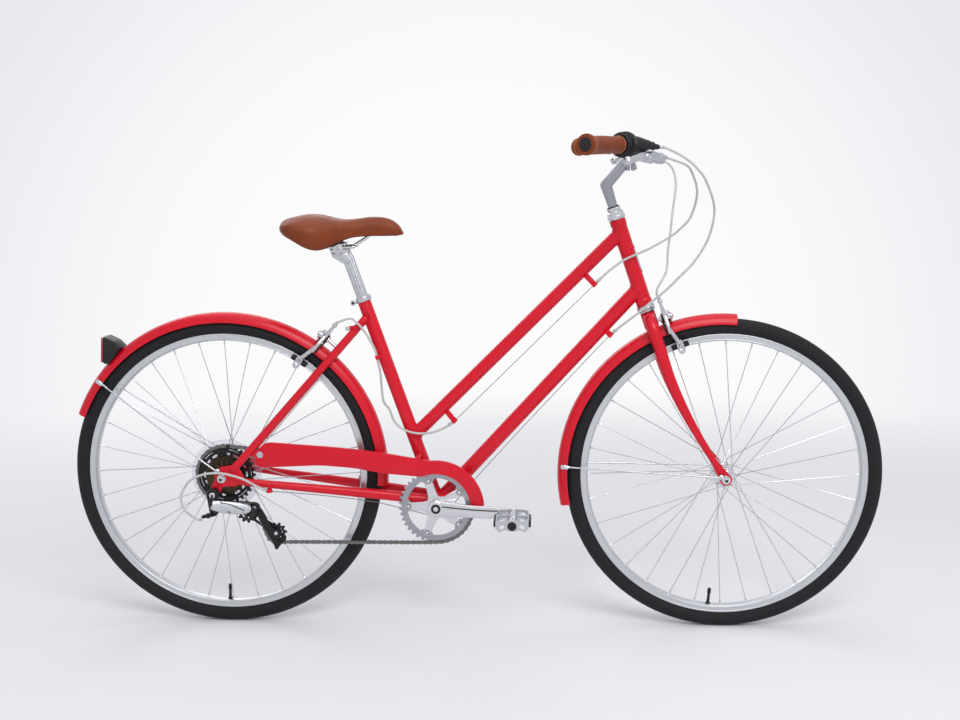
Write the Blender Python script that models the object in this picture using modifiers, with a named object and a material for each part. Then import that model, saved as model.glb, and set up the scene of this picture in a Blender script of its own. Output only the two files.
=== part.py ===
"""City bike with a low-step frame, seven cogs, side-pull brakes and a twist shifter.

+X is forward, +Y is the rider's left, +Z is up, and the origin is on the ground midway between
the two axles. All sizes are in metres, and angles in degrees unless a name says otherwise.
"""

import math

import bmesh
import bpy
from mathutils import Matrix, Vector

GAP = 0.0003  # between pieces that touch on the real bike

# Wheels
WHEELBASE = 1.1025
RIM_RADIUS = 0.314
TYRE_HEIGHT = 0.0325  # above the rim's edge
TYRE_RADIUS = RIM_RADIUS + TYRE_HEIGHT
TYRE_WIDTH = 0.035
RIM_DEPTH = 0.0165
RIM_WIDTH = 0.024
WHEEL_SIDES = 40
SPOKE_COUNT = 32
SPOKE_RADIUS = 0.001
SPOKE_LAYER = 0.0016
SPOKE_CROSSING = 62.0
FLANGE_THICKNESS = 0.0044
FRONT_FLANGE_RADIUS = 0.022
FRONT_FLANGE_OFFSET = 0.034
FRONT_HUB_RADIUS = 0.014
FRONT_HUB_HALF = 0.0435
FRONT_FORK_HALF = 0.050
REAR_FLANGE_RADIUS = 0.024
REAR_FLANGE_RIGHT = 0.020
REAR_FLANGE_LEFT = 0.033
REAR_HUB_RADIUS = 0.016
REAR_HUB_LEFT = 0.056
REAR_HUB_RIGHT = 0.058
REAR_DROPOUT_HALF = 0.065
AXLE_RADIUS = 0.0045
AXLE_CLEARANCE = 0.0006
CONE_RADIUS = 0.008
NUT_RADIUS = 0.0088
NUT_LENGTH = 0.010
DROPOUT_THICKNESS = 0.005

# Frame
BRACKET_DROP = 0.0665  # below the axles
SEAT_TUBE_CLEARANCE = 0.0473  # between the rear fender and the seat tube
SHELL_RADIUS = 0.0205
SHELL_HALF = 0.034
SHELL_WALL = 0.0035
BEARING_FLANGE = 0.0035
SPINDLE_CLEARANCE = 0.0005
BOSS_CLEARANCE = 0.001
HEAD_BOTTOM_ANGLE = 115.1066  # of the head tube's lower end, seen from the front axle
HEAD_ANGLE = 71.5
HEAD_LENGTH = 0.195
HEAD_RADIUS = 0.0165
HEAD_BORE = 0.0140
HEADSET_RADIUS = 0.0200
LOWER_CUP_HEIGHT = 0.010
UPPER_STACK_HEIGHT = 0.030
SEAT_ANGLE = 70.7
SEAT_TUBE_LENGTH = 0.486
SEAT_TUBE_RADIUS = 0.0145
TOP_TUBE_RADIUS = 0.0143
TOP_TUBE_HEAD_DROP = 0.028
TOP_TUBE_SEAT_RISE = 0.159
DOWN_TUBE_RADIUS = 0.0156
DOWN_TUBE_HEAD_RISE = 0.040
STAY_TOP_DROP = 0.045
STAY_TOP_BACK = 0.010
SEATSTAY_RADIUS = 0.0085
SEATSTAY_TOP_Y = 0.012
SEATSTAY_WIDE_Y = 0.040
SEATSTAY_WIDE_SHARE = 0.36
SEATSTAY_LOW_FORWARD = 0.026
SEATSTAY_LOW_RISE = 0.020
CHAINSTAY_FRONT_RADIUS = 0.011
CHAINSTAY_REAR_RADIUS = 0.0075
CHAINSTAY_FRONT_Y = 0.024
CHAINSTAY_FRONT_RISE = 0.008
CHAINSTAY_MIDDLE_Y = 0.034
CHAINSTAY_MIDDLE_RISE = 0.024
CHAINSTAY_MIDDLE_BACK = 0.125
CHAINSTAY_REAR_Y = 0.0625
CHAINSTAY_REAR_DROP = 0.008
CHAINSTAY_REAR_FORWARD = 0.040
BRIDGE_RADIUS = 0.007
BRIDGE_CLEARANCE = 0.00924  # between the rear fender and the bridge
COLLAR_RADIUS = 0.0185
COLLAR_HEIGHT = 0.016
COLLAR_EAR_WIDTH = 0.024

# Fork
STEERER_RADIUS = 0.0127
CROWN_RADIUS = 0.0160
CROWN_DROP = 0.016
CROWN_LENGTH = 0.035
CROWN_CLEARANCE = 0.00668  # between the front fender and the crown
FORK_EYE_RADIUS = 0.013
BLADE_SPREAD = 0.0525
BLADE_BEND_START = 0.40
BLADE_BEND_POWER = 1.45
BLADE_END_RISE = 0.0209  # above the axle
# Share of the drop from the head tube to the blade's end, share of the full spread, and radius
BLADE_STATIONS = (
    (0.0614, 0.10, 0.0105),
    (0.0690, 0.34, 0.0115),
    (0.0870, 0.55, 0.0122),
    (0.1176, 0.70, 0.0126),
    (0.1662, 0.76, 0.0126),
    (0.2558, 0.83, 0.0123),
    (0.4092, 0.92, 0.0115),
    (0.5882, 0.98, 0.0100),
    (0.7801, 1.00, 0.0078),
    (0.9054, 1.00, 0.0068),
    (1.0000, 1.00, 0.0062),
)

# Stem and handlebar
QUILL_RADIUS = 0.0111
STEM_BEND_RISE = 0.078
STEM_RADIUS = 0.0125
QUILL_INSERTED = 0.060
STEM_BARREL_WALL = 0.006
STEM_BARREL_HALF = 0.020
STEM_ARM_LENGTH = 0.0826
STEM_ARM_ANGLE = 49.8
BAR_RADIUS = 0.0111
BAR_NECK_FORWARD = 0.002
BAR_NECK_Y = 0.032
BAR_NECK_RISE = 0.001
BAR_KNEE_FORWARD = 0.016
BAR_KNEE_Y = 0.085
BAR_BEND_LENGTH = 0.006
GRIP_END_BACK = 0.105  # behind the bar's clamp
GRIP_END_Y = 0.290
GRIP_END_RISE = 0.020
GRIP_SWEEP = 33.5
GRIP_LENGTH = 0.126
GRIP_RADIUS = 0.0170
GRIP_FLARE = 0.0035
GRIP_END_THICKNESS = 0.003
SHIFTER_RADIUS = 0.0265
SHIFTER_TWIST_LENGTH = 0.020
SHIFTER_BODY_LENGTH = 0.018
SHIFTER_NOSE_FORWARD = 0.0215
# Cable barrels: how far they run inward, forward and down
SHIFTER_NOSE = (0.0435, 0.0293, 0.0049)
BRAKE_BARREL = (0.0477, 0.0063, 0.0070)
BRAKE_BARREL_INWARD = 0.012
BRAKE_BARREL_FORWARD = 0.006
LEVER_CLAMP_LENGTH = 0.014
LEVER_REACH = 0.054
LEVER_LENGTH = 0.108
LEVER_TIP_DROP = 0.010
LEVER_PIVOT_FORWARD = 0.032
LEVER_DROP = 0.019
LEVER_PIN_RADIUS = 0.0025
LEVER_BOSS_HALF = 0.0048
BRACKET_PLATE_THICKNESS = 0.0035

# Drive
CRANK_LENGTH = 0.170
CRANK_OUTSIDE_GUARD = 0.0255
CRANK_ANGLE = -1.9
CHAIN_PITCH = 0.0127
CHAIN_WIDTH = 0.0073
CHAIN_HEIGHT = 0.0084
CHAIN_INNER_WIDTH = 0.0042
CHAIN_PIN_LENGTH = 0.0050
CHAIN_STRAIGHT_OUT = 0.045
TOOTH_HEIGHT = 0.0030
PULLEY_TOOTH_HEIGHT = 0.0010
RING_TEETH = 40
RING_Y = -CHAINSTAY_MIDDLE_Y - CHAINSTAY_FRONT_RADIUS
RING_THICKNESS = 0.0030
RING_INNER_RADIUS = 0.0650
RING_TAB_RADIUS = 0.0550
COG_TEETH = (32, 21, 20, 19, 18, 16, 14)
COG_SPACING = 0.005
COG_THICKNESS = 0.0020
COG_OUTSIDE_FLANGE = 0.0085
FIRST_COG_Y = -REAR_FLANGE_RIGHT - COG_OUTSIDE_FLANGE
PULLEY_TEETH = 11
GUIDE_PULLEY_GAP = 0.01142  # between the pitch circles of the pulley and the largest cog
GUIDE_PULLEY_ANGLE = -62.397  # seen from the rear axle
PULLEY_SPACING = 0.07858
CAGE_ANGLE = -35.47
SPINDLE_RADIUS = 0.0085
SPINDLE_END = 0.018
SPIDER_RADIUS = 0.0690
SPIDER_THICKNESS = 0.0050
BOLT_CIRCLE = 0.122
CRANK_THICKNESS = 0.0125
CRANK_BOSS_RADIUS = 0.0175
CRANK_EYE_RADIUS = 0.0140
PEDAL_SPINDLE_RADIUS = 0.0060
PEDAL_LENGTH = 0.096
PEDAL_WIDTH = 0.072
PEDAL_HEIGHT = 0.026
PEDAL_CLEARANCE = 0.003
PEDAL_BORE_CLEARANCE = 0.0007
PEDAL_EDGE = 0.006
GUARD_OUTSIDE_RING = 0.0095
GUARD_Y = RING_Y - GUARD_OUTSIDE_RING
CRANK_OUTER_Y = CRANK_OUTSIDE_GUARD - GUARD_Y
GUARD_THICKNESS = 0.0015
GUARD_INNER_RADIUS = 0.0760
GUARD_OUTER_RADIUS = 0.1060
GUARD_STRUT_RADIUS = 0.0045
GUARD_STRUT_RISE = 0.118

# Derailleur
LINK_LENGTH = 0.070
LINK_YAW = 26.0
LINK_PITCH = 11.0
LINK_SLANT = -20.0
LINK_HEIGHT = 0.016
LINK_THICKNESS = 0.006
LINK_PIN_RADIUS = 0.0020
LINK_UPPER_FORWARD = 0.010
LINK_UPPER_DROP = 0.026
LINK_UPPER_Y = -0.0870
PULLEY_AXLE_RADIUS = 0.0028
CAGE_CLEARANCE = 0.0015
CAGE_THICKNESS = 0.002
HANGER_BACK = 0.01775  # behind the rear axle
HANGER_DROP = 0.0335
CAGE_PIVOT_FORWARD = 0.0195  # of the guide pulley
CAGE_PIVOT_RISE = 0.0150
SHIFT_BARREL_BACK = 0.0345  # behind the link's upper pivot
SHIFT_BARREL_INWARD = 0.0010
SHIFT_BARREL_DROP = 0.0230
KNUCKLE_RADIUS = 0.011

# Fenders
REAR_FENDER_CLEARANCE = 0.0145
FRONT_FENDER_CLEARANCE = 0.0105
FENDER_RADIUS = TYRE_RADIUS + REAR_FENDER_CLEARANCE
FRONT_FENDER_RADIUS = TYRE_RADIUS + FRONT_FENDER_CLEARANCE
FENDER_HALF_WIDTH = 0.024
FENDER_DEPTH = 0.021
FENDER_THICKNESS = 0.0015
REAR_FENDER_START = -4.0
REAR_FENDER_END = 157.7
FRONT_FENDER_SET_BACK = 0.008
FRONT_FENDER_START = 85.5
FRONT_FENDER_END = 191.0
STAY_WIRE_RADIUS = 0.0022
REFLECTOR_WIDTH = 0.050
REFLECTOR_ANGLE = 133.0

# Brakes
BRAKE_BOLT_RADIUS = 0.0040
FRONT_BRAKE_DROP = 0.040
FRONT_BRAKE_FORWARD = 0.028
REAR_BRAKE_BACK = 0.036
BRAKE_ARM_THICKNESS = 0.0075
PAD_LENGTH = 0.038
PAD_HEIGHT = 0.010
PAD_CLEARANCE = 0.0022
PAD_BELOW_RIM_EDGE = 0.008
PAD_RADIUS = RIM_RADIUS - PAD_BELOW_RIM_EDGE
ARM_OUTSIDE_FENDER = 0.010
CABLE_LUG_HEIGHT = 0.0345
CABLE_LUG_OUT = 0.030

# Seat
POST_RADIUS = 0.0127
POST_SHOWN = 0.112
POST_INSERTED = 0.160
POST_HEAD_RISE = 0.004
SADDLE_REAR_BEHIND = 0.1335  # behind the post's head
SADDLE_OVER_HEAD = 0.0188
SADDLE_LENGTH = 0.262
SADDLE_WIDTH = 0.190
RAIL_RADIUS = 0.0035
RAIL_SPREAD = 0.022

# Cables
HOUSING_RADIUS = 0.0025
WIRE_RADIUS = 0.0012

COLOURS = {
    "red_paint": ((0.62, 0.012, 0.035), 0.35, 0.0),
    "black_rubber": ((0.02, 0.02, 0.02), 0.75, 0.0),
    "black_plastic": ((0.03, 0.03, 0.03), 0.45, 0.0),
    "silver_metal": ((0.72, 0.72, 0.74), 0.35, 1.0),
    "dark_steel": ((0.16, 0.15, 0.14), 0.40, 1.0),
    "brown_leather": ((0.42, 0.14, 0.05), 0.50, 0.0),
    "grey_housing": ((0.62, 0.62, 0.62), 0.40, 0.0),
    "red_lens": ((0.70, 0.02, 0.02), 0.15, 0.0),
}


# Frame geometry worked out from the driving sizes


def direction(degrees):
    """Unit vector in the bike's side view, counter-clockwise from forward as seen from the right."""
    angle = math.radians(degrees)
    return Vector((math.cos(angle), 0.0, math.sin(angle)))


FRONT_AXLE = Vector((WHEELBASE / 2, 0.0, TYRE_RADIUS))
REAR_AXLE = Vector((-WHEELBASE / 2, 0.0, TYRE_RADIUS))
SEAT_UP = direction(180.0 - SEAT_ANGLE)
SEAT_BACK = Vector((-SEAT_UP.z, 0.0, SEAT_UP.x))
SEAT_TUBE_OFFSET = FENDER_RADIUS + SEAT_TUBE_CLEARANCE + SEAT_TUBE_RADIUS
BRACKET_FORWARD = (SEAT_TUBE_OFFSET - SEAT_UP.x * BRACKET_DROP) / SEAT_UP.z
BRACKET = REAR_AXLE + Vector((BRACKET_FORWARD, 0.0, -BRACKET_DROP))
SEAT_TOP = BRACKET + SEAT_UP * SEAT_TUBE_LENGTH
STEERING = direction(180.0 - HEAD_ANGLE)
HEAD_BOTTOM_REACH = FRONT_FENDER_RADIUS + CROWN_CLEARANCE + CROWN_LENGTH + CROWN_DROP
HEAD_BOTTOM = FRONT_AXLE + direction(HEAD_BOTTOM_ANGLE) * HEAD_BOTTOM_REACH
HEAD_TOP = HEAD_BOTTOM + STEERING * HEAD_LENGTH
STEM_BEND = HEAD_TOP + STEERING * STEM_BEND_RISE
BAR_CLAMP = STEM_BEND + direction(STEM_ARM_ANGLE) * STEM_ARM_LENGTH
HANGER = REAR_AXLE - Vector((HANGER_BACK, 0.0, HANGER_DROP))
RIGHT = Vector((0.0, -1.0, 0.0))
UP = Vector((0.0, 0.0, 1.0))
STEER_FORWARD = RIGHT.cross(STEERING).normalized() * -1.0
RIM_INNER_RADIUS = RIM_RADIUS - RIM_DEPTH


def steering_point(drop, forward=0.0, y=0.0):
    """A point this far below the head tube's lower end and forward of the steering axis."""
    point = HEAD_BOTTOM - STEERING * drop + STEER_FORWARD * forward
    return point + Vector((0.0, y, 0.0))


def meet_circle(start, heading, centre, radius):
    """Where a line from start first comes this near to the centre, both seen from the side."""
    away = start - centre
    a = heading.x**2 + heading.z**2
    b = away.x * heading.x + away.z * heading.z
    c = away.x**2 + away.z**2 - radius**2
    return start - heading * ((b + math.sqrt(b * b - a * c)) / a)


def pitch_radius(teeth):
    return CHAIN_PITCH / (2 * math.sin(math.pi / teeth))


# Modelling helpers


def clear_scene():
    for obj in list(bpy.data.objects):
        bpy.data.objects.remove(obj)


def make_collection(name):
    collection = bpy.data.collections.new(name)
    bpy.context.scene.collection.children.link(collection)
    return collection


def make_material(name):
    colour, roughness, metallic = COLOURS[name]
    material = bpy.data.materials.new(name)
    material.use_nodes = True
    shader = material.node_tree.nodes["Principled BSDF"]
    shader.inputs["Base Color"].default_value = (*colour, 1.0)
    shader.inputs["Roughness"].default_value = roughness
    shader.inputs["Metallic"].default_value = metallic
    material.diffuse_color = (*colour, 1.0)
    return material


def part(obj, name, material):
    """Names an object, gives it its material and moves it to the bike's collection."""
    obj.name = name
    obj.data.name = name
    obj.data.materials.clear()
    obj.data.materials.append(MATERIALS[material])
    for collection in list(obj.users_collection):
        collection.objects.unlink(obj)
    BIKE.objects.link(obj)
    if obj.type == "MESH":
        obj.data.shade_smooth()
        obj.data.set_sharp_from_angle(angle=math.radians(35))
    return obj


def as_cutter(obj, name):
    """Keeps a shape out of the model, for use in a Boolean."""
    obj.name = name
    obj.hide_render = True
    obj.display_type = "WIRE"
    for collection in list(obj.users_collection):
        collection.objects.unlink(obj)
    CUTTERS.objects.link(obj)
    return obj


def boolean(obj, other, operation):
    modifier = obj.modifiers.new(other.name, "BOOLEAN")
    modifier.operation = operation
    modifier.object = other
    return obj


def cut(obj, cutter):
    return boolean(obj, cutter, "DIFFERENCE")


def fuse(obj, *others):
    """Joins helper shapes to obj with Boolean unions."""
    for other in others:
        as_cutter(other, f"{other.name}_joined")
        boolean(obj, other, "UNION")
    return obj


def frame_matrix(origin, axis, across=None):
    """Matrix that stands a shape's +Z along axis, with its +X as near to across as it can be."""
    up = Vector(axis).normalized()
    if across is None:
        across = Vector((0.0, 1.0, 0.0)) if abs(up.y) < 0.9 else Vector((1.0, 0.0, 0.0))
    side = (Vector(across) - up * up.dot(Vector(across))).normalized()
    third = up.cross(side)
    matrix = Matrix((side, third, up)).transposed().to_4x4()
    matrix.translation = Vector(origin)
    return matrix


def rod(name, start, end, radius, sides=12, end_radius=None):
    """A straight round bar, or a cone where end_radius differs."""
    start, end = Vector(start), Vector(end)
    mesh = bpy.data.meshes.new(name)
    obj = bpy.data.objects.new(name, mesh)
    BIKE.objects.link(obj)
    shape = bmesh.new()
    length = (end - start).length
    bmesh.ops.create_cone(
        shape,
        cap_ends=True,
        segments=sides,
        radius1=radius,
        radius2=radius if end_radius is None else end_radius,
        depth=length,
    )
    bmesh.ops.translate(shape, verts=shape.verts, vec=(0.0, 0.0, length / 2))
    shape.to_mesh(mesh)
    shape.free()
    obj.matrix_world = frame_matrix(start, end - start)
    return obj


def block(name, size, matrix):
    """A box of this size, centred on the matrix."""
    mesh = bpy.data.meshes.new(name)
    obj = bpy.data.objects.new(name, mesh)
    BIKE.objects.link(obj)
    shape = bmesh.new()
    bmesh.ops.create_cube(shape, size=1.0)
    bmesh.ops.scale(shape, vec=size, verts=shape.verts)
    shape.to_mesh(mesh)
    shape.free()
    obj.matrix_world = matrix
    return obj


def turned(name, profile, steps, matrix, closed=False, span=360.0, start=0.0, breaks=()):
    """A turned piece: the profile's (radius, height) points run down its outer side.

    No edge follows the points whose numbers are in breaks, so that a profile can leave the axis
    again inside the piece.
    """
    mesh = bpy.data.meshes.new(name)
    turn = Matrix.Rotation(math.radians(start), 3, "Z")
    points = [turn @ Vector((radius, 0.0, height)) for radius, height in profile]
    edges = [(i, i + 1) for i in range(len(points) - 1) if i not in breaks]
    if closed:
        edges.append((len(points) - 1, 0))
    mesh.from_pydata(points, edges, [])
    obj = bpy.data.objects.new(name, mesh)
    BIKE.objects.link(obj)
    screw = obj.modifiers.new("turn", "SCREW")
    screw.steps = steps
    screw.render_steps = steps
    screw.angle = math.radians(span)
    screw.use_merge_vertices = span == 360.0
    screw.merge_threshold = 0.00001
    obj.matrix_world = matrix
    return obj


def across_bike(centre, y=0.0):
    """Matrix of a shape turned about a line across the bike, with its height towards the right."""
    origin = Vector(centre) + Vector((0.0, y, 0.0))
    return Matrix.Translation(origin) @ Matrix.Rotation(math.pi / 2, 4, "X")


def smooth_path(points, spacing):
    """Points about this far apart on a smooth curve through the given ones."""
    points = [Vector(p) for p in points]
    ends = [2 * points[0] - points[1], *points, 2 * points[-1] - points[-2]]
    path = [points[0]]
    for a, b, c, d in zip(ends, ends[1:], ends[2:], ends[3:]):
        count = max(1, round((c - b).length / spacing))
        for i in range(1, count + 1):
            t = i / count
            path.append(
                0.5
                * (
                    2 * b
                    + (c - a) * t
                    + (2 * a - 5 * b + 4 * c - d) * t**2
                    + (3 * b - a - 3 * c + d) * t**3
                )
            )
    return path


def tube(name, points, radii, resolution=2):
    """A tube through the points, as a POLY curve with a bevel and filled caps."""
    curve = bpy.data.curves.new(name, "CURVE")
    curve.dimensions = "3D"
    curve.bevel_depth = 1.0
    curve.bevel_resolution = resolution
    curve.use_fill_caps = True
    spline = curve.splines.new("POLY")
    spline.points.add(len(points) - 1)
    if not hasattr(radii, "__len__"):
        radii = [radii] * len(points)
    for place, point, radius in zip(spline.points, points, radii):
        place.co = (*point, 1.0)
        place.radius = radius
    obj = bpy.data.objects.new(name, curve)
    BIKE.objects.link(obj)
    return obj


def as_mesh(obj):
    """Turns a curve object into a welded mesh object in the same place."""
    name, place = obj.name, obj.matrix_world.copy()
    graph = bpy.context.evaluated_depsgraph_get()
    graph.update()
    mesh = bpy.data.meshes.new_from_object(obj.evaluated_get(graph))
    curve = obj.data
    bpy.data.objects.remove(obj)
    bpy.data.curves.remove(curve)
    shape = bmesh.new()
    shape.from_mesh(mesh)
    bmesh.ops.remove_doubles(shape, verts=shape.verts, dist=0.00001)
    bmesh.ops.recalc_face_normals(shape, faces=shape.faces)
    shape.to_mesh(mesh)
    shape.free()
    made = bpy.data.objects.new(name, mesh)
    BIKE.objects.link(made)
    made.matrix_world = place
    return made


def plate(name, outlines, thickness, matrix):
    """A flat plate: its outline and any holes lie in the matrix's XY plane."""
    curve = bpy.data.curves.new(name, "CURVE")
    curve.dimensions = "2D"
    curve.fill_mode = "BOTH"
    curve.extrude = thickness / 2
    for outline in outlines:
        spline = curve.splines.new("POLY")
        spline.points.add(len(outline) - 1)
        for place, point in zip(spline.points, outline):
            place.co = (point[0], point[1], 0.0, 1.0)
        spline.use_cyclic_u = True
    obj = bpy.data.objects.new(name, curve)
    BIKE.objects.link(obj)
    obj.matrix_world = matrix
    bpy.context.view_layer.update()
    return as_mesh(obj)


def side_plate(name, outlines, thickness, y):
    """A plate that stands in the bike's side view, with its middle at this y."""
    return plate(name, outlines, thickness, across_bike((0.0, 0.0, 0.0), y))


def circle(centre, radius, sides):
    """Points of a round outline, in the plane of a plate."""
    turns = [2 * math.pi * i / sides for i in range(sides)]
    return [(centre[0] + radius * math.cos(a), centre[1] + radius * math.sin(a)) for a in turns]


def capsule(start, end, start_radius, end_radius, sides=5):
    """Outline of a bar with round ends of these radii."""
    start, end = Vector(start), Vector(end)
    heading = math.atan2(end.y - start.y, end.x - start.x)
    points = []
    for centre, radius, turn in ((start, start_radius, 0.5), (end, end_radius, -0.5)):
        for i in range(sides):
            angle = heading + math.pi * (turn + i / (sides - 1))
            points.append((centre.x + radius * math.cos(angle), centre.y + radius * math.sin(angle)))
    return points


# Wheels


def make_tyre(name, axle):
    """The tyre sits on the rim with its beads a gap away."""
    half = TYRE_WIDTH / 2
    bead = RIM_RADIUS + GAP
    middle = (bead + TYRE_RADIUS) / 2
    shoulder = (middle + TYRE_RADIUS) / 2 + 0.003
    bead_half = RIM_WIDTH / 2 - 0.001
    profile = [
        (bead, bead_half),
        (middle, half),
        (shoulder, half * 0.78),
        (TYRE_RADIUS, half * 0.28),
        (TYRE_RADIUS, -half * 0.28),
        (shoulder, -half * 0.78),
        (middle, -half),
        (bead, -bead_half),
    ]
    return part(turned(name, profile, WHEEL_SIDES, across_bike(axle), closed=True), name, "black_rubber")


def make_rim(name, axle):
    half = RIM_WIDTH / 2
    profile = [
        (RIM_RADIUS, half),
        (RIM_RADIUS, -half),
        (RIM_INNER_RADIUS + 0.004, -half),
        (RIM_INNER_RADIUS, -half * 0.55),
        (RIM_INNER_RADIUS, half * 0.55),
        (RIM_INNER_RADIUS + 0.004, half),
    ]
    return part(turned(name, profile, WHEEL_SIDES, across_bike(axle), closed=True), name, "silver_metal")


def add_spokes(hub, axle, flanges, flange_radius):
    """Fuses the tangent spokes to a hub: two layers on each flange that cross one another."""
    hole_radius = flange_radius - 0.003
    mesh = bpy.data.meshes.new(f"{hub.name}_spokes")
    shape = bmesh.new()
    per_flange = SPOKE_COUNT // len(flanges)
    for side, flange in enumerate(flanges):
        for i in range(per_flange):
            leading = 1 if i % 2 else -1
            rim_angle = 360.0 / SPOKE_COUNT * (2 * i + side)
            hub_angle = rim_angle + leading * SPOKE_CROSSING
            inner = direction(hub_angle) * hole_radius
            inner.y = flange + leading * SPOKE_LAYER
            outer = direction(rim_angle) * (RIM_INNER_RADIUS - 0.0012)
            spoke = bmesh.ops.create_cone(
                shape,
                cap_ends=True,
                segments=4,
                radius1=SPOKE_RADIUS * math.sqrt(2),
                radius2=SPOKE_RADIUS * math.sqrt(2),
                depth=(outer - inner).length,
            )
            place = frame_matrix((inner + outer) / 2, outer - inner)
            bmesh.ops.transform(shape, matrix=place, verts=spoke["verts"])
    shape.to_mesh(mesh)
    shape.free()
    spokes = bpy.data.objects.new(f"{hub.name}_spokes", mesh)
    BIKE.objects.link(spokes)
    spokes.matrix_world = Matrix.Translation(axle)
    return fuse(hub, spokes)


def flange_profile(offset, radius, barrel):
    half = FLANGE_THICKNESS / 2
    return [
        (barrel, offset + half),
        (radius, offset + half),
        (radius, offset - half),
        (barrel, offset - half),
    ]


def make_front_wheel():
    bore = AXLE_RADIUS + AXLE_CLEARANCE
    profile = [(bore, FRONT_HUB_HALF), (FRONT_HUB_RADIUS, FRONT_HUB_HALF)]
    profile += flange_profile(FRONT_FLANGE_OFFSET, FRONT_FLANGE_RADIUS, FRONT_HUB_RADIUS)
    profile += flange_profile(-FRONT_FLANGE_OFFSET, FRONT_FLANGE_RADIUS, FRONT_HUB_RADIUS)
    profile += [(FRONT_HUB_RADIUS, -FRONT_HUB_HALF), (bore, -FRONT_HUB_HALF)]
    hub = turned("front_hub", profile, 16, across_bike(FRONT_AXLE), closed=True)
    part(hub, "front_hub", "silver_metal")
    add_spokes(hub, FRONT_AXLE, (-FRONT_FLANGE_OFFSET, FRONT_FLANGE_OFFSET), FRONT_FLANGE_RADIUS)
    make_rim("front_rim", FRONT_AXLE)
    make_tyre("front_tyre", FRONT_AXLE)


def make_rear_wheel():
    bore = AXLE_RADIUS + AXLE_CLEARANCE
    profile = [(bore, REAR_HUB_RIGHT), (REAR_HUB_RADIUS, REAR_HUB_RIGHT)]
    profile += flange_profile(REAR_FLANGE_RIGHT, REAR_FLANGE_RADIUS, REAR_HUB_RADIUS)
    profile += flange_profile(-REAR_FLANGE_LEFT, REAR_FLANGE_RADIUS, REAR_HUB_RADIUS)
    profile += [(REAR_HUB_RADIUS, -REAR_HUB_LEFT), (bore, -REAR_HUB_LEFT)]
    hub = turned("rear_hub", profile, 16, across_bike(REAR_AXLE), closed=True)
    part(hub, "rear_hub", "silver_metal")
    add_spokes(hub, REAR_AXLE, (-REAR_FLANGE_RIGHT, REAR_FLANGE_LEFT), REAR_FLANGE_RADIUS)
    make_rim("rear_rim", REAR_AXLE)
    make_tyre("rear_tyre", REAR_AXLE)


def make_axle(name, centre, hub_right, hub_left, dropout_half):
    """An axle with its cones inside the dropouts and its nuts outside them."""
    inner, outer = dropout_half - GAP, dropout_half + DROPOUT_THICKNESS + GAP
    end = outer + NUT_LENGTH
    profile = [(0.0, end), (NUT_RADIUS, end), (NUT_RADIUS, outer), (AXLE_RADIUS, outer)]
    profile += [(AXLE_RADIUS, inner), (CONE_RADIUS, inner)]
    profile += [(CONE_RADIUS, hub_right + AXLE_CLEARANCE), (AXLE_RADIUS, hub_right + AXLE_CLEARANCE)]
    profile += [(AXLE_RADIUS, -hub_left - AXLE_CLEARANCE), (CONE_RADIUS, -hub_left - AXLE_CLEARANCE)]
    profile += [(CONE_RADIUS, -inner), (AXLE_RADIUS, -inner)]
    profile += [(AXLE_RADIUS, -outer), (NUT_RADIUS, -outer), (NUT_RADIUS, -end), (0.0, -end)]
    return part(turned(name, profile, 12, across_bike(centre)), name, "silver_metal")


# Frame


def make_head_tube():
    """The head tube with its lower headset cup, and the upper headset stack on top of it."""
    profile = [
        (HEAD_BORE, HEAD_LENGTH),
        (HEAD_RADIUS, HEAD_LENGTH),
        (HEAD_RADIUS, 0.0),
        (HEADSET_RADIUS, -0.001),
        (HEADSET_RADIUS, -LOWER_CUP_HEIGHT),
        (HEAD_BORE, -LOWER_CUP_HEIGHT),
    ]
    head = turned("head_tube", profile, 20, frame_matrix(HEAD_BOTTOM, STEERING), closed=True)
    part(head, "head_tube", "red_paint")
    top = UPPER_STACK_HEIGHT
    nut = HEADSET_RADIUS * 0.8
    stack = [
        (HEAD_BORE, top),
        (nut, top),
        (nut, top * 0.55),
        (HEADSET_RADIUS, top * 0.45),
        (HEADSET_RADIUS * 0.92, GAP),
        (HEAD_BORE, GAP),
    ]
    upper = turned("headset_upper", stack, 20, frame_matrix(HEAD_TOP, STEERING), closed=True)
    part(upper, "headset_upper", "silver_metal")


def tube_cutter(name, start, end, radius, sides=16):
    return as_cutter(rod(name, start, end, radius + GAP, sides), name)


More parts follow.
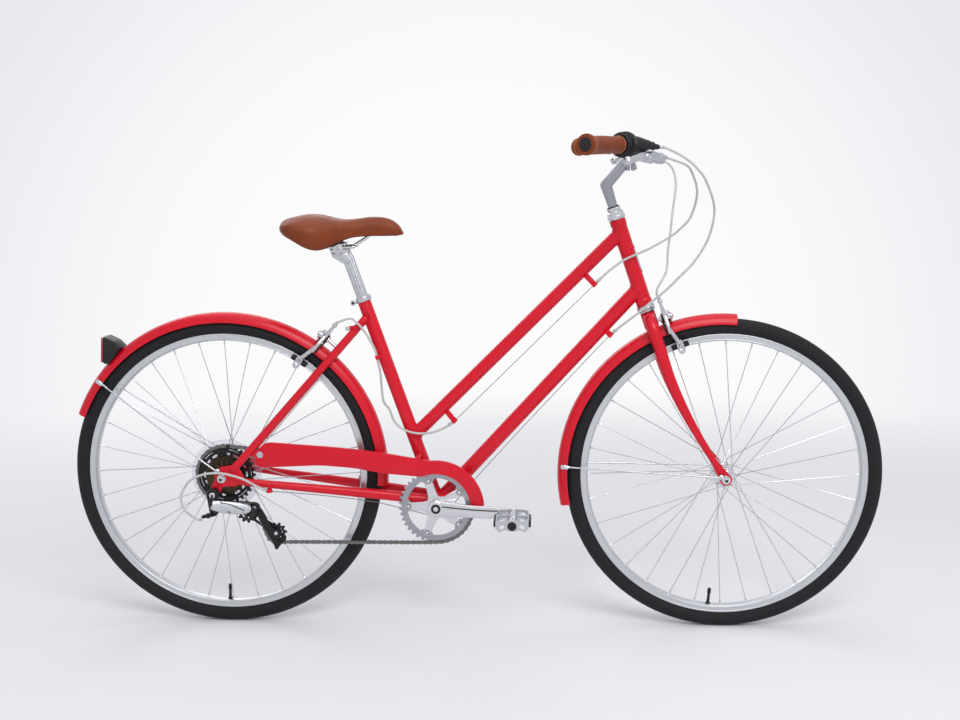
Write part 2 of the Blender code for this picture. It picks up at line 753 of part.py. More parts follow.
def make_main_tubes():
    """Seat tube with the bracket shell, and the two slanting tubes between it and the head tube."""
    axis = SHELL_HALF * RIGHT
    shell = rod("shell", BRACKET - axis, BRACKET + axis, SHELL_RADIUS, 20)
    seat = part(rod("seat_tube", BRACKET, SEAT_TOP, SEAT_TUBE_RADIUS, 16), "seat_tube", "red_paint")
    fuse(seat, shell)
    past = RIGHT * 0.05
    cut(seat, tube_cutter("shell_bore", BRACKET - past, BRACKET + past, SHELL_RADIUS - SHELL_WALL))
    post_bottom = SEAT_TOP - SEAT_UP * (POST_INSERTED + 0.080)
    post_bore = tube_cutter("post_bore", post_bottom, SEAT_TOP + SEAT_UP * 0.01, POST_RADIUS, 14)
    cut(seat, post_bore)

    head_cutter = tube_cutter("head_clearance", HEAD_BOTTOM, HEAD_TOP, HEAD_RADIUS, 20)
    seat_cutter = tube_cutter("seat_clearance", BRACKET, SEAT_TOP, SEAT_TUBE_RADIUS)
    shell_cutter = tube_cutter("shell_clearance", BRACKET - past, BRACKET + past, SHELL_RADIUS, 20)
    head_high = HEAD_TOP - STEERING * TOP_TUBE_HEAD_DROP
    seat_low = BRACKET + SEAT_UP * TOP_TUBE_SEAT_RISE
    top = part(rod("top_tube", seat_low, head_high, TOP_TUBE_RADIUS, 16), "top_tube", "red_paint")
    cut(cut(top, head_cutter), seat_cutter)
    head_low = HEAD_BOTTOM + STEERING * DOWN_TUBE_HEAD_RISE
    down = part(rod("down_tube", BRACKET, head_low, DOWN_TUBE_RADIUS, 16), "down_tube", "red_paint")
    cut(cut(cut(down, head_cutter), shell_cutter), seat_cutter)
    return seat_cutter, shell_cutter


def seatstay_points(side):
    """Top, widest and lower ends of a seatstay's centre line."""
    top = SEAT_TOP - SEAT_UP * STAY_TOP_DROP + SEAT_BACK * STAY_TOP_BACK
    top.y = side * SEATSTAY_TOP_Y
    low_y = side * (REAR_DROPOUT_HALF + DROPOUT_THICKNESS / 2)
    low = REAR_AXLE + Vector((SEATSTAY_LOW_FORWARD, low_y, SEATSTAY_LOW_RISE))
    wide = top.lerp(low, SEATSTAY_WIDE_SHARE)
    wide.y = side * SEATSTAY_WIDE_Y
    return top, wide, low


def chainstay_points(side):
    front = Vector((0.0, side * CHAINSTAY_FRONT_Y, CHAINSTAY_FRONT_RISE))
    middle = Vector((-CHAINSTAY_MIDDLE_BACK, side * CHAINSTAY_MIDDLE_Y, CHAINSTAY_MIDDLE_RISE))
    rear = Vector((CHAINSTAY_REAR_FORWARD, side * CHAINSTAY_REAR_Y, -CHAINSTAY_REAR_DROP))
    return BRACKET + front, BRACKET + middle, REAR_AXLE + rear


def make_dropout(name, side):
    """Dropout plate round the axle, with a fender eyelet and, on the right, the derailleur hanger."""
    axle = (REAR_AXLE.x, REAR_AXLE.z)
    hole = circle(axle, AXLE_RADIUS + GAP, 10)
    outline = [
        (axle[0] + 0.052, axle[1] - 0.004),
        (axle[0] + 0.046, axle[1] + 0.012),
        (axle[0] + 0.032, axle[1] + 0.034),
        (axle[0] + 0.016, axle[1] + 0.026),
        (axle[0] - 0.004, axle[1] + 0.026),
        (axle[0] - 0.014, axle[1] + 0.016),
        (axle[0] - 0.016, axle[1] - 0.006),
    ]
    if side < 0:
        outline += [
            (HANGER.x - KNUCKLE_RADIUS, HANGER.z + 0.006),
            (HANGER.x - 0.006, HANGER.z - 0.010),
            (HANGER.x + 0.008, HANGER.z - 0.009),
        ]
    outline += [(axle[0] + 0.002, axle[1] - 0.017), (axle[0] + 0.030, axle[1] - 0.018)]
    y = side * (REAR_DROPOUT_HALF + DROPOUT_THICKNESS / 2)
    return side_plate(name, [outline, hole], DROPOUT_THICKNESS, y)


def make_stays(seat_cutter, shell_cutter):
    for side, label in ((-1, "right"), (1, "left")):
        top, wide, low = seatstay_points(side)
        path = smooth_path([top, top.lerp(wide, 0.5), wide, wide.lerp(low, 0.5), low], 0.06)
        name = f"seatstay_{label}"
        stay = part(as_mesh(tube(name, path, SEATSTAY_RADIUS)), name, "red_paint")
        cut(stay, seat_cutter)
        name = f"chainstay_{label}"
        front, middle, rear = chainstay_points(side)
        path = [front, front.lerp(middle, 0.5), middle, middle.lerp(rear, 0.5), rear]
        spread = [CHAINSTAY_FRONT_RADIUS] * 3
        spread += [(CHAINSTAY_FRONT_RADIUS + CHAINSTAY_REAR_RADIUS) / 2, CHAINSTAY_REAR_RADIUS]
        stay_low = part(as_mesh(tube(name, path, spread)), name, "red_paint")
        fuse(stay_low, make_dropout(f"dropout_{label}", side))
        cut(stay_low, shell_cutter)
        past_low = low + (low - wide) * 0.1
        clearance = as_mesh(tube(f"{name}_clearance", [wide, past_low], SEATSTAY_RADIUS + GAP))
        cut(stay_low, as_cutter(clearance, f"{name}_clearance"))


def bridge_point(side):
    """Where the brake bridge meets a seatstay's centre line."""
    top, wide, _ = seatstay_points(side)
    radius = FENDER_RADIUS + BRIDGE_CLEARANCE + BRIDGE_RADIUS
    return meet_circle(top, wide - top, REAR_AXLE, radius)


def stay_line():
    top, wide, low = seatstay_points(1)
    line = low - top
    return Vector((line.x, 0.0, line.z)).normalized()


def make_bridge():
    """Bridge between the seatstays, with the bolt that the rear brake turns on."""
    left, right = bridge_point(1), bridge_point(-1)
    bridge = part(rod("brake_bridge", right, left, BRIDGE_RADIUS, 12), "brake_bridge", "red_paint")
    middle = (left + right) / 2
    end = REAR_BRAKE_BACK + 2 * BRAKE_ARM_THICKNESS + 3 * GAP
    axis = rear_brake_axis()
    start = middle - axis * (BRIDGE_RADIUS + 0.005)
    fuse(bridge, rod("rear_brake_bolt", start, middle + axis * end, BRAKE_BOLT_RADIUS, 10))
    for side in (-1, 1):
        top, wide, _ = seatstay_points(side)
        clearance = as_mesh(tube("stay_clearance", [top, wide], SEATSTAY_RADIUS + GAP))
        cut(bridge, as_cutter(clearance, "stay_clearance"))
    return middle


def rear_brake_axis():
    """Unit vector square to the seatstays, pointing up and to the rear."""
    line = stay_line()
    return Vector((line.z, 0.0, -line.x))


def make_seat_collar():
    bottom = SEAT_TOP - SEAT_UP * (COLLAR_HEIGHT - GAP)
    profile = [
        (SEAT_TUBE_RADIUS + GAP, COLLAR_HEIGHT),
        (COLLAR_RADIUS, COLLAR_HEIGHT),
        (COLLAR_RADIUS, 0.0),
        (SEAT_TUBE_RADIUS + GAP, 0.0),
    ]
    collar = turned("seat_collar", profile, 16, frame_matrix(bottom, SEAT_UP), closed=True)
    part(collar, "seat_collar", "silver_metal")
    centre = bottom + SEAT_UP * COLLAR_HEIGHT / 2 + SEAT_BACK * (COLLAR_RADIUS + 0.004)
    size = (0.012, COLLAR_EAR_WIDTH, COLLAR_HEIGHT * 0.8)
    return fuse(collar, block("collar_ear", size, frame_matrix(centre, SEAT_UP, SEAT_BACK)))


def make_bracket_unit():
    """Cartridge bearing unit in the bracket shell, with a flange at each end."""
    outer = SHELL_RADIUS - SHELL_WALL - 2 * GAP
    flange = SHELL_RADIUS - SHELL_WALL * 0.6
    bore = SPINDLE_RADIUS + SPINDLE_CLEARANCE
    end = SHELL_HALF + BEARING_FLANGE
    seat = SHELL_HALF + GAP
    profile = [(bore, end), (flange, end), (flange, seat), (outer, seat)]
    profile += [(outer, -seat), (flange, -seat), (flange, -end), (bore, -end)]
    unit = turned("bottom_bracket_unit", profile, 16, across_bike(BRACKET), closed=True)
    return part(unit, "bottom_bracket_unit", "silver_metal")


# Fork


def make_fork():
    """Steerer and crown as one piece, and a blade on each side that curves out over the fender."""
    top = HEAD_LENGTH + UPPER_STACK_HEIGHT - 0.002
    race = LOWER_CUP_HEIGHT + GAP
    low = -CROWN_DROP - CROWN_LENGTH
    profile = [
        (QUILL_RADIUS + GAP, top),
        (STEERER_RADIUS, top),
        (STEERER_RADIUS, -race),
        (HEADSET_RADIUS * 0.95, -race),
        (HEADSET_RADIUS * 0.95, -CROWN_DROP),
        (CROWN_RADIUS, -CROWN_DROP),
        (CROWN_RADIUS, low),
        (0.0, low),
        (0.0, 0.0),
        (QUILL_RADIUS + GAP, 0.0),
    ]
    matrix = frame_matrix(HEAD_BOTTOM, STEERING)
    crown = turned("fork_crown", profile, 20, matrix, closed=True, breaks=(7,))
    part(crown, "fork_crown", "red_paint")
    bolt_start = steering_point(FRONT_BRAKE_DROP, CROWN_RADIUS - 0.004)
    bolt_length = FRONT_BRAKE_FORWARD + 2 * BRAKE_ARM_THICKNESS + 3 * GAP
    bolt_end = steering_point(FRONT_BRAKE_DROP, bolt_length)
    fuse(crown, rod("front_brake_bolt", bolt_start, bolt_end, BRAKE_BOLT_RADIUS, 10))
    crown_top, crown_low = steering_point(0.0), steering_point(0.001 - low)
    clearance = tube_cutter("crown_clearance", crown_top, crown_low, CROWN_RADIUS, 20)
    race_low = steering_point(CROWN_DROP + GAP)
    race_clearance = tube_cutter("race_clearance", crown_top, race_low, HEADSET_RADIUS, 20)
    axle_drop = (HEAD_BOTTOM - FRONT_AXLE).dot(STEERING)
    rake = (FRONT_AXLE - HEAD_BOTTOM).dot(STEER_FORWARD)
    end_drop = axle_drop - BLADE_END_RISE
    for side, label in ((-1, "right"), (1, "left")):
        path = []
        radii = []
        for drop_share, spread, radius in BLADE_STATIONS:
            drop = drop_share * end_drop
            share = max(0.0, drop / axle_drop - BLADE_BEND_START) / (1 - BLADE_BEND_START)
            forward = rake * share**BLADE_BEND_POWER
            path.append(steering_point(drop, forward, side * BLADE_SPREAD * spread))
            radii.append(radius)
        name = f"fork_blade_{label}"
        blade = part(as_mesh(tube(name, path, radii)), name, "red_paint")
        centre = (FRONT_AXLE.x, FRONT_AXLE.z)
        outline = capsule((path[-2].x, path[-2].z), centre, 0.006, FORK_EYE_RADIUS, 6)
        hole = circle(centre, AXLE_RADIUS + GAP, 10)
        y = side * (FRONT_FORK_HALF + DROPOUT_THICKNESS / 2)
        fuse(blade, side_plate(f"fork_dropout_{label}", [outline, hole], DROPOUT_THICKNESS, y))
        cut(cut(blade, clearance), race_clearance)


# Stem and handlebar


def bar_side(side):
    """Outer end of a grip, and its heading towards the bike's middle."""
    end = BAR_CLAMP + Vector((-GRIP_END_BACK, side * GRIP_END_Y, GRIP_END_RISE))
    sweep = math.radians(GRIP_SWEEP)
    inward = Vector((math.sin(sweep), -side * math.cos(sweep), 0.0))
    return end, inward


def straight_end():
    return GRIP_LENGTH + SHIFTER_TWIST_LENGTH + SHIFTER_BODY_LENGTH + LEVER_CLAMP_LENGTH + 6 * GAP


def bar_path():
    """Centre line of the handlebar from the right end to the left end."""
    halves = []
    for side in (-1, 1):
        end, inward = bar_side(side)
        inner = end + inward * straight_end()
        bend = inner + inward * BAR_BEND_LENGTH
        knee = BAR_CLAMP + Vector((BAR_KNEE_FORWARD, side * BAR_KNEE_Y, GRIP_END_RISE / 2))
        neck = BAR_CLAMP + Vector((BAR_NECK_FORWARD, side * BAR_NECK_Y, BAR_NECK_RISE))
        halves.append((end, end.lerp(inner, 0.5), inner, bend, knee, neck))
    right, left = halves
    return smooth_path([*right, BAR_CLAMP, *reversed(left)], 0.022)


def make_stem():
    quill_bottom = HEAD_TOP - STEERING * QUILL_INSERTED
    quill = rod("stem", quill_bottom, STEM_BEND, QUILL_RADIUS, 14)
    part(quill, "stem", "silver_metal")
    knee = bmesh.new()
    bmesh.ops.create_uvsphere(knee, u_segments=12, v_segments=8, radius=STEM_RADIUS)
    mesh = bpy.data.meshes.new("stem_knee")
    knee.to_mesh(mesh)
    knee.free()
    ball = bpy.data.objects.new("stem_knee", mesh)
    BIKE.objects.link(ball)
    ball.location = STEM_BEND
    arm = rod("stem_arm", STEM_BEND, BAR_CLAMP, STEM_RADIUS, 14)
    half = Vector((0.0, STEM_BARREL_HALF, 0.0))
    barrel = rod("stem_barrel", BAR_CLAMP - half, BAR_CLAMP + half, BAR_RADIUS + STEM_BARREL_WALL, 16)
    ear = block("stem_ear", (0.018, 0.016, 0.024), Matrix.Translation(BAR_CLAMP - UP * 0.026))
    fuse(quill, ball, arm, barrel, ear)
    hole = as_mesh(tube("bar_clearance", bar_path(), BAR_RADIUS + GAP))
    cut(quill, as_cutter(hole, "bar_clearance"))


def make_handlebar():
    return part(as_mesh(tube("handlebar", bar_path(), BAR_RADIUS)), "handlebar", "silver_metal")


def sleeve(name, start, heading, length, radius, material, steps=16, end_radius=None):
    """A sleeve on the straight end of the bar."""
    bore = BAR_RADIUS + GAP
    last = radius if end_radius is None else end_radius
    profile = [(bore, length), (last, length), (radius, 0.0), (bore, 0.0)]
    matrix = frame_matrix(start, heading)
    return part(turned(name, profile, steps, matrix, closed=True), name, material)


def make_grips():
    for side, label in ((-1, "right"), (1, "left")):
        end, inward = bar_side(side)
        bore = BAR_RADIUS + GAP
        flare = GRIP_RADIUS + GRIP_FLARE
        profile = [
            (bore, GRIP_LENGTH),
            (GRIP_RADIUS, GRIP_LENGTH),
            (GRIP_RADIUS, 0.012),
            (flare, 0.004),
            (flare - 0.002, -GRIP_END_THICKNESS),
            (0.0, -GRIP_END_THICKNESS),
            (0.0, -GAP),
            (bore, -GAP),
        ]
        name = f"grip_{label}"
        grip = turned(name, profile, 16, frame_matrix(end, inward), closed=True, breaks=(5,))
        part(grip, name, "brown_leather")


def control_station(side, before):
    """Start of a control on the straight end, this far in from the grip."""
    end, inward = bar_side(side)
    return end + inward * (GRIP_LENGTH + GAP + before), inward


def make_shifter():
    """Twist sleeve beside the right grip, and the housing with the nose that its cable leaves by."""
    name = "shifter_twist"
    start, inward = control_station(-1, 0.0)
    radius = SHIFTER_RADIUS * 0.88
    sleeve(name, start, inward, SHIFTER_TWIST_LENGTH, radius, "black_rubber", 18, SHIFTER_RADIUS)
    name = "shifter_housing"
    start, inward = control_station(-1, SHIFTER_TWIST_LENGTH + GAP)
    radius = SHIFTER_RADIUS
    housing = sleeve(name, start, inward, SHIFTER_BODY_LENGTH, radius, "black_plastic", 18, radius * 0.8)
    fuse(housing, rod("shifter_nose", *shifter_nose(), 0.0090, 10, 0.0042))


def shifter_nose():
    """Base of the shifter's nose and its tip, where the shift cable leaves."""
    start, inward = control_station(-1, SHIFTER_TWIST_LENGTH + GAP + SHIFTER_BODY_LENGTH * 0.5)
    forward = Vector((inward.y, -inward.x, 0.0))
    base = start + forward * SHIFTER_NOSE_FORWARD
    along_bar, ahead, down = SHIFTER_NOSE
    return base, base + inward * along_bar + forward * ahead - UP * down


def lever_frame(side):
    """Clamp centre and pivot of a brake lever, with its inward and forward directions."""
    start, inward = control_station(side, SHIFTER_TWIST_LENGTH + SHIFTER_BODY_LENGTH + 2 * GAP)
    forward = Vector((inward.y, -inward.x, 0.0)) * -side
    centre = start + inward * LEVER_CLAMP_LENGTH / 2
    pivot = centre + forward * LEVER_PIVOT_FORWARD + inward * 0.004
    pivot.z -= LEVER_DROP
    return centre, pivot, inward, forward


def brake_barrel(side):
    """Both ends of the barrel that a brake cable leaves a lever's bracket by."""
    _, pivot, inward, forward = lever_frame(side)
    start = pivot + inward * BRAKE_BARREL_INWARD + forward * BRAKE_BARREL_FORWARD
    along_bar, ahead, down = BRAKE_BARREL
    return start, start + inward * along_bar + forward * ahead - UP * down


def make_brake_levers():
    """A clamped bracket for each lever, and the lever between the bracket's two plates."""
    for side, label in ((-1, "right"), (1, "left")):
        centre, pivot, inward, forward = lever_frame(side)
        start = centre - inward * LEVER_CLAMP_LENGTH / 2
        name = f"brake_bracket_{label}"
        bracket = sleeve(name, start, inward, LEVER_CLAMP_LENGTH, BAR_RADIUS + 0.005, "silver_metal", 14)
        low = centre - UP * LEVER_DROP
        pieces = [
            ("neck", (0.024, 0.012, 0.010), low + forward * 0.008),
            ("top", (0.030, 0.018, BRACKET_PLATE_THICKNESS), pivot + UP * 0.0070),
            ("low", (0.030, 0.018, BRACKET_PLATE_THICKNESS), pivot - UP * 0.0070),
            ("web", (0.006, 0.017, 0.0160), pivot - forward * 0.0125),
            ("wall", (0.027, 0.006, 0.0160), pivot + inward * 0.0110),
        ]
        for label_of_piece, size, place in pieces:
            fuse(bracket, block(f"{name}_{label_of_piece}", size, frame_matrix(place, UP, forward)))
        pin = rod(f"{name}_pin", pivot - UP * 0.006, pivot + UP * 0.006, LEVER_PIN_RADIUS, 8)
        barrel = rod(f"{name}_barrel", *brake_barrel(side), 0.0048, 10)
        fuse(bracket, pin, barrel)
        tip = pivot - inward * LEVER_LENGTH + forward * (LEVER_REACH - LEVER_PIVOT_FORWARD)
        tip -= UP * LEVER_TIP_DROP
        knee = pivot - inward * 0.034 + forward * 0.014 - UP * LEVER_TIP_DROP * 0.2
        half_way = knee.lerp(tip, 0.5) + forward * 0.003
        path = smooth_path([pivot, knee, half_way, tip], 0.024)
        name = f"brake_lever_{label}"
        radii = [0.0042, 0.0042] + [0.0050] * (len(path) - 3) + [0.0065]
        lever = part(as_mesh(tube(name, path, radii)), name, "silver_metal")
        boss_half = UP * LEVER_BOSS_HALF
        fuse(lever, rod(f"{name}_boss", pivot - boss_half, pivot + boss_half, 0.0075, 10))
        hole = rod(f"{name}_hole", pivot - UP * 0.02, pivot + UP * 0.02, LEVER_PIN_RADIUS + GAP, 8)
        cut(lever, as_cutter(hole, f"{name}_hole"))


# Brakes


def make_caliper(prefix, pivot, axis, down, axle):
    """Two arms on one bolt, each with its pad beside the rim; returns where its cable ends."""
    outside = FENDER_HALF_WIDTH + ARM_OUTSIDE_FENDER
    inner = RIM_WIDTH / 2 + PAD_CLEARANCE
    for side, label, layer in ((-1, "right", 0), (1, "left", 1)):
        middle = pivot + axis * (layer * (BRAKE_ARM_THICKNESS + GAP) + GAP + BRAKE_ARM_THICKNESS / 2)
        local = frame_matrix(middle, axis, RIGHT)
        pad_point = meet_circle(middle, down, axle, PAD_RADIUS)
        reach = (pad_point - middle).dot(down)
        shape = [(-0.009, 0.004), (-0.007, -0.008)]
        if side < 0:
            lug = -CABLE_LUG_HEIGHT
            shape += [(0.008, -0.012), (0.026, lug + 0.0005), (0.034, lug + 0.0015), (0.028, -0.010)]
        else:
            shape += [(0.012, -0.011), (outside - 0.004, -0.004)]
        shape += [
            (outside + 0.003, 0.014),
            (outside + 0.002, reach * 0.6),
            (outside - 0.004, reach + 0.006),
            (outside - 0.013, reach + 0.006),
            (outside - 0.008, reach * 0.6),
            (outside - 0.006, 0.020),
            (0.012, 0.009),
            (-0.002, 0.010),
        ]
        flat = local.to_3x3().inverted()
        outline = [(flat @ (Vector((0.0, side * out, 0.0)) + down * low)).to_2d() for out, low in shape]
        name = f"{prefix}_brake_arm_{label}"
        hole = circle((0.0, 0.0), BRAKE_BOLT_RADIUS + GAP, 10)
        arm = part(plate(name, [outline, hole], BRAKE_ARM_THICKNESS, local), name, "silver_metal")
        radial = (pad_point - axle).normalized()
        outer = outside - 0.006
        place = pad_point + Vector((0.0, side * (inner + outer) / 2, 0.0))
        size = (PAD_LENGTH, outer - inner, PAD_HEIGHT)
        fuse(arm, block(f"{name}_pad", size, frame_matrix(place, radial, radial.cross(RIGHT))))
    layer_middle = pivot + axis * (GAP + BRAKE_ARM_THICKNESS / 2)
    return layer_middle + RIGHT * CABLE_LUG_OUT - down * (CABLE_LUG_HEIGHT + GAP)


def make_calipers(bridge_middle):
    """Both calipers; returns the points at which the front and rear brake cables end."""
    pivot = steering_point(FRONT_BRAKE_DROP, FRONT_BRAKE_FORWARD)
    front = make_caliper("front", pivot, STEER_FORWARD, -STEERING, FRONT_AXLE)
    pivot = bridge_middle + rear_brake_axis() * REAR_BRAKE_BACK
    rear = make_caliper("rear", pivot, rear_brake_axis(), stay_line(), REAR_AXLE)
    return front, rear


# Fenders


def fender_arc(radius):
    """Section of a fender from one skirt over its crown to the other."""
    points = []
    steps = 4
    for i in range(steps + 1):
        share = 1 - 2 * i / steps
        drop = FENDER_DEPTH * (1 - math.sqrt(max(0.0, 1 - abs(share) ** 2.2)))
        points.append((radius - drop, share * FENDER_HALF_WIDTH))
    return points


def make_fender(name, centre, radius, start, end):
    matrix = across_bike(centre)
    shell = turned(name, fender_arc(radius), 22, matrix, span=end - start, start=start)
    shell.modifiers["turn"].use_merge_vertices = False
    solid = shell.modifiers.new("wall", "SOLIDIFY")
    solid.thickness = FENDER_THICKNESS
    solid.offset = -1.0
    solid.use_even_offset = True
    return part(shell, name, "red_paint")


def make_fenders():
    rear = make_fender("rear_fender", REAR_AXLE, FENDER_RADIUS, REAR_FENDER_START, REAR_FENDER_END)
    centre = FRONT_AXLE - Vector((FRONT_FENDER_SET_BACK, 0.0, 0.0))
    front = make_fender("front_fender", centre, FRONT_FENDER_RADIUS, FRONT_FENDER_START, FRONT_FENDER_END)
    eye = REAR_AXLE + Vector((-0.008, 0.0, 0.0165))
    hold = REAR_AXLE + direction(143.4) * (FENDER_RADIUS - FENDER_DEPTH + 0.006)
    add_stay(rear, eye, hold, REAR_DROPOUT_HALF + DROPOUT_THICKNESS)
    eye = FRONT_AXLE + Vector((-0.0108, 0.0, 0.0062))
    hold = centre + direction(176.7) * (FRONT_FENDER_RADIUS - FENDER_DEPTH + 0.006)
    add_stay(front, eye, hold, FRONT_FORK_HALF + DROPOUT_THICKNESS)


def add_stay(fender, eye, hold, half):
    """Fuses the wire stays of both sides to a fender; each ends beside its dropout."""
    for side in (-1, 1):
        outside = Vector((0.0, side * (half + GAP + STAY_WIRE_RADIUS), 0.0))
        near = Vector((0.0, side * (FENDER_HALF_WIDTH + STAY_WIRE_RADIUS * 0.4), 0.0))
        path = [eye + outside, eye.lerp(hold, 0.10) + outside, hold + near, hold + near + (hold - eye) * 0.02]
        wire = as_mesh(tube(f"{fender.name}_stay", path, STAY_WIRE_RADIUS, 1))
        fuse(fender, wire)


def make_reflector():
    """Wedge on the rear fender whose flat rear face holds the lens."""
    out = direction(REFLECTOR_ANGLE)
    forward = direction(REFLECTOR_ANGLE - 90.0)
    foot = REAR_AXLE + out * FENDER_RADIUS
    shape = [(0.0297, -0.0011), (0.0290, 0.0201), (0.0131, 0.0500), (-0.0321, 0.0074), (-0.0227, -0.0206)]
    corners = [foot + forward * along + out * rise for along, rise in shape]
    reflector = side_plate("rear_reflector", [[(c.x, c.z) for c in corners]], REFLECTOR_WIDTH, 0.0)
    part(reflector, "rear_reflector", "red_lens")
    inside, outside, half = FENDER_RADIUS - 0.06, FENDER_RADIUS + 2 * GAP, 0.1
    profile = [(inside, half), (outside, half), (outside, -half), (inside, -half)]
    clearance = turned("reflector_clearance", profile, 96, across_bike(REAR_AXLE), closed=True)
    cut(reflector, as_cutter(clearance, "reflector_clearance"))


# Drive


def tooth_outline(teeth, phase, height):
    """Outline of a sprocket whose tooth gaps hold the chain's pins, the first at this angle.

    The teeth rise this height above the circle of the pins.
    """
    pitch = pitch_radius(teeth)
    root = pitch - CHAIN_HEIGHT / 2 - 0.0005
    tip = pitch + height
    points = []
    for i in range(teeth):
        middle = phase + 2 * math.pi * (i + 0.5) / teeth
        for radius, offset in ((root, -0.0026), (tip, -0.0010), (tip, 0.0010), (root, 0.0026)):
            angle = middle + offset / radius
            points.append((radius * math.cos(angle), radius * math.sin(angle)))
    return points


class ChainRoute:
    """The chain's closed path over its four wheels, in whole links.

    The wheels follow one another along the lower run and the upper run: each has its centre, tooth
    count, the y that the chain has there, and +1 where the chain goes round it counter-clockwise.
    """

    def __init__(self, wheels):
        self.wheels = wheels
        self.lines = []
        for first, second in zip(wheels, wheels[1:] + wheels[:1]):
            self.lines.append(self.tangent(first, second))
        self.place_pins()

    @staticmethod
    def tangent(first, second):
        (c1, n1, _, t1), (c2, n2, _, t2) = first, second
        r1, r2 = t1 * pitch_radius(n1), t2 * pitch_radius(n2)
        apart = c2 - c1
        heading = math.atan2(apart.z, apart.x)
        lean = math.asin((r2 - r1) / Vector((apart.x, apart.z)).length)
        angle = heading - lean
        normal = Vector((math.sin(angle), 0.0, -math.cos(angle)))
        return c1 + normal * r1, c2 + normal * r2

    def place_pins(self):
        """Angles of each wheel's arc, then a pin at each whole link along the path."""
        self.arcs = []
        count = len(self.wheels)
        for i, (centre, teeth, _, turn) in enumerate(self.wheels):
            arrive = self.lines[i - 1][1] - centre
            leave = self.lines[i][0] - centre
            first = math.atan2(arrive.z, arrive.x)
            last = math.atan2(leave.z, leave.x)
            swept = (last - first) * turn % (2 * math.pi)
            self.arcs.append((first, swept, teeth))
        arc_links = [swept * teeth / (2 * math.pi) for _, swept, teeth in self.arcs]
        lengths = [(b - a).length for a, b in self.lines]
        whole = round(sum(arc_links) + sum(lengths) / CHAIN_PITCH)
        pace = (whole - sum(arc_links)) / sum(lengths)
        self.marks = []
        total = 0.0
        for i in range(count):
            self.marks.append(("arc", i, total, total + arc_links[i]))
            total += arc_links[i]
            self.marks.append(("line", i, total, total + lengths[i] * pace))
            total += lengths[i] * pace
        self.links = whole

    def at(self, link):
        """Position and heading at this many links along the path."""
        link = link % self.links
        for kind, i, start, end in self.marks:
            if link < end or (kind, i) == (self.marks[-1][0], self.marks[-1][1]):
                share = (link - start) / (end - start)
                centre, teeth, y, turn = self.wheels[i]
                if kind == "arc":
                    first, swept, _ = self.arcs[i]
                    angle = first + turn * swept * share
                    radial = Vector((math.cos(angle), 0.0, math.sin(angle)))
                    place = centre + radial * pitch_radius(teeth)
                    place.y = y
                    return place, Vector((-radial.z, 0.0, radial.x)) * turn
                a, b = self.lines[i]
                next_y = self.wheels[(i + 1) % len(self.wheels)][2]
                place = a.lerp(b, share)
                ends = CHAIN_STRAIGHT_OUT / (b - a).length
                crossed = (share - ends) / (1 - 2 * ends)
                place.y = y + (next_y - y) * min(1.0, max(0.0, crossed)) if next_y != y else y
                return place, (b - a).normalized()
        raise ValueError("past the chain's end")

    def phase(self, wheel):
        """Angle of a pin that lies on this wheel."""
        kind, _, start, end = self.marks[2 * wheel]
        link = math.ceil(start + 0.25 * (end - start))
        first, swept, _ = self.arcs[wheel]
        return first + self.wheels[wheel][3] * swept * (link - start) / (end - start)

    def meshed(self, link):
        """Whether the half link after this point lies on a wheel, or next to one."""
        for kind, i, start, end in self.marks:
            depth = CHAIN_HEIGHT / 2 + TOOTH_HEIGHT + 2 * GAP
            reach = math.sqrt(2 * pitch_radius(self.wheels[i][1]) * depth) / CHAIN_PITCH + 0.5
            for turn in (0, self.links, -self.links):
                if kind == "arc" and start - reach < link + turn < end + reach:
                    return True
        return False


def chain_route():
    apart = pitch_radius(COG_TEETH[0]) + pitch_radius(PULLEY_TEETH) + GUIDE_PULLEY_GAP
    guide = REAR_AXLE + direction(GUIDE_PULLEY_ANGLE) * apart
    tension = guide + direction(CAGE_ANGLE) * PULLEY_SPACING
    return ChainRoute(
        [
            (REAR_AXLE, COG_TEETH[0], FIRST_COG_Y, 1),
            (guide, PULLEY_TEETH, FIRST_COG_Y, -1),
            (tension, PULLEY_TEETH, FIRST_COG_Y, 1),
            (BRACKET, RING_TEETH, RING_Y, 1),
        ]
    )


